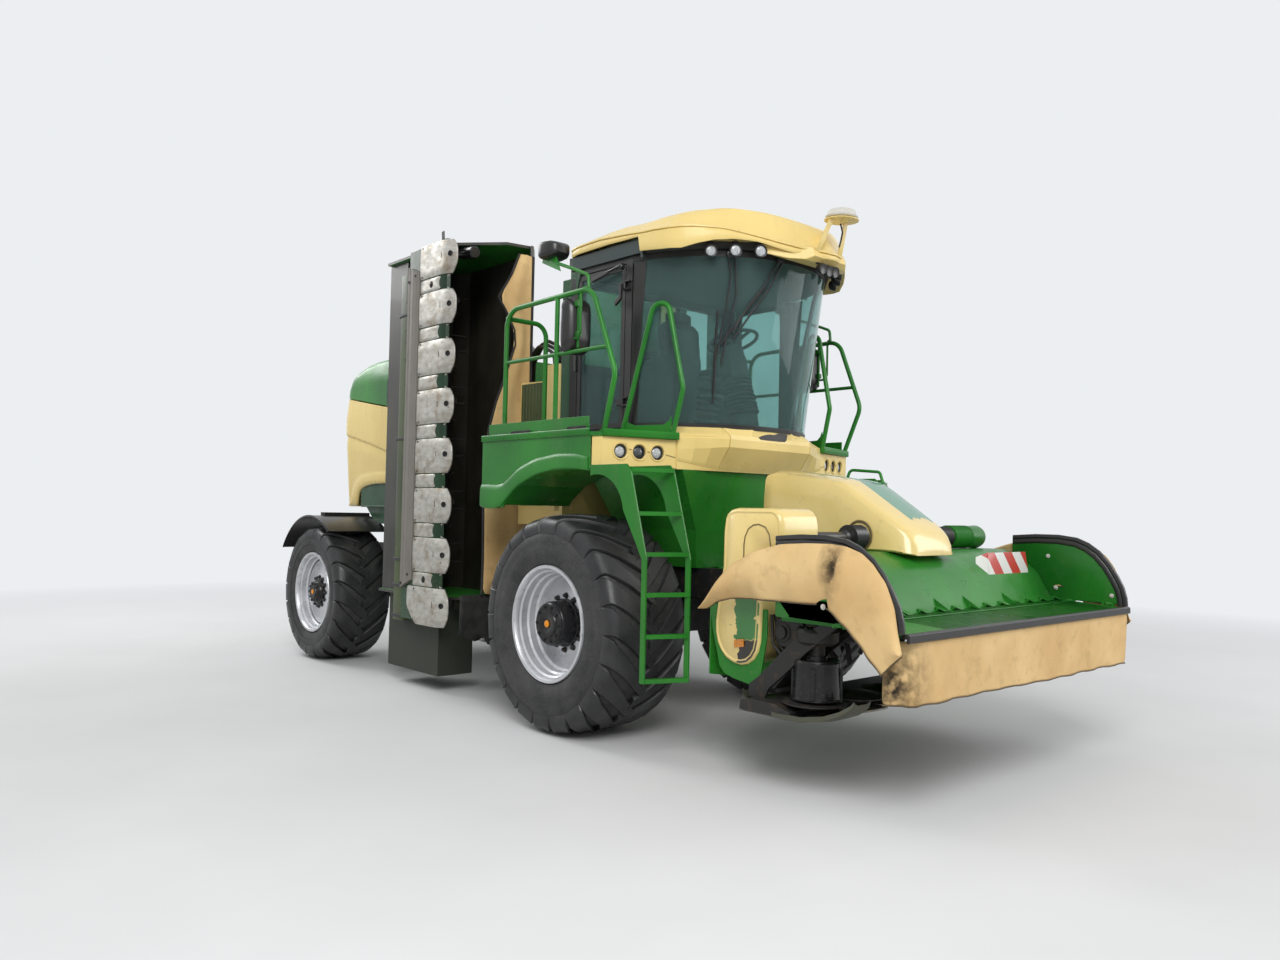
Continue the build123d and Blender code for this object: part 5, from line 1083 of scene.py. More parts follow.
def make_front_bar():
    """Skids, bar, discs with knives, and the end drums."""
    pitch = 2 * FRONT_HALF / 7
    bar = Build()
    bar.across(((1.79, 0.475), (1.80, 0.53), (1.84, 0.541), (2.06, 0.541), (2.17, 0.51), (2.17, 0.472),
                (1.84, 0.468)), (-FRONT_HALF, FRONT_HALF))
    made = bar.piece("front_bar_body", "dark_steel", "front_mower", bevel=0.004)
    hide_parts("front_cutter_bar")
    skids, discs = Build(), Build()
    for index in range(7):
        y = -FRONT_HALF + pitch * (index + 0.5)
        outline = []
        for k in range(17):
            a = math.radians(-90 + k * 180 / 16)
            outline.append((at(2.180 + math.cos(a) * 0.212), y + math.sin(a) * 0.190,
                            0.462 + 0.030 * max(0, math.cos(a)) ** 2))
        for x, dy in ((2.05, 0.190), (1.78, 0.190), (1.78, -0.190), (2.05, -0.190)):
            outline.append((at(x), y + dy, 0.462))
        skids.prism(outline, (0, 0, 0.012))
        centre = (at(2.195), y, 0.538)
        discs.turned(centre, (0, 0, 1), [(0.0, 0.055), (0.004, 0.170), (0.010, 0.186), (0.016, 0.186),
                                         (0.024, 0.120), (0.034, 0.105), (0.040, 0.040), (0.040, 0.001)],
                     40)
        for flip in (0, math.pi):
            a = index * 1.2 + flip
            along = Vector((math.cos(a), math.sin(a), 0))
            across = Vector((-math.sin(a), math.cos(a), 0)) * 0.022
            root = Vector(centre) + Vector((0, 0, 0.008)) + along * 0.160
            tip = root + along * 0.075
            discs.prism([root - across, root + across, tip + across * 0.8, tip - across], (0, 0, 0.005))
    # The darker steel on these skids is painted shade under the mower
    skids.piece("front_bar_skids", "worn_steel_dark_and_shade", "front_mower", bevel=0.002)
    discs.piece("front_bar_discs", "dark_steel", "front_mower")
    drums = Build()
    for sign in (-1, 1):
        centre = (at(2.21), sign * (FRONT_HALF - pitch / 2), 0.560)
        drums.turned(centre, (0, 0, 1), [(0.015, 0.150), (0.022, 0.152), (0.026, 0.139), (0.200, 0.131),
                                         (0.228, 0.133), (0.232, 0.128), (0.240, 0.126), (0.240, 0.060),
                                         (0.262, 0.058), (0.262, 0.001)], 40)
        for k in range(4):
            a = k * math.pi / 2 + 0.5
            foot = Vector(centre) + Vector((math.cos(a) * 0.133, math.sin(a) * 0.133, 0.026))
            side = Vector((-math.sin(a), math.cos(a), 0)) * 0.012
            out = Vector((math.cos(a), math.sin(a), 0)) * 0.014
            drums.prism([foot - side, foot + side, foot + side + out, foot - side + out], (0, 0, 0.175))
    drums.piece("front_drums", "gloss_black", "front_mower", bevel=0.002)


def ribbed(build, x, z, start, end, radius, ribs):
    """A bellows along Y: deep rounded ribs between two collars."""
    profile = [(start, radius * 0.72)]
    span = end - start
    for k in range(ribs * 4 + 1):
        share = k / (ribs * 4)
        profile.append((start + span * share, radius * (0.90 + 0.10 * math.cos(2 * math.pi * ribs * share))))
    profile.append((end, radius * 0.72))
    build.turned((at(x), 0, z), (0, 1, 0), profile, 36)


def make_drive_line():
    black, green = Build(), Build()
    ribbed(black, SHAFT_X, SHAFT_Z, -0.43, -0.235, 0.083, 6)
    ribbed(black, SHAFT_X, SHAFT_Z, 0.60, 0.79, 0.076, 6)
    ribbed(green, SHAFT_X, SHAFT_Z, 0.80, 1.05, 0.086, 7)
    black.turned((at(SHAFT_X), 0, SHAFT_Z), (0, 1, 0), [(0.22, 0.001), (0.22, 0.036), (0.56, 0.036),
                                                        (0.56, 0.050), (0.61, 0.052), (0.61, 0.001)], 32)
    black.turned((at(SHAFT_X), 0, SHAFT_Z), (0, -1, 0), [(0.42, 0.001), (0.42, 0.050), (0.47, 0.050),
                                                         (0.48, 0.036), (0.93, 0.036), (0.93, 0.001)], 32)
    made = black.piece("drive_bellows", "gloss_rubber", "front_mower")
    green.turned((at(SHAFT_X), 0, SHAFT_Z), (0, 1, 0), [(1.04, 0.001), (1.04, 0.080), (1.20, 0.088),
                                                        (1.23, 0.080), (1.23, 0.001)], 36)
    green.piece("drive_guard", "green_paint", "front_mower")
    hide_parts("drive_shafts")


def make_front_fittings():
    body = "front_mower"
    edge = Build()
    edge.across(((2.900, 1.030), (2.935, 1.034), (2.948, 1.026), (2.949, 0.990), (2.938, 0.984),
                 (2.930, 0.990), (2.930, 1.008), (2.900, 1.008)), (-1.392, -1.385, 1.385, 1.392))
    edge.piece("front_edge_rubber", "gloss_rubber", body)
    hinge = Build()
    for k in range(14):
        y = -1.30 + k * 0.198
        hinge.tube([(at(2.449), y, 1.058), (at(2.449), y + 0.075, 1.058)], 0.011, 12)
        hinge.prism([(at(2.425), y + 0.01, 1.070), (at(2.449), y + 0.01, 1.069),
                     (at(2.449), y + 0.065, 1.069), (at(2.425), y + 0.065, 1.070)], (0, 0, 0.003))
        hinge.prism([(at(2.449), y + 0.01, 1.069), (at(2.500), y + 0.01, 1.052),
                     (at(2.500), y + 0.065, 1.052), (at(2.449), y + 0.065, 1.069)], (0, 0, 0.003))
    for y in (-0.75, -0.25, 0.10, 0.62):
        hinge.prism([(at(2.395), y, 1.125), (at(2.52), y, 1.050), (at(2.44), y, 1.052)], (0, 0.006, 0))
    for y in (-1.0, -0.45, 0.1, 0.65, 1.2):
        for dx in (2.62, 2.80):
            hinge.turned((at(dx), y, 1.040 - (dx - 2.45) * 0.058 + 0.0035), (0, 0, 1),
                         [(0, 0.013), (0.003, 0.012), (0.004, 0.006), (0.004, 0.001)], 16)
    hinge.across(((2.560, 1.045), (2.563, 1.0485), (2.572, 1.0485), (2.575, 1.045)), (-1.37, 1.37))
    hinge.piece("front_hinges", "green_paint", body)

    plate = Build()
    plate.prism([(at(2.325), 0.575, 1.225), (at(2.325), 1.150, 1.225), (at(2.300), 1.150, 1.392),
                 (at(2.300), 0.600, 1.392)], (0.004, 0, 0))
    plate.prism([(at(2.327), 0.575, 1.225), (at(2.300), 0.600, 1.392), (at(2.235), 0.560, 1.360),
                 (at(2.25), 0.535, 1.235)], (0.003, 0.003, 0))
    plate.piece("warning_plate", "warning_stripes", body)
    bracket = Build()
    for y in (0.70, 1.04):
        bracket.prism([(at(2.22), y, 1.325), (at(2.322), y, 1.232), (at(2.300), y, 1.385),
                       (at(2.19), y, 1.345)], (0, 0.006, 0))
    bracket.tube([(at(2.318), 0.55, 1.222), (at(2.318), 1.17, 1.222)], 0.008, 8)
    bracket.piece("warning_bracket", "green_paint", body, bevel=0.001)

    # A dark line along the belt cover's pressed groove: painted shade of the groove
    groove_shade = Build()
    groove_shade.tube([(at(x), -1.2865, z)
                for x, z in ((1.728, 1.330), (1.727, 1.440), (1.735, 1.490), (1.762, 1.540),
                             (1.800, 1.563), (1.845, 1.568), (1.895, 1.552), (1.925, 1.510),
                             (1.936, 1.450), (1.937, 1.330))], 0.0035, 8)
    groove_shade.piece("cover_groove_shade", "dark_cream", body)
    marker = Build()
    marker.prism([(at(1.668), -1.285, 0.812), (at(1.668), -1.285, 0.860), (at(1.740), -1.285, 0.872),
                  (at(1.745), -1.285, 0.824)], (0, -0.012, 0))
    marker.piece("cover_marker", "amber", body, bevel=0.003)

    handle = Build()
    handle.tube(bent([(at(1.34), 0.285, 1.890), (at(1.36), 0.300, 1.972), (at(1.62), 0.300, 1.952),
                      (at(1.66), 0.285, 1.865)], 0.04), 0.011, 10)
    handle.piece("nose_handle", "green_paint", body)
    ring = Build()
    for side in (1, -1):
        loop(ring, (at(SHAFT_X), 0, SHAFT_Z + 0.0125), (0, side, 0),
             [(0.302, 0.088), (0.306, 0.093), (0.306, 0.100), (0.300, 0.104), (0.296, 0.090)], 48)
    ring.piece("nose_opening_rims", "dark_cream", body)


# Nose: (x ahead of the front axle, half its width, z); belt cover: (x, z)
NOSE = ((1.030, 0.296, 1.905), (1.036, 0.300, 1.925), (1.120, 0.300, 1.945), (1.400, 0.300, 1.911),
        (1.640, 0.300, 1.880), (1.700, 0.300, 1.863), (1.780, 0.299, 1.816), (1.900, 0.296, 1.738),
        (2.040, 0.288, 1.648), (2.130, 0.278, 1.590), (2.180, 0.268, 1.552), (2.215, 0.256, 1.514),
        (2.240, 0.240, 1.468), (2.252, 0.222, 1.425), (2.255, 0.205, 1.400))
BELT_COVER = ((1.560, 1.600), (1.548, 1.520), (1.545, 1.300), (1.510, 1.110), (1.488, 0.960),
              (1.490, 0.890), (1.508, 0.825), (1.540, 0.775), (1.585, 0.735), (1.645, 0.712),
              (1.705, 0.706), (1.762, 0.720), (1.810, 0.755), (1.842, 0.805), (1.858, 0.870),
              (1.865, 1.000), (1.878, 1.340), (1.892, 1.385), (1.925, 1.406), (1.985, 1.416),
              (2.010, 1.440), (2.020, 1.475), (2.020, 1.565), (2.008, 1.615), (1.980, 1.650),
              (1.940, 1.665), (1.660, 1.665), (1.610, 1.655), (1.575, 1.630))


def drawn_in(outline, distance):
    """A closed outline moved inwards."""
    area = sum(a[0] * b[1] - b[0] * a[1] for a, b in zip(outline, outline[1:] + outline[:1]))
    turn = distance if area > 0 else -distance
    moved = []
    for before, here, after in zip(outline[-1:] + outline[:-1], outline, outline[1:] + outline[:1]):
        dx, dz = after[0] - before[0], after[1] - before[1]
        length = math.hypot(dx, dz)
        moved.append((here[0] - dz / length * turn, here[1] + dx / length * turn))
    return moved


def make_front_covers():
    """The moulded nose over the gearbox and the belt cover with its rolled rim."""
    cover = Build()
    rings = []
    for x, half, top in NOSE:
        low = 1.402 if x < 2.10 else 1.402 - 0.022 * (x - 2.10) / 0.155
        low = min(low, top - 0.02)
        shoulder = max(low + 0.010, top - 0.155)
        right = [(-half + 0.012, low), (-half - 0.002, low + 0.012 * min(1, (top - low) / 0.1)),
                 (-half, (low + shoulder) / 2), (-half + 0.004, shoulder),
                 (-half + 0.016, top - (top - shoulder) * 0.30),
                 (-half + 0.034, top - (top - shoulder) * 0.10),
                 (-half + 0.068, top - (top - shoulder) * 0.015), (-half * 0.45, top + 0.006),
                 (0.0, top + 0.009)]
        rings.append([(at(x), y, z) for y, z in right + [(-y, z) for y, z in right[-2::-1]]])
    cover.rings(rings)
    outline = list(BELT_COVER)
    layers = []
    for y, inset in ((-0.945, 0.0), (-1.255, 0.0), (-1.268, 0.003), (-1.277, 0.009), (-1.284, 0.019),
                     (-1.2845, 0.024), (-1.2795, 0.031), (-1.2795, 0.034), (-1.284, 0.040)):
        layers.append([(at(x), y, z) for x, z in drawn_in(outline, inset)])
    cover.rings(layers)
    piece = cover.piece("front_cover_skin", "covers_paint", "front_mower")
    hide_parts("front_covers")


# Front hood, seen from the side: (x ahead of the front axle, z)
HOOD_OUTLINE = ((2.925, 1.010), (2.925, 1.022), (2.450, 1.050), (2.415, 1.090), (2.330, 1.240),
                (2.200, 1.350), (2.060, 1.400), (1.600, 1.400), (1.400, 1.330), (1.340, 1.200),
                (1.340, 0.860))
HOOD_LINING = ((1.355, 0.860), (1.355, 1.190), (1.412, 1.316), (1.604, 1.385), (2.055, 1.385),
               (2.192, 1.336), (2.318, 1.228), (2.402, 1.082), (2.442, 1.036))
BAR_TOP = 0.541


def make_front_hood():
    """The hood over the reel; beyond its right end plate an open bay holds the belt drive."""
    hood = Build()
    hood.across((*HOOD_OUTLINE, *HOOD_LINING), (-0.930, 1.300))
    hood.across(((2.925, 1.010), (2.925, 1.022), (2.450, 1.050), (2.442, 1.036)), (-FRONT_HALF, FRONT_HALF))
    end_plate = (*HOOD_OUTLINE[2:], (1.340, 0.640), (1.400, 0.560), (1.780, BAR_TOP), (2.050, BAR_TOP),
                 (2.050, 0.830), (2.430, 1.040))
    hood.across(end_plate, (-0.930, -0.915))
    hood.across(end_plate, (1.285, 1.300))
    hood.box((at(2.04), -1.300, 1.030), (at(2.44), -0.915, 1.042))
    hood.box((at(2.04), -1.300, 1.012), (at(2.44), -1.294, 1.042))
    for side in (1, -1):
        for station in (2.520, 2.800):
            for rear in (station - 0.040, station + 0.026):
                hood.lengthwise(((1.368, 1.020), (1.410, 1.022), (1.410, 1.046), (1.400, 1.052),
                                 (1.368, 1.052)), (rear, rear + 0.014), side)
            hood.tube([(at(station - 0.042), side * 1.402, 1.040),
                       (at(station + 0.042), side * 1.402, 1.040)], 0.0075, 12)
        for y in (0.200, 0.327):
            hood.across(((1.225, 1.120), (1.345, 1.030), (1.345, 1.330), (1.225, 1.240)), (y, y + 0.028),
                        side)
        hood.tube([(at(1.265), side * 0.196, 1.180), (at(1.265), side * 0.359, 1.180)], 0.030, 20)
    piece = hood.piece("front_hood_shell", "green_paint", "front_mower", bevel=0.003)
    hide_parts("front_hood")

    bay = Build()
    bay.across(((1.430, 1.060), (1.455, 0.900), (1.520, 0.680), (1.560, 0.640), (1.640, 0.618),
                (1.790, 0.596), (1.850, 0.640), (1.900, 0.900), (1.900, 1.060)), (-1.262, -1.252))
    bay.lengthwise(((-1.262, 0.90), (-1.262, 0.62), (-0.915, 0.56), (-0.915, 1.10), (-1.262, 1.10)),
                   (1.430, 1.440))
    bay.piece("drive_bay_plate", "green_paint", "front_mower", bevel=0.002)
    works = Build()
    for y0, y1 in ((-1.278, -1.262), (-1.02, -1.005)):
        works.across(((1.770, 0.532), (1.900, 0.532), (1.930, 0.600), (2.090, 0.736), (2.200, 0.840),
                      (2.420, 1.012), (2.330, 1.030), (2.110, 0.905), (1.850, 0.660), (1.780, 0.610)),
                     (y0, y1))
    works.across(((1.93, 0.610), (1.96, 0.600), (2.12, 0.775), (2.10, 0.800)), (-1.262, -1.012))
    works.turned((at(2.210), -1.181, 0.0), (0, 0, 1),
                 [(0.800, 0.001), (0.800, 0.045), (0.880, 0.045), (0.885, 0.095), (0.905, 0.120),
                  (0.960, 0.125), (0.980, 0.110), (0.990, 0.070), (1.030, 0.066), (1.030, 0.001)], 32)
    for k in range(8):
        a = k * math.pi / 4
        works.bolt((at(2.210) + math.cos(a) * 0.105, -1.181 + math.sin(a) * 0.105, 0.978), (0, 0, 1),
                   0.010, 0.010)
    works.across(((1.96, 0.850), (2.12, 0.850), (2.15, 0.885), (2.15, 0.985), (2.12, 1.015), (1.96, 1.015),
                  (1.93, 0.985), (1.93, 0.885)), (-1.225, -1.215, -0.945, -0.935))
    works.turned((at(1.99), -1.20, 0.935), (0, -1, 0), [(0.0, 0.060), (0.030, 0.058), (0.034, 0.040),
                                                        (0.050, 0.038), (0.050, 0.001)], 24)
    works.tube([(at(1.865), -1.10, 0.78), (at(2.06), -1.10, 0.88)], 0.032, 16)
    works.tube([(at(1.88), -1.00, 0.70), (at(2.30), -1.00, 0.96)], 0.024, 14)
    for k in range(3):
        works.tube(bent([(at(1.90), -1.22 + 0.03 * k, 1.03), (at(1.93 + 0.02 * k), -1.24 + 0.03 * k, 0.86),
                         (at(2.02 + 0.01 * k), -1.23 + 0.03 * k, 0.77),
                         (at(2.12), -1.16 + 0.03 * k, 0.86)], 0.05, 6), 0.010, 8)
    works.piece("end_drive", "dark_steel", "front_mower", bevel=0.002)
    shoes = Build()
    for side in (1, -1):
        profile = ((1.735, 0.548), (1.755, 0.510), (1.80, 0.482), (1.90, 0.468), (2.09, 0.462),
                   (2.25, 0.466), (2.38, 0.488), (2.46, 0.520), (2.515, 0.560), (2.530, 0.583))
        rows_out, rows_in = [], []
        for x, z in profile:
            share = (x - 1.735) / (2.530 - 1.735)
            swell = math.sin(math.pi * min(1.0, max(0.0, 0.06 + 0.90 * share))) ** 0.45
            half = 0.196 * swell
            row_top = [(at(x), side * (1.190 + half * t), z + 0.010 + 0.024 * abs(t) ** 8)
                       for t in (-1.0, -0.97, -0.9, -0.5, 0.0, 0.5, 0.9, 0.97, 1.0)]
            row_low = [(px, py, pz - (0.016 if 0 < i < 8 else 0.030))
                       for i, (px, py, pz) in enumerate(row_top)]
            rows_out.append(row_top)
            rows_in.append([(px, py, max(0.452, pz)) for px, py, pz in row_low])
        shoes.sheet_of(rows_out, rows_in)
    shoes.piece("end_shoes", "olive_steel", "front_mower", bevel=0.002)


def make_front_mower():
    make_front_hood()
    make_front_covers()
    for name, sign in SIDES:
        make_front_canvas(name, sign)
        make_guard(name, sign)
        make_guard_rubber(name, sign)
    make_front_curtain()
    make_front_bar()
    make_drive_line()
    make_front_fittings()
    repaint("front_reel", "dark_steel")


# Cab: roof, receiver, lamps, wipers, interior and mirrors
# Roof: heights along x, the drop away from the middle line, and half of the plan
ROOF_CROWN_LINE = ((-0.56, 3.705), (-0.42, 3.772), (-0.25, 3.832), (-0.05, 3.880), (0.15, 3.910),
                   (0.35, 3.926), (0.55, 3.929), (0.75, 3.918), (0.92, 3.886), (1.08, 3.836),
                   (1.22, 3.772), (1.33, 3.700), (1.40, 3.630), (1.43, 3.590))
ROOF_CROSS = ((0.0, 0.0), (0.20, 0.005), (0.40, 0.020), (0.60, 0.048), (0.75, 0.084), (0.88, 0.130),
              (0.95, 0.170), (1.01, 0.235))
ROOF_HALF_PLAN = ((-0.560, 0.0), (-0.560, 0.55), (-0.556, 0.70), (-0.540, 0.82), (-0.500, 0.92),
                  (-0.430, 0.985), (-0.34, 1.006), (-0.20, 1.010), (0.0, 1.010), (0.20, 1.010),
                  (0.390, 1.010), (0.400, 1.010), (0.410, 1.010), (0.55, 1.008), (0.68, 0.990),
                  (0.77, 0.945), (0.86, 0.872), (0.94, 0.780), (1.02, 0.672), (1.10, 0.560), (1.18, 0.452),
                  (1.26, 0.335), (1.32, 0.235), (1.37, 0.140), (1.405, 0.060), (1.415, 0.0))
ROOF_LOW = ((-0.560, 3.648), (-0.34, 3.656), (0.036, 3.662), (0.398, 3.655), (0.402, 3.546), (0.60, 3.524),
            (0.77, 3.514), (0.88, 3.553), (0.94, 3.573), (1.03, 3.586), (1.12, 3.576), (1.17, 3.556),
            (1.22, 3.532), (1.28, 3.508), (1.37, 3.486), (1.42, 3.484))
ROOF_CREASE = ((-0.560, 3.690), (-0.33, 3.709), (-0.05, 3.715), (0.215, 3.698), (0.44, 3.677),
               (0.68, 3.666), (0.83, 3.667), (0.92, 3.661), (0.99, 3.655), (1.08, 3.627), (1.15, 3.602),
               (1.24, 3.567), (1.32, 3.540), (1.42, 3.522))


def along_line(line, x):
    """A value read off a line of (x, value) points."""
    if x <= line[0][0]:
        return line[0][1]
    for (x0, v0), (x1, v1) in zip(line, line[1:]):
        if x <= x1:
            t = (x - x0) / (x1 - x0)
            return v0 + (v1 - v0) * t
    return line[-1][1]


def roof_top(x, y):
    """Height of the roof's skin over a point of its plan."""
    rear = min(1.0, max(0.30, (x + 0.60) / 0.95))
    nose = 1.0 - 0.62 * min(1.0, max(0.0, (x - 0.85) / 0.50))
    return along_line(ROOF_CROWN_LINE, x) - along_line(ROOF_CROSS, abs(y)) * rear * nose


def make_roof():
    half = list(ROOF_HALF_PLAN)
    plan = [(x, -y) for x, y in half] + [(x, y) for x, y in half[1:-1][::-1]]
    fine = []
    for (x0, y0), (x1, y1) in zip(plan, plan[1:] + plan[:1]):
        steps = max(1, int(round(math.hypot(x1 - x0, y1 - y0) / 0.045)))
        fine.extend((x0 + (x1 - x0) * k / steps, y0 + (y1 - y0) * k / steps) for k in range(steps))

    def ring(inset, height):
        """One ring round the plan, drawn in towards the roof's spine."""
        points = []
        for x, y in fine:
            spine = min(0.95, max(-0.25, x))
            away = math.hypot(x - spine, y) or 1.0
            share = min(1.0, inset / away)
            px, py = x + (spine - x) * share, y - y * share
            points.append((at(px), py, height(x, px, py)))
        return points

    def low(x, px, py):
        return along_line(ROOF_LOW, x)

    def crease(x, px, py):
        return max(along_line(ROOF_CREASE, x), low(x, px, py) + 0.02)

    def skin(x, px, py):
        return max(roof_top(px, py), crease(x, px, py) + 0.024)

    roof = Build()
    rings = [ring(0.16, lambda x, px, py: max(3.60, low(x, px, py) + 0.03)),
             ring(0.045, lambda x, px, py: low(x, px, py) + 0.022),
             ring(0.020, lambda x, px, py: low(x, px, py) + 0.003), ring(0.006, low),
             ring(0.0, lambda x, px, py: low(x, px, py) + 0.010),
             ring(0.0, lambda x, px, py: (low(x, px, py) + crease(x, px, py)) / 2),
             ring(0.002, lambda x, px, py: crease(x, px, py) - 0.008),
             ring(0.010, lambda x, px, py: crease(x, px, py) - 0.002),
             ring(-0.004, lambda x, px, py: crease(x, px, py) + 0.001),
             ring(-0.003, lambda x, px, py: crease(x, px, py) + 0.012),
             ring(0.015, lambda x, px, py: crease(x, px, py) + 0.022)]
    for inset in (0.045, 0.075, 0.11, 0.16, 0.22, 0.30, 0.40, 0.52, 0.66, 0.80, 0.92):
        blend = min(1.0, max(0.0, (inset - 0.02) / 0.10))
        rings.append(ring(inset, lambda x, px, py, b=blend: (crease(x, px, py) + 0.022) * (1 - b) ** 2
                          + skin(x, px, py) * (1 - (1 - b) ** 2)))
    roof.rings(rings)
    piece = roof.piece("cab_roof_shell", "roof_paint")
    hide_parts("cab_roof")

    under = Build()
    under.box((at(-0.50), -0.95, 3.60), (at(0.395), 0.95, 3.66))
    under.prism([(at(0.395), -0.95, 3.546), (at(0.62), -0.93, 3.546), (at(0.90), -0.62, 3.560),
                 (at(1.10), -0.33, 3.560), (at(1.14), 0, 3.560), (at(1.10), 0.33, 3.560),
                 (at(0.90), 0.62, 3.560), (at(0.62), 0.93, 3.546), (at(0.395), 0.95, 3.546)], (0, 0, 0.080))
    under.piece("roof_lining", "cab_lining")

    band = Build()
    for side in (-1, 1):
        band.across(((-0.455, 3.544), (0.400, 3.544), (0.400, 3.662), (-0.44, 3.650)), (0.972, 0.952), side)
        band.across(((0.386, 3.50), (0.408, 3.50), (0.408, 3.66), (0.386, 3.66)), (0.978, 0.958), side)
    band.box((at(-0.462), -0.93, 3.544), (at(-0.442), 0.93, 3.650))
    band.piece("cab_head_band", "cab_glazing_dark", bevel=0.003)

    beak = Build()
    beak.rings([[(at(1.10), y * 1.55, 3.580), (at(1.13), y * 1.45, 3.505), (at(1.25), y * 1.1, 3.468),
                 (at(1.335), y * 0.8, 3.462), (at(1.385), y * 0.6, 3.492), (at(1.36), y * 0.6, 3.560)]
                for y in (-0.30, -0.24, -0.08, 0.08, 0.24, 0.30)])
    beak.piece("roof_beak", "roof_paint", bevel=0.008)


def make_receiver():
    dome = Build()
    dome.turned((at(1.470), 0, 3.775), (0.06, 0, 1),
                [(0, 0.030), (0.006, 0.112), (0.016, 0.118), (0.024, 0.112), (0.030, 0.104),
                 (0.050, 0.100), (0.064, 0.088), (0.072, 0.062), (0.075, 0.020), (0.075, 0.001)], 48)
    piece = dome.piece("receiver_dome", "white_plastic")
    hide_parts("roof_receiver")
    plate = Build()
    plate.turned((at(1.470), 0, 3.758), (0.06, 0, 1), [(0, 0.060), (0.004, 0.124), (0.012, 0.126),
                                                       (0.014, 0.120)], 40)
    for y0, y1 in ((-0.085, -0.150), (0.070, 0.105)):
        plate.rings([[(at(x) + dx, y0 + (y1 - y0) * t + dy, z)
                      for dx, dy in ((-0.004, -0.024), (0.004, -0.024), (0.004, 0.024), (-0.004, 0.024))]
                     for t, x, z in ((0, 1.452, 3.760), (0.2, 1.445, 3.742), (0.45, 1.425, 3.680),
                                     (0.75, 1.400, 3.600), (0.92, 1.385, 3.556), (1.0, 1.360, 3.520))])
    plate.piece("receiver_bracket", "roof_paint", bevel=0.002)
    cluster = Build()
    for y, z in ((-0.075, 3.432), (0.0, 3.428), (0.075, 3.432)):
        cluster.turned((at(1.315), y, z), (1, 0, -0.25), [(0, 0.020), (0.02, 0.036), (0.055, 0.040),
                                                          (0.062, 0.038), (0.058, 0.030)], 20)
    cluster.tube([(at(1.335), -0.11, 3.462), (at(1.335), 0.11, 3.462)], 0.010, 8)
    cluster.tube(bent([(at(1.440), 0.030, 3.755), (at(1.452), 0.040, 3.69), (at(1.430), 0.052, 3.64),
                       (at(1.415), 0.05, 3.59)], 0.03), 0.006, 8)
    cluster.piece("front_roof_lamps", "gloss_rubber")
    whip = Build()
    whip.tube([(at(0.03), 0.02, 3.87), (at(0.028), 0.02, 3.93), (at(0.008), 0.02, 3.99),
               (at(-0.020), 0.02, 4.05)], [0.012, 0.007, 0.004, 0.003], 8)
    whip.piece("aerial", "gloss_rubber")


# Roof lamps: (x ahead of the front axle, y)
ROOF_LAMPS = ((0.880, 0.740), (1.010, 0.620), (1.125, 0.480))


def make_roof_lamps():
    cases, faces = Build(), Build()
    for side in (-1, 1):
        for x, y in ROOF_LAMPS:
            centre = Vector((at(x), side * y, 3.514))
            axis = Vector((0.82, side * 0.56, -0.10)).normalized()
            cases.turned(centre - axis * 0.060, axis, [(0, 0.018), (0.006, 0.030), (0.022, 0.040),
                                                       (0.046, 0.045), (0.060, 0.047), (0.064, 0.045),
                                                       (0.062, 0.040), (0.050, 0.036)], 32)
            faces.turned(centre - axis * 0.012, axis, [(0, 0.036), (0.006, 0.036), (0.011, 0.028),
                                                       (0.013, 0.014), (0.013, 0.001)], 32)
            top = centre - axis * 0.03
            cases.tube([top + Vector((0, 0, 0.04)), top + Vector((0, 0, 0.075))], 0.010, 8)
            cases.box((top.x - 0.022, top.y - 0.022, 3.575), (top.x + 0.022, top.y + 0.022, 3.583))
    cases.piece("roof_lamp_cases", "gloss_rubber")
    faces.piece("roof_lamp_faces", "lamp_glass")


def flat_strip(build, points, width, thick, normal):
    """A flat bar of an even width through points."""
    points = [Vector(p) for p in points]
    normal = Vector(normal).normalized()
    rings = []
    for index, point in enumerate(points):
        before = points[index - 1] if index else point
        after = points[index + 1] if index < len(points) - 1 else point
        across = (after - before).normalized().cross(normal).normalized() * width / 2
        rise = normal * thick
        rings.append([point - across, point + across, point + across + rise, point - across + rise])
    build.rings(rings)


GLASS_LOW, GLASS_TOP, GLASS_HALF = 2.252, 3.498, 0.948


def glass_point(y, z, out):
    """A point on the windshield's outer face, or a distance out of it."""
    front = 0.870 + 0.210 * min(1.0, max(0.0, (z - 2.25) / 1.25))
    centre = (front ** 2 - 0.27 ** 2 - 0.95 ** 2) / (2 * (front - 0.27))
    radius = front - centre + out
    return Vector((at(centre + math.sqrt(max(radius ** 2 - y ** 2, 0.01))), y, z))


def make_glazing():
    """The bowed windshield and the rear pane."""
    outer, inner = [], []
    for level in range(21):
        z = GLASS_LOW + (GLASS_TOP - GLASS_LOW) * level / 20
        for rows, out in ((outer, 0.0), (inner, -PANE)):
            rows.append([glass_point(math.sin(math.pi / 2 * (k / 24 - 1)) * GLASS_HALF, z, out)
                         for k in range(49)])
    glazing = Build()
    glazing.sheet_of(outer, inner)
    glazing.box((at(-0.455), -0.838, 2.812), (at(-0.455) + PANE, 0.838, 3.438))
    piece = glazing.piece("cab_glazing_skin", "cab_glazing")
    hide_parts("cab_glass")


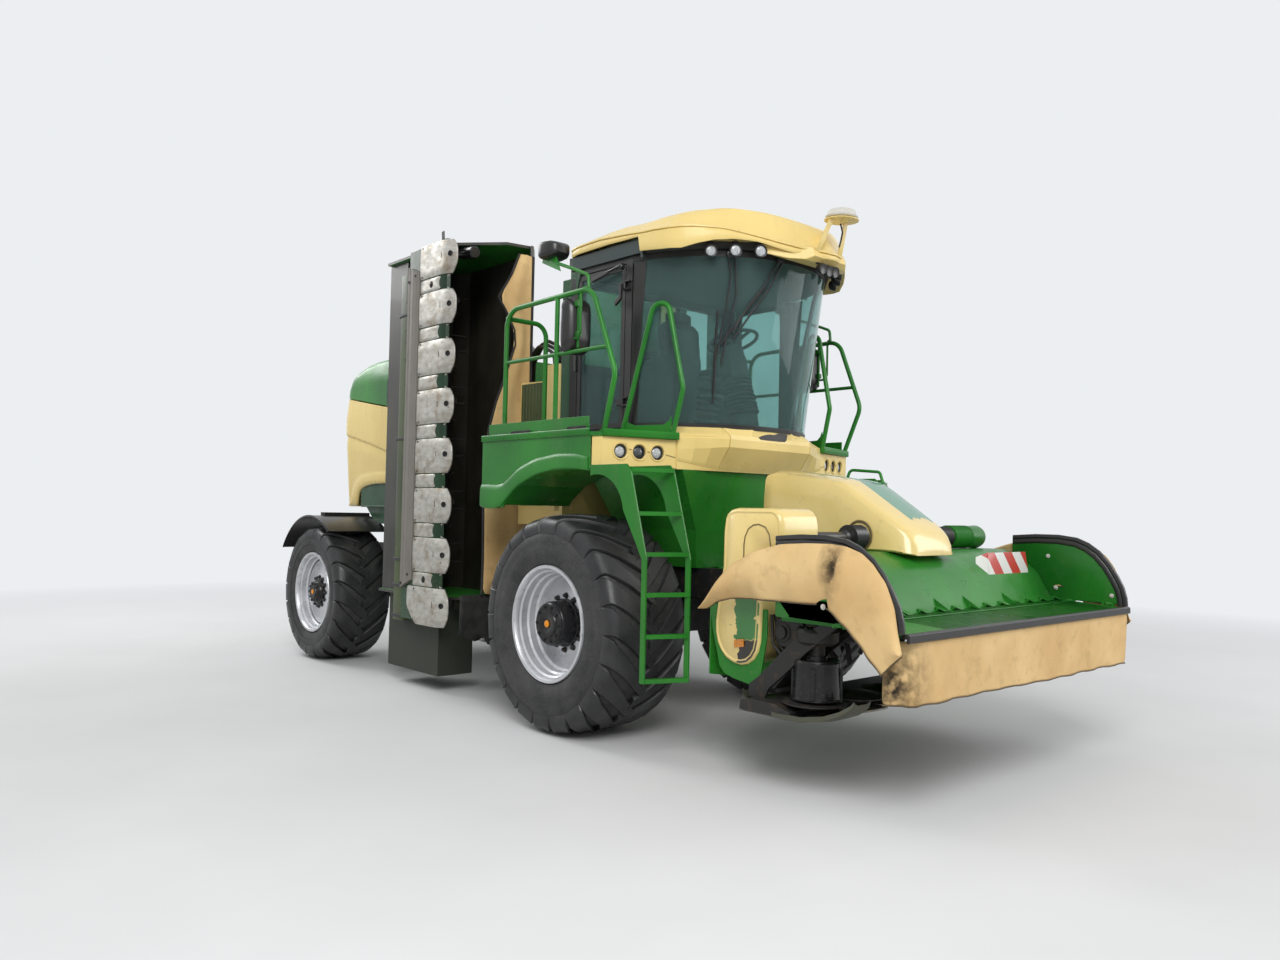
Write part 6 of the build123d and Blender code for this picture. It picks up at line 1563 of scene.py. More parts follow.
def make_wipers():
    door_wiper = Build()
    y = -0.992
    flat_strip(door_wiper, [(at(-0.20), y, 3.395), (at(-0.02), y, 3.425), (at(0.12), y, 3.448),
                            (at(0.19), y, 3.462)], 0.016, 0.008, (0, -1, 0))
    flat_strip(door_wiper, [(at(-0.15), y - 0.008, 3.415), (at(0.05), y - 0.008, 3.452)],
               0.024, 0.010, (0, -1, 0))
    door_wiper.tube([(at(0.02), y - 0.010, 3.450), (at(0.180), y - 0.012, 3.474)], 0.009, 8)
    door_wiper.turned((at(0.180), -0.970, 3.474), (0, -1, 0), [(0, 0.026), (0.028, 0.024), (0.036, 0.016)],
                      20)
    door_wiper.piece("door_wiper", "gloss_rubber", "door_right")
    wiper = Build()
    for points in ((((-0.588, 3.515), (-0.556, 3.36), (-0.562, 3.08), (-0.583, 2.75), (-0.568, 2.50))),
                   (((-0.545, 3.515), (-0.507, 3.22), (-0.535, 2.945), (-0.546, 2.72))),
                   (((-0.225, 3.50), (-0.321, 3.298), (-0.416, 3.149), (-0.499, 2.947))),
                   (((-0.185, 3.50), (-0.270, 3.298), (-0.375, 3.120), (-0.490, 2.900)))):
        wiper.tube([glass_point(y, z, 0.022) for y, z in points], 0.0075, 8)
    for points in ((((-0.600, 3.10), (-0.585, 2.75), (-0.560, 2.44))),
                   (((-0.30, 3.30), (-0.43, 3.10), (-0.56, 2.86)))):
        flat_strip(wiper, [glass_point(y, z, 0.010) for y, z in points], 0.014, 0.012, (0.9, -0.4, 0))
    for y in (-0.565, -0.205):
        wiper.turned(glass_point(y, 3.515, 0.0), (0.8, y, 0), [(0, 0.030), (0.030, 0.028), (0.036, 0.018)],
                     20)
    wiper.piece("wipers", "gloss_rubber")

    sill = Build()
    rings = []
    for k in range(49):
        y = -0.935 + 1.87 * k / 48
        rings.append([glass_point(y, z, out) for z, out in
                      ((GLASS_LOW, -0.004), (GLASS_LOW, 0.006), (2.285, 0.006), (2.290, -0.002))])
    sill.rings(rings)
    edge_strip = ((0.925, -0.006), (0.925, 0.004), (0.948, 0.004), (0.948, -0.006))
    for side in (-1, 1):
        sill.rings([[glass_point(side * y, z, out) for y, out in edge_strip] for z in (2.26, 2.6, 3.0, 3.49)])
    sill.rings([[glass_point(y + shift, z, out) for y, out in
                 ((0.285, -0.030), (0.285, -0.010), (0.335, -0.010), (0.335, -0.030))]
                for z, shift in ((2.26, -0.10), (2.60, -0.06), (3.00, -0.02), (3.30, 0.03), (3.49, 0.14))])
    sill.piece("windshield_edges", "gloss_rubber")

    for name, side in SIDES:
        catch = Build()
        catch.across(((0.13, 3.18), (0.195, 3.22), (0.200, 3.34), (0.180, 3.34), (0.172, 3.25),
                      (0.12, 3.215)), (0.980, 1.002), side)
        catch.box((at(-0.355), side * 0.992 - 0.014, 2.72), (at(-0.325), side * 0.992 + 0.014, 2.86))
        catch.piece("door_catches_" + name, "gloss_rubber", "door_" + name, bevel=0.004)


def swell(points, faces, name, cap=0.018, voxel=0.006):
    """A cushion blown up a little by a cloth simulation; returns its verts and faces."""
    mesh = bpy.data.meshes.new(name + "_soft")
    mesh.from_pydata([tuple(p) for p in points], [], faces)
    mesh.update()
    soft = bpy.data.objects.new(name + "_soft", mesh)
    bpy.context.collection.objects.link(soft)
    remesh = soft.modifiers.new("remesh", "REMESH")
    remesh.mode = "VOXEL"
    remesh.voxel_size = voxel
    graph = bpy.context.evaluated_depsgraph_get()
    fine = bpy.data.meshes.new_from_object(soft.evaluated_get(graph))
    soft.modifiers.clear()
    soft.data = fine
    before = [v.co.copy() for v in fine.vertices]
    cloth_sim = soft.modifiers.new("cloth", "CLOTH")
    cloth_sim.settings.use_pressure = True
    cloth_sim.settings.uniform_pressure_force = 4.0
    cloth_sim.settings.effector_weights.gravity = 0.0
    cloth_sim.point_cache.frame_start = 1
    cloth_sim.point_cache.frame_end = 20
    scene = bpy.context.scene
    for frame_number in range(1, 21):
        scene.frame_set(frame_number)
    graph = bpy.context.evaluated_depsgraph_get()
    done = bpy.data.meshes.new_from_object(soft.evaluated_get(graph))
    scene.frame_set(1)
    moved = []
    for old, vertex in zip(before, done.vertices):
        step = vertex.co - old
        if step.length > cap:
            step = step * (cap / step.length)
        moved.append(old + step)
    faces_out = [tuple(p.vertices) for p in done.polygons]
    bpy.data.objects.remove(soft)
    return moved, faces_out


def cushion_form(centre, size, crown=0.02, tilt=0.0, sides=9):
    """A crowned block with drawn-in edges, turned about the y axis."""
    cx, cy, cz = centre
    lx, ly, lz = size
    build = Build()
    rows = []
    turn = Matrix.Rotation(tilt, 3, "Y")
    for k in range(sides):
        v = -1 + 2 * k / (sides - 1)
        pull = 1 - 0.10 * v * v - 0.12 * v ** 8
        ring = []
        for j in range(24):
            a = 2 * math.pi * j / 24
            c, s = math.cos(a), math.sin(a)
            px = math.copysign(abs(c) ** 0.45, c) * lx / 2 * pull
            pz = math.copysign(abs(s) ** 0.55, s) * (lz / 2) * pull + (crown * (1 - v * v) if s > 0 else 0)
            ring.append(turn @ Vector((px, v * ly / 2, pz)) + Vector((cx, cy, cz)))
        rows.append(ring)
    build.rings(rows)
    return build.verts, build.faces


def make_seat():
    pads = (
        ("seat_base", (at(0.02), 0, 2.655), (0.44, 0.47, 0.095), 0.022, 0.05),
        ("seat_back", (at(-0.180), 0, 3.000), (0.105, 0.44, 0.52), 0.0, 0.10),
        ("seat_head", (at(-0.205), 0, 3.270), (0.085, 0.25, 0.105), 0.0, 0.08),
    )
    for name, centre, size, crown, tilt in pads:
        verts, faces = cushion_form(centre, size, crown=crown, tilt=-tilt)
        verts, faces = swell(verts, faces, name, cap=0.016 if name != "seat_head" else 0.010,
                             voxel=0.006)
        piece = make_piece(name, verts, faces, "seat_cloth")
    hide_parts("operator_seat")

    seams = Build()
    for y in (-0.150, 0.150):
        seams.tube([(at(-0.130), y, 2.80), (at(-0.125), y, 2.95), (at(-0.145), y, 3.10),
                    (at(-0.165), y, 3.22)], 0.003, 6)
        seams.tube([(at(-0.16), y, 2.716), (at(0.0), y, 2.724), (at(0.18), y, 2.712)], 0.003, 6)
    seams.piece("seat_piping", "grey_strip")
    frame_build = Build()
    frame_build.box((at(-0.17), -0.20, 2.252), (at(0.12), 0.20, 2.300))
    for k in range(5):
        z = 2.310 + k * 0.052
        frame_build.rings([[(at(-0.025 + sx * (0.135 + out)), sy * (0.175 + out), z + dz)
                            for sx, sy in ((-1, -1), (1, -1), (1, 1), (-1, 1))]
                           for dz, out in ((0, -0.012), (0.022, 0.016), (0.030, 0.016), (0.052, -0.012))])
    frame_build.box((at(-0.20), -0.22, 2.575), (at(0.22), 0.22, 2.606))
    for side in (-1, 1):
        frame_build.lengthwise(((0.255, 2.79), (0.30, 2.79), (0.31, 2.83), (0.30, 2.86), (0.255, 2.86),
                                (0.245, 2.83)), (-0.20, -0.18, 0.06, 0.13, 0.15), side)
        frame_build.tube([(at(-0.17), side * 0.275, 2.62), (at(-0.19), side * 0.275, 2.79)], 0.018, 10)
    for y in (-0.09, 0.09):
        frame_build.tube([(at(-0.205), y, 3.15), (at(-0.215), y, 3.26)], 0.007, 8)
    frame_build.piece("seat_frame", "cab_plastic", bevel=0.004)
    second = Build()
    second.box((at(-0.30), 0.36, 2.255), (at(0.10), 0.66, 2.60))
    second.piece("passenger_seat_base", "cab_plastic", bevel=0.03)
    pad_verts, pad_faces = cushion_form((at(-0.10), 0.51, 2.66), (0.38, 0.32, 0.08), crown=0.015)
    pad_verts, pad_faces = swell(pad_verts, pad_faces, "passenger_pad", cap=0.012,
                                 voxel=0.007)
    make_piece("passenger_pad", pad_verts, pad_faces, "seat_cloth")


def make_steering():
    column = Build()
    for k in range(9):
        t = k / 9
        x, z = 0.545 - 0.075 * t, 2.40 + 0.30 * t
        radius = 0.135 - 0.025 * t
        column.turned((at(x), 0, z), (-0.24, 0, 1), [(0, radius - 0.022), (0.012, radius), (0.022, radius),
                                                     (0.036, radius - 0.022)], 28)
    column.turned((at(0.560), 0, 2.252), (-0.08, 0, 1), [(0, 0.150), (0.02, 0.150), (0.03, 0.125),
                                                         (0.15, 0.115)], 28)
    column.rings([[(at(x + dx), dy, z) for dx, dy in ((-0.055, -w), (0.050, -w), (0.085, -w * 0.5),
                                                      (0.085, w * 0.5), (0.050, w), (-0.055, w))]
                  for x, z, w in ((0.470, 2.69, 0.085), (0.462, 2.74, 0.105), (0.440, 2.86, 0.100),
                                  (0.415, 2.95, 0.070), (0.405, 2.975, 0.045))])
    piece = column.piece("steering_bellows", "cab_plastic")
    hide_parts("steering_column")
    wheel = Build()
    centre, axis = Vector((at(0.425), 0, 3.005)), Vector((-0.35, 0, 1)).normalized()
    normal = Vector((0, 1, 0))
    other = axis.cross(normal)
    wheel.tube([centre + (normal * math.cos(a) + other * math.sin(a)) * 0.200
                for a in (2 * math.pi * k / 40 for k in range(40))], 0.0145, 12, closed=True)
    for angle in (0.5, 2.64, 4.71):
        tip = centre + (normal * math.cos(angle) + other * math.sin(angle)) * 0.196
        wheel.tube([centre - axis * 0.012, centre.lerp(tip, 0.5) - axis * 0.010, tip],
                   [0.022, 0.015, 0.011], 10)
    wheel.turned(centre - axis * 0.03, axis, [(0, 0.030), (0.02, 0.052), (0.035, 0.050), (0.040, 0.030),
                                              (0.041, 0.001)], 24)
    wheel.tube([centre + Vector((0.02, -0.03, -0.03)), centre + Vector((0.08, -0.13, 0.0))],
               [0.006, 0.010], 8)
    wheel.piece("steering_wheel", "cab_plastic")


def make_console():
    console = Build()
    outline = ((-0.23, 2.26), (0.30, 2.26), (0.33, 2.40), (0.36, 2.70), (0.385, 2.80), (0.360, 2.865),
               (0.30, 2.885), (0.20, 2.862), (0.02, 2.835), (-0.14, 2.815), (-0.22, 2.78))
    rings = []
    for y, shrink in ((-0.555, 0.030), (-0.545, 0.010), (-0.520, 0.0), (-0.340, 0.0), (-0.315, 0.010),
                      (-0.305, 0.030)):
        rings.append([(at(x * (1 - shrink) + 0.08 * shrink), y, z + (2.55 - z) * shrink) for x, z in outline])
    console.rings(rings)
    piece = console.piece("side_console", "cab_plastic", bevel=0.004)
    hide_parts("cab_console")
    parts = Build()
    parts.lengthwise(((-0.50, 2.862), (-0.36, 2.862), (-0.355, 2.905), (-0.505, 2.905)),
                     (-0.16, -0.15, 0.10, 0.11))
    parts.tube(bent([(at(0.18), -0.42, 2.86), (at(0.185), -0.42, 2.97), (at(0.215), -0.40, 3.03)], 0.03),
               [0.016] * 2 + [0.018] * 7 + [0.024], 10)
    parts.turned((at(0.213), -0.402, 3.022), (0.4, 0.2, 1),
                 [(0, 0.018), (0.010, 0.030), (0.045, 0.032), (0.065, 0.022), (0.070, 0.002)], 20)
    parts.prism([(at(x), y, z) for x, y, z in
                 ((0.34, -0.60, 2.83), (0.34, -0.36, 2.83), (0.30, -0.36, 3.04), (0.30, -0.60, 3.04))],
                (0.028, 0, 0.006))
    parts.tube([(at(0.33), -0.48, 2.72), (at(0.335), -0.48, 2.86)], 0.014, 8)
    for row in range(2):
        for k in range(5):
            parts.box((at(0.02 + k * 0.05), -0.505 + row * 0.04, 2.845),
                      (at(0.05 + k * 0.05), -0.480 + row * 0.04, 2.868 + k * 0.004))
    parts.piece("console_controls", "cab_plastic", bevel=0.003)
    screen = Build()
    screen.across(((0.3385, 2.840), (0.3415, 2.840), (0.3025, 3.030), (0.2995, 3.030)), (-0.590, -0.370))
    screen.piece("console_screen", "dark_lens")
    lining = Build()
    lining.across(((-0.43, 2.262), (-0.36, 2.262), (-0.38, 2.80), (-0.43, 2.80)), (-0.84, 0.84))
    lining.box((at(-0.43), -0.87, 2.251), (at(0.28), 0.87, 2.256))
    lining.piece("cab_lining_rear", "cab_lining", bevel=0.004)


def mirror_case(build, centre, half, depth, back):
    """A rounded mirror case standing across the view; back is the side its bulge points to."""
    cx, cy, cz = centre
    hx, hz = half
    rings = []
    for t, grow in ((0.0, 0.93), (0.10, 1.0), (0.30, 1.0), (0.65, 0.93), (0.90, 0.72), (1.0, 0.45)):
        ring = []
        for k in range(28):
            a = 2 * math.pi * k / 28
            c, s = math.cos(a), math.sin(a)
            ring.append((cx + back * depth * t, cy + math.copysign(abs(c) ** 0.42, c) * hx * grow,
                         cz + math.copysign(abs(s) ** 0.42, s) * hz * grow))
        rings.append(ring)
    build.rings(rings)


def mirror_face(build, centre, half, inset):
    cx, cy, cz = centre
    hx, hz = half
    rings = []
    for dx in (0.0, 0.004):
        rings.append([(cx + inset - dx, cy + math.copysign(abs(math.cos(a)) ** 0.42, math.cos(a)) * hx * 0.90,
                       cz + math.copysign(abs(math.sin(a)) ** 0.42, math.sin(a)) * hz * 0.94)
                      for a in (2 * math.pi * k / 28 for k in range(28))])
    build.rings(rings)


def make_mirrors():
    arms, cases, faces = Build(), Build(), Build()
    for side in (-1, 1):
        arms.tube(bent([(at(0.330), side * 1.412, 3.205), (at(0.318), side * 1.412, 3.310),
                        (at(0.10), side * 1.405, 3.400), (at(-0.14), side * 1.390, 3.490),
                        (at(-0.235), side * 1.380, 3.600)], 0.05), 0.013, 10)
        stay = ((0.335, 1.412, 3.215), (0.290, 1.430, 3.225), (0.275, 1.440, 3.17), (0.275, 1.440, 2.905),
                (0.235, 1.430, 2.865), (0.130, 1.420, 2.870))
        arms.tube(bent([(at(x), side * y, z) for x, y, z in stay], 0.03), 0.010, 10)
        arms.tube([(at(0.205), side * 1.405, 2.80), (at(0.205), side * 1.405, 3.22)], 0.010, 8)
        for z in (2.90, 3.12):
            arms.box((at(0.180), side * 1.405 - 0.020, z - 0.020),
                     (at(0.225), side * 1.405 + 0.020, z + 0.020))
        arms.prism([(at(-0.26), side * 1.395, 3.50), (at(-0.02), side * 1.400, 3.395),
                    (at(-0.10), side * 1.395, 3.555), (at(-0.23), side * 1.390, 3.60)],
                   (0, side * 0.006, 0))
        mirror_case(cases, (at(0.085), side * 1.362, 2.970), (0.120, 0.205), 0.115, 1)
        mirror_face(faces, (at(0.085), side * 1.362, 2.970), (0.120, 0.205), -0.001)
        mirror_case(cases, (at(-0.215), side * 1.375, 3.575), (0.105, 0.065), 0.180, 1)
        mirror_face(faces, (at(-0.215), side * 1.375, 3.575), (0.105, 0.065), -0.001)
    piece = arms.piece("mirror_arms", "green_paint", bevel=0.001)
    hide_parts("mirrors")
    cases.piece("mirror_cases", "mirror_black")
    faces.piece("mirror_faces", "mirror_face")


def make_cab():
    make_roof()
    make_receiver()
    make_roof_lamps()
    make_glazing()
    make_wipers()
    make_seat()
    make_steering()
    make_console()
    make_mirrors()


# Body: fenders, fascia, hood, panels and small fittings
# Fender mouldings as (x ahead of the front axle, z); the lamp boxes' front corners as (x, y)
FENDER_LOW = ((-0.900, 1.655), (-0.840, 1.640), (-0.690, 1.640), (-0.600, 1.668), (-0.560, 1.702),
              (-0.400, 1.812), (-0.180, 1.892), (0.080, 1.932), (0.300, 1.928), (0.440, 1.912))
FENDER_HIGH = ((-0.900, 1.818), (-0.840, 1.818), (-0.690, 1.812), (-0.600, 1.824), (-0.530, 1.862),
               (-0.390, 1.944), (-0.190, 2.006), (0.080, 2.036), (0.300, 2.030), (0.440, 2.004))
BOX_OUTER, BOX_INNER = (0.514, 1.416), (0.662, 0.845)


def band_between(build, low, high, y, side, proud, steps=10):
    """A raised moulding between two lines of a side panel, rolled at both edges."""
    rings = []
    fine_low, fine_high = [], []
    for line, out in ((low, fine_low), (high, fine_high)):
        for (x0, z0), (x1, z1) in zip(line, line[1:]):
            for k in range(steps):
                t = k / steps
                out.append((x0 + (x1 - x0) * t, z0 + (z1 - z0) * t))
        out.append(line[-1])
    for _ in range(6):
        for line in (fine_low, fine_high):
            line[1:-1] = [((a[0] + b[0] * 2 + c[0]) / 4, (a[1] + b[1] * 2 + c[1]) / 4)
                          for a, b, c in zip(line, line[1:], line[2:])]
    for (x0, z0), (x1, z1) in zip(fine_low, fine_high):
        def spot(share, out):
            return (at(x0 + (x1 - x0) * share), side * (y + out), z0 + (z1 - z0) * share)
        rings.append([spot(-0.02, -0.030), spot(-0.06, -0.030), spot(-0.06, proud * 0.6), spot(0.0, proud),
                      spot(0.10, proud * 1.05), spot(0.70, proud), spot(0.88, proud * 0.8), spot(1.0, 0.0),
                      spot(1.0, -0.004)])
    build.rings(rings)


def make_fenders():
    for name, side in SIDES:
        lip = Build()
        band_between(lip, FENDER_LOW, FENDER_HIGH, 1.474, side, 0.016)
        lip.piece("fender_lip_" + name, "green_paint")
        edge = Build()
        edge.lengthwise(((1.472, 2.156), (1.486, 2.156), (1.489, 2.162), (1.489, 2.200), (1.484, 2.206),
                         (1.472, 2.206)), (-0.902, -0.898, 0.448, 0.452), side)
        inner, outer = Vector((at(0.690), side * 0.848, 0)), Vector((at(0.522), side * 1.418, 0))
        along = (inner - outer).normalized()
        out = Vector((abs(along.y), -along.x * (1 if along.y > 0 else -1), 0))
        section = ((-0.02, 2.150), (0.012, 2.150), (0.016, 2.156), (0.016, 2.198), (0.010, 2.204),
                   (-0.02, 2.204))
        edge.rings([[outer.lerp(inner, t) + out * d + Vector((0, 0, z)) for d, z in section]
                    for t in (-0.004, 0.0, 0.5, 1.0, 1.004)])
        edge.piece("deck_edge_" + name, "green_paint", bevel=0.002)
        tread = Build()
        for row in range(9):
            for k in range(24):
                x, y = -0.86 + k * 0.055 + (row % 2) * 0.0275, 1.035 + row * 0.046
                if x < 0.43:
                    angle = 0.8 if (row + k) % 2 else -0.8
                    dx, dy = math.cos(angle) * 0.014, math.sin(angle) * 0.014
                    tread.rings([[(at(x) + dx * t - dy * w * 0.25, side * (y + dy * t + dx * w * 0.25),
                                   2.1902 + h) for w, h in ((-1, 0), (0, 0.0022), (1, 0))]
                                 for t in (-1, 0, 1)])
        tread.piece("deck_tread_" + name, "dark_steel", smooth=False)
        # Dark shapes on the kick plates: painted shade standing in for their slots
        slots = Build()
        for x0, x1 in ((-0.50, -0.24), (0.20, 0.42)):
            slots.across(((x0 + 0.012, 2.196), (x1 - 0.012, 2.196), (x1, 2.204), (x1 - 0.006, 2.222),
                          (x0 + 0.006, 2.222), (x0, 2.204)), (1.4848, 1.4865), side)
        slots.piece("kick_slots_" + name, "painted_hole_shade")


def make_box_lamps():
    rims, shells, faces, dark = Build(), Build(), Build(), Build()
    for side in (-1, 1):
        for share in (0.25, 0.5, 0.75):
            (ox, oy), (ix, iy) = BOX_OUTER, BOX_INNER
            length = math.hypot(ix - ox, oy - iy)
            axis = Vector(((oy - iy) / length, side * (ix - ox) / length, 0))
            spot = Vector((at(ox + (ix - ox) * share), side * (oy + (iy - oy) * share), 2.050))
            loop(rims, spot, axis, [(-0.042, 0.0515), (0.001, 0.0515), (0.003, 0.056), (0.006, 0.060),
                                    (0.003, 0.064), (-0.002, 0.065), (-0.006, 0.056)], 40)
            loop(shells, spot, axis, [(-0.040, 0.046), (-0.016, 0.044), (-0.010, 0.046), (-0.010, 0.040),
                                      (-0.020, 0.038), (-0.040, 0.030)], 32)
            target = dark if share == 0.5 else faces
            target.turned(spot - axis * 0.038, axis, [(0, 0.036), (0.016, 0.039), (0.022, 0.033),
                                                      (0.026, 0.018), (0.027, 0.001)], 32)
    piece = shells.piece("box_lamp_cases", "gloss_rubber")
    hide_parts("work_lamps")
    rims.piece("box_lamp_rims", "cream_paint")
    faces.piece("box_lamp_faces", "lamp_glass")
    dark.piece("box_lamp_dark", "dark_lens")


def make_fascia():
    face = Build()
    for stations in ((-0.838, -0.72, -0.60, -0.474), (-0.466, -0.233, 0.0, 0.233, 0.466),
                     (0.474, 0.60, 0.72, 0.838)):
        rings = []
        for y in stations:
            t = min(1.0, max(0.0, (0.838 - abs(y)) / (0.838 - 0.470)))
            bow = 0.013 * (1 - abs(y) / 0.47) if abs(y) < 0.47 else 0.0
            low_x = 0.668 + (0.722 - 0.668) * t + bow
            top_x = 0.668 + (0.852 - 0.668) * t + bow
            pane_y = min(0.83, max(-0.83, y))

            def spot(z, out):
                share = (z - 1.944) / (2.190 - 1.944)
                return (at(low_x + (top_x - low_x) * share + out), y, z)
            rings.append([spot(1.948 + 0.050 * (1 - t), 0.002), spot(1.975 + 0.045 * (1 - t), 0.008),
                          spot(2.085 + 0.030 * t, 0.006 + 0.030 * t), spot(2.175, 0.004 + 0.006 * t),
                          spot(2.205, -0.012 - 0.02 * (1 - t)), glass_point(pane_y, 2.262, 0.006),
                          glass_point(pane_y, 2.255, -0.012), spot(2.188, -0.03),
                          spot(1.960 + 0.050 * (1 - t), -0.006)])
        face.rings(rings)
    face.piece("fascia_facets", "cream_paint", smooth=False, bevel=0.004)
    gaps = Build()
    for side in (-1, 1):
        (ox, oy), (ix, iy) = BOX_OUTER, BOX_INNER
        for s0, s1, z0, z1 in ((0.36, 0.43, 2.062, 2.062), (0.60, 0.67, 2.052, 2.048),
                               (0.84, 1.0, 2.040, 2.020), (0.31, 0.36, 2.105, 2.064)):
            a = Vector((at(ox + (ix - ox) * s0) + 0.001, side * (oy + (iy - oy) * s0), z0))
            b = Vector((at(ox + (ix - ox) * s1) + 0.001, side * (oy + (iy - oy) * s1), z1))
            gaps.prism([a, b, b + Vector((0, 0, 0.005)), a + Vector((0, 0, 0.005))],
                       (0.001, side * 0.0003, 0))
    gaps.piece("fascia_joints", "dark_cream")
    plates = Build()
    for side in (-1, 1):
        hoop = [(0.262, 1.000, 2.200), (0.650, 0.880, 2.200), (0.652, 0.879, 2.330), (0.630, 0.886, 2.290),
                (0.590, 0.898, 2.262), (0.36, 0.970, 2.262), (0.30, 0.988, 2.285), (0.268, 0.998, 2.335)]
        plates.prism([(at(x), side * y, z) for x, y, z in hoop], (0.004, side * 0.006, 0))
    plates.piece("hoop_plates", "green_paint")


# Rear hood: lines of (x ahead of the front axle, z), and (z, how far the wall leans in)
HOOD_HALF, HOOD_BACK, HOOD_FRONT, HOOD_CORNER = 0.830, -4.985, -2.950, 0.330
ARCH_LOW = ((-4.512, 1.625), (-4.495, 1.665), (-4.475, 1.715), (-4.440, 1.774), (-4.385, 1.808),
            (-4.320, 1.830), (-4.233, 1.846), (-4.10, 1.860), (-3.942, 1.868), (-2.95, 1.868))
ARCH_LIP = ((-4.76, 1.640), (-4.70, 1.665), (-4.654, 1.722), (-4.61, 1.812), (-4.575, 1.868),
            (-4.542, 1.903), (-4.48, 1.934), (-4.40, 1.958), (-4.301, 1.978), (-3.95, 1.998),
            (-3.586, 1.992), (-2.95, 1.985))
HOOD_CREASE = ((-4.985, 2.452), (-4.689, 2.421), (-4.144, 2.307), (-3.580, 2.167), (-2.95, 2.010))
HOOD_BREAK = ((-4.985, 2.879), (-2.95, 2.561))
HOOD_TOP = ((-4.985, 2.955), (-4.93, 3.000), (-4.87, 3.040), (-4.75, 3.108), (-4.60, 3.168),
            (-4.40, 3.216), (-4.20, 3.238), (-4.0, 3.242), (-2.95, 3.242))
HOOD_TUMBLE = ((1.60, 0.058), (1.90, 0.036), (2.20, 0.017), (2.42, 0.004), (2.60, 0.0), (2.82, 0.022),
               (3.00, 0.030), (3.25, 0.038))


def hood_path():
    """Places along the hood's wall with the outward direction there, from its right front round the back."""
    half = []
    x = HOOD_FRONT
    while x > HOOD_BACK + HOOD_CORNER:
        half.append((x, -HOOD_HALF, 0.0, -1.0))
        x -= 0.018 if -4.58 < x < -4.36 else 0.055
    centre = (HOOD_BACK + HOOD_CORNER, HOOD_CORNER - HOOD_HALF)
    for k in range(15):
        a = math.radians(-90 - 90 * k / 14)
        half.append((centre[0] + HOOD_CORNER * math.cos(a), centre[1] + HOOD_CORNER * math.sin(a),
                     math.cos(a), math.sin(a)))
    for k in range(1, 5):
        half.append((HOOD_BACK, centre[1] * (1 - k / 4), -1.0, 0.0))
    return half + [(x, -y, nx, -ny) for x, y, nx, ny in half[-2::-1]]


def hood_point(place, z, out=0.0):
    """A point of the hood's wall at a height; the wall leans in below and above the crease."""
    x, y, nx, ny = place
    toward_back = min(1.0, max(0.0, (-4.0 - x) / 0.655))
    lean = along_line(HOOD_TUMBLE, z) * (0.35 + 0.65 * toward_back) - out
    return (at(x - nx * lean), y - ny * lean, z)


def make_rear_hood():
    path = hood_path()
    panel_rows, hood_rows = [], []
    lip_shape = ((0.0, -0.012), (0.04, 0.0), (0.14, 0.009), (0.35, 0.012), (0.70, 0.010), (0.90, 0.005),
                 (1.0, 0.0))
    crease_shape = ((-0.070, -0.005), (-0.030, -0.011), (-0.012, -0.012), (-0.004, -0.002), (0.004, 0.003),
                    (0.020, 0.004), (0.060, 0.003))
    for place in path:
        x = place[0]
        low = 1.625 if x < -4.512 else along_line(ARCH_LOW, x)
        lip = along_line(ARCH_LIP, x)
        crease, brink = along_line(HOOD_CREASE, x), along_line(HOOD_BREAK, x)
        panel = [hood_point(place, low + (lip - low) * share, out) for share, out in lip_shape]
        panel += [hood_point(place, lip + (crease - 0.13 - lip) * share)
                  for share in (0.12, 0.35, 0.6, 0.85, 1.0)]
        panel += [hood_point(place, crease + dz, out) for dz, out in crease_shape]
        panel += [hood_point(place, crease + 0.06 + (brink - 0.004 - crease - 0.06) * share, 0.003)
                  for share in (0.3, 0.6, 0.9, 0.985)]
        panel.append(hood_point(place, brink - 0.0045, -0.006))
        panel_rows.append(panel)
        hood = [hood_point(place, brink + 0.0045, -0.006), hood_point(place, brink + 0.008, 0.003)]
        top = along_line(HOOD_TOP, x)
        shoulder = max(brink + 0.05, top - 0.13)
        hood += [hood_point(place, brink + 0.008 + (shoulder - brink - 0.008) * share, 0.003 * (1 - share))
                 for share in (0.2, 0.4, 0.6, 0.8)]
        spine = max(x, -4.62)
        for inset, drop in ((0.038, 0.125), (0.044, 0.095), (0.056, 0.065), (0.078, 0.038), (0.110, 0.018),
                            (0.150, 0.006), (0.200, 0.0), (0.270, -0.002)):
            px, py = x - place[2] * inset, place[1] - place[3] * inset
            hood.append((at(px), py, max(brink + 0.03, along_line(HOOD_TOP, px) - drop)))
        px, py = x - place[2] * 0.27, place[1] - place[3] * 0.27
        for share in (0.25, 0.5, 0.75, 1.0):
            qx = px + (spine - px) * share
            hood.append((at(qx), py * (1 - share),
                         along_line(HOOD_TOP, qx) + 0.002 + 0.008 * (1 - (1 - share) ** 2)))
        hood_rows.append(hood)
    for name, node, rows, material in (("rear_hood_shell", "rear_hood", hood_rows, "green_paint"),
                                       ("rear_panel_skin", "rear_panels", panel_rows, "cream_paint")):
        skin = Build()
        skin.grid(rows)
        piece = skin.piece(name, material, "chassis")
        seam = piece.modifiers.new("seam", "WELD")
        seam.merge_threshold = 0.0005
        thicken(piece, 0.022)
        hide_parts(node)
    front = Build()
    front.lengthwise(((-0.80, 1.90), (0.80, 1.90), (0.80, 3.10), (0.62, 3.215), (-0.62, 3.215),
                      (-0.80, 3.10)), (-2.985, -2.973))
    for k in range(9):
        y = -0.76 + k * 0.19
        front.box((at(-2.973), y - 0.006, 1.95), (at(-2.965), y + 0.006, 3.12))
    front.piece("hood_bulkhead", "dark_steel")


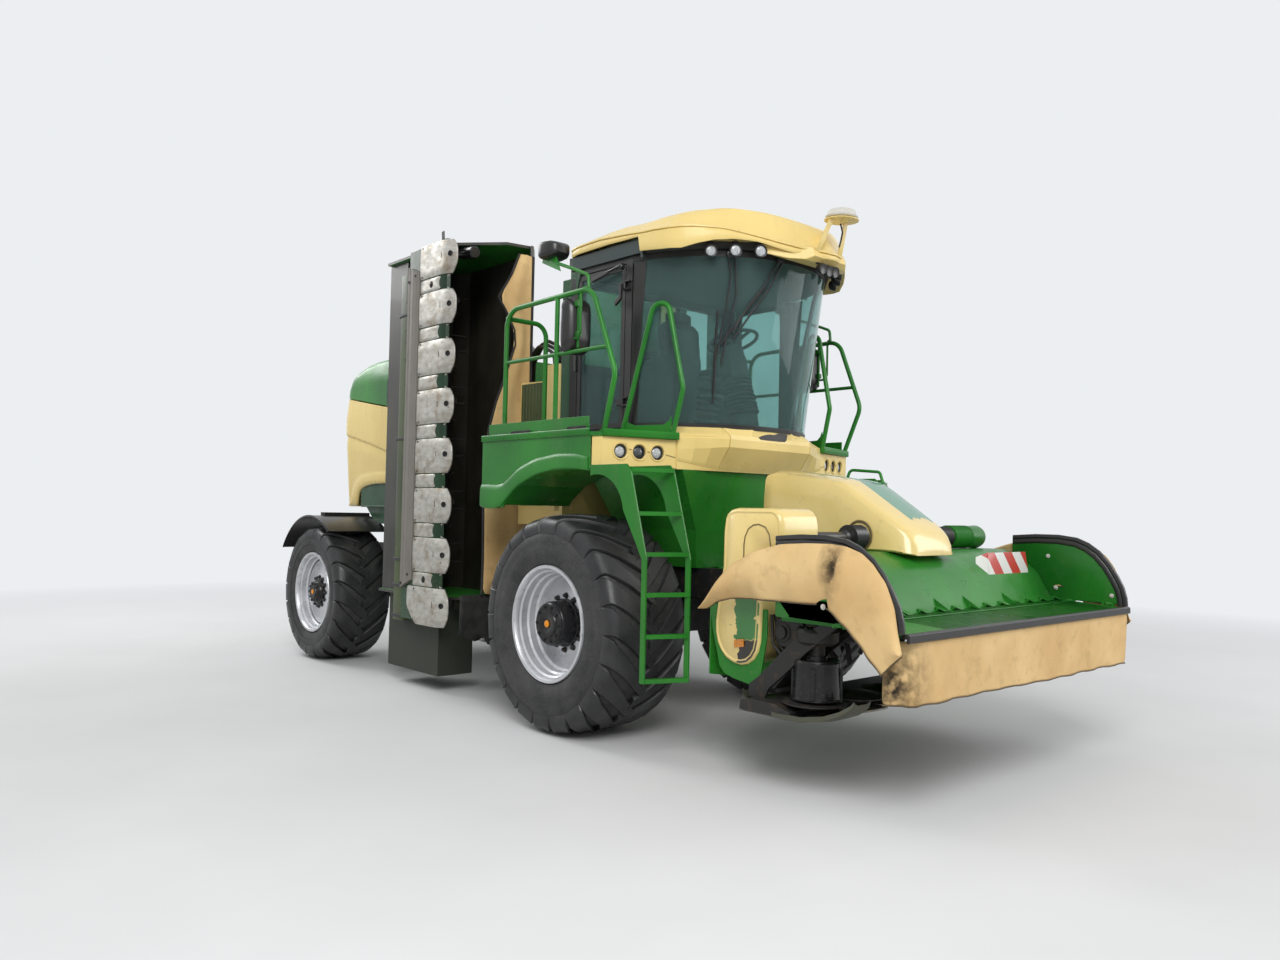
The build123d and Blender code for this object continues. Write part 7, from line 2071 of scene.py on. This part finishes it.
def make_hood_fittings():
    grille = Build()
    back = -4.990
    for k in range(15):
        z = 2.02 + k * 0.044
        grille.across(((-4.945, z), (back, z - 0.012), (back - 0.004, z - 0.006), (-4.945, z + 0.014)),
                      (-0.46, 0.46))
    for y in (-0.47, -0.16, 0.16, 0.47):
        grille.box((at(back - 0.006), y - 0.010, 1.99), (at(-4.94), y + 0.010, 2.68))
    for z in (1.985, 2.675):
        grille.box((at(back - 0.006), -0.48, z - 0.012), (at(-4.94), 0.48, z + 0.012))
    grille.piece("rear_grille", "gloss_rubber", bevel=0.002)
    lamps, amber, rims = Build(), Build(), Build()
    for side in (-1, 1):
        rims.box((at(-4.968), side * 0.36 - 0.120, 1.80), (at(-4.925), side * 0.36 + 0.120, 1.90))
        for y0, y1, build in ((-0.108, -0.006, lamps), (0.0, 0.050, amber), (0.056, 0.108, lamps)):
            build.box((at(-4.976), side * 0.36 + min(side * y0, side * y1), 1.812),
                      (at(-4.960), side * 0.36 + max(side * y0, side * y1), 1.888))
    rims.piece("tail_lamp_frames", "gloss_rubber", bevel=0.006)
    lamps.piece("tail_lamp_faces", "red_lens", bevel=0.005)
    amber.piece("tail_lamp_amber", "amber", bevel=0.005)
    # Dark louvres and a dark back panel: painted shade in the hood vents
    vents = Build()
    for side in (-1, 1):
        for k in range(9):
            z = 2.95 - k * 0.030
            vents.lengthwise(((0.824, z), (0.838, z - 0.014), (0.838, z - 0.010), (0.824, z + 0.004)),
                             (-3.75, -3.20), side)
        vents.across(((-3.79, 2.690), (-3.16, 2.690), (-3.16, 2.985), (-3.79, 2.985)), (0.809, 0.829), side)
    vents.piece("hood_vents", "painted_shade_green")
    roof_vents = Build()
    for k in range(12):
        x = -4.15 + k * 0.075
        roof_vents.across(((x, 3.248), (x + 0.045, 3.248), (x + 0.055, 3.262), (x + 0.048, 3.264)),
                          (-0.42, 0.42))
    roof_vents.box((at(-4.20), -0.45, 3.236), (at(-3.22), 0.45, 3.253))
    roof_vents.piece("hood_top_vents", "gloss_rubber")
    pipe = Build()
    pipe.tube(bent([(at(-3.06), 0.52, 3.18), (at(-3.06), 0.52, 3.36), (at(-3.18), 0.54, 3.44)], 0.07, 10),
              0.060, 24)
    pipe.turned((at(-3.06), 0.52, 3.238), (0, 0, 1), [(0, 0.062), (0.004, 0.085), (0.010, 0.085),
                                                      (0.014, 0.064)], 28)
    pipe.piece("exhaust_pipe", "worn_steel_dark_and_shade")
    plate = Build()
    for side in (-1, 1):
        plate.across(((-4.249, 1.623), (-3.704, 1.629), (-3.800, 1.440), (-4.020, 1.440)), (0.792, 0.802),
                     side)
        plate.box((at(-4.25), min(side * 0.70, side * 0.84), 1.615),
                  (at(-3.70), max(side * 0.70, side * 0.84), 1.632))
        plate.box((at(-4.40), min(side * 0.60, side * 0.79), 1.615),
                  (at(-3.0), max(side * 0.60, side * 0.79), 1.900))
    plate.piece("rear_gussets", "dark_green_paint", bevel=0.002)


def make_mid_body():
    tank, post, louvres = Build(), Build(), Build()
    for side in (-1, 1):
        tank.upright(((-0.905, 0.78), (-0.905, 0.885), (-0.880, 0.905), (-0.695, 0.905), (-0.665, 0.880),
                      (-0.615, 0.78)), (1.62, 1.64, 2.80, 2.83, 2.835), side)
        for k in range(7):
            x = -1.215 + k * 0.046
            louvres.upright(((x, 0.882), (x + 0.008, 0.894), (x + 0.030, 0.894), (x + 0.038, 0.882)),
                            (1.66, 1.67, 2.69, 2.70), side)
        post.upright(((-0.620, 0.78), (-0.635, 0.80), (-0.635, 0.90), (-0.615, 0.925), (-0.500, 0.925),
                      (-0.478, 0.905), (-0.478, 0.78)), (2.195, 2.21, 3.46, 3.50, 3.505), side)
        post.prism([(at(-0.50), side * 0.926, 3.42), (at(-0.50), side * 0.926, 3.16),
                    (at(-0.30), side * 0.960, 3.60), (at(-0.46), side * 0.960, 3.62)], (0, side * 0.008, 0))
    tank.piece("cream_tanks", "cream_paint", bevel=0.004)
    post.piece("cab_rear_posts", "dark_green_paint", bevel=0.004)
    louvres.piece("side_louvres", "olive_paint")
    hoses = Build()
    for side in (-1, 1):
        for k in range(3):
            dy = 0.035 * k
            line = [(at(-0.98), side * (0.70 - dy), 2.75), (at(-0.99), side * (0.72 - dy), 2.98 + 0.03 * k),
                    (at(-1.18), side * (0.74 - dy), 3.06 + 0.03 * k), (at(-1.40), side * (0.70 - dy), 2.94),
                    (at(-1.52), side * (0.62 - dy), 2.70)]
            hoses.tube(bent(line, 0.10, 8), 0.016, 10)
    hoses.piece("mid_hoses", "gloss_rubber")


def make_mudguard_lips():
    for name, side in SIDES:
        lips = Build()
        axle_x, axle_z = REAR_AXLE[0], REAR_AXLE[2]
        for y0, y1 in ((1.424, 1.436), (0.784, 0.772)):
            rings = []
            for k in range(47):
                a = math.radians(-36 + 92 * k / 46)
                ring = []
                for r, y in ((0.797, y0), (0.797, y1), (0.806, y1), (0.815, (y0 + y1) / 2), (0.815, y0),
                             (0.806, y0)):
                    ring.append((axle_x - math.sin(a) * r, side * y, axle_z + math.cos(a) * r))
                rings.append(ring)
            lips.rings(rings)
        lips.piece("mudguard_lips_" + name, "gloss_black", "knuckle_" + name)


def make_body():
    make_fenders()
    make_box_lamps()
    make_fascia()
    make_rear_hood()
    make_hood_fittings()
    make_mid_body()
    make_mudguard_lips()


# Studio and camera
CAMERA_PLACE = Vector((at(5.6635), -5.7088, 1.633))
CAMERA_YAW, CAMERA_PITCH, CAMERA_ROLL = math.radians(137.878), math.radians(1.835), math.radians(1.175)
CAMERA_FOCAL_PIXELS = 966.2
PHOTO_WIDTH = 1280
SENSOR = 36.0
BACKDROP = (0.84, 0.86, 0.88)


def make_camera():
    data = bpy.data.cameras.new("camera")
    data.sensor_width = SENSOR
    data.lens = CAMERA_FOCAL_PIXELS / PHOTO_WIDTH * SENSOR
    data.clip_end = 200
    camera = bpy.data.objects.new("camera", data)
    forward = Vector((math.cos(CAMERA_PITCH) * math.cos(CAMERA_YAW),
                      math.cos(CAMERA_PITCH) * math.sin(CAMERA_YAW), math.sin(CAMERA_PITCH)))
    level = Vector((math.sin(CAMERA_YAW), -math.cos(CAMERA_YAW), 0))
    above = level.cross(forward)
    right = level * math.cos(CAMERA_ROLL) + above * math.sin(CAMERA_ROLL)
    up = above * math.cos(CAMERA_ROLL) - level * math.sin(CAMERA_ROLL)
    turn = Matrix((right, up, -forward)).transposed().to_4x4()
    camera.matrix_world = Matrix.Translation(CAMERA_PLACE) @ turn
    bpy.context.collection.objects.link(camera)
    bpy.context.scene.camera = camera


def make_lamp(name, place, target, size, power):
    data = bpy.data.lights.new(name, "AREA")
    data.size = size
    data.energy = power
    lamp = bpy.data.objects.new(name, data)
    lamp.location = place
    lamp.rotation_euler = (Vector(target) - Vector(place)).to_track_quat("-Z", "Y").to_euler()
    bpy.context.collection.objects.link(lamp)


def make_floor():
    half = 60
    mesh = bpy.data.meshes.new("floor")
    mesh.from_pydata([(-half, -half, 0), (half, -half, 0), (half, half, 0), (-half, half, 0)], [],
                     [(0, 1, 2, 3)])
    floor = bpy.data.objects.new("floor", mesh)
    bpy.context.collection.objects.link(floor)
    shader = Shader("floor", roughness=1.0, specular=0.0)
    tone = shader.ramp(shader.noise(0.6, 3), (0.3, (0.66, 0.66, 0.66)), (0.7, (0.70, 0.70, 0.70)))
    away = shader.math("SQRT", shader.math(
        "ADD", shader.math("MULTIPLY", shader.axis("X"), shader.axis("X")),
        shader.math("MULTIPLY", shader.axis("Y"), shader.axis("Y"))))
    path = shader.node("ShaderNodeLightPath")
    shown = shader.math("MULTIPLY", shader.fade(away, 5.0, 14.0), path.outputs["Is Camera Ray"])
    shader.colour(shader.mix(shown, tone, (0.0, 0.0, 0.0)))
    shader.surface.inputs["Emission Color"].default_value = (*BACKDROP, 1)
    shader.feed(shader.surface.inputs["Emission Strength"], shown)
    mesh.materials.append(shader.material)


def make_world():
    world = bpy.data.worlds.new("studio")
    world.use_nodes = True
    bpy.context.scene.world = world
    tree = world.node_tree
    background = tree.nodes["Background"]
    background.inputs["Color"].default_value = (*BACKDROP, 1)
    path = tree.nodes.new("ShaderNodeLightPath")
    seen = tree.nodes.new("ShaderNodeMath")
    seen.operation = "MAXIMUM"
    tree.links.new(path.outputs["Is Camera Ray"], seen.inputs[0])
    tree.links.new(path.outputs["Is Transmission Ray"], seen.inputs[1])
    shown = tree.nodes.new("ShaderNodeMath")
    shown.operation = "MAXIMUM"
    tree.links.new(seen.outputs[0], shown.inputs[0])
    tree.links.new(path.outputs["Is Glossy Ray"], shown.inputs[1])
    strength = tree.nodes.new("ShaderNodeMapRange")
    strength.inputs["To Min"].default_value = 0.55
    strength.inputs["To Max"].default_value = 1.0
    tree.links.new(shown.outputs[0], strength.inputs["Value"])
    tree.links.new(strength.outputs["Result"], background.inputs["Strength"])


def make_studio():
    make_camera()
    make_floor()
    make_world()
    target = (0.0, 0.0, 1.6)
    make_lamp("key", (9.0, -8.0, 9.0), target, 6.0, 1050)
    make_lamp("fill", (9.0, 7.0, 5.0), target, 6.0, 420)
    make_lamp("back", (-9.0, -3.0, 8.0), target, 6.0, 560)
    bpy.context.scene.view_settings.view_transform = "Standard"


paint_cad_nodes()
make_wheels()
make_side_mowers()
make_front_mower()
make_cab()
make_body()
make_studio()
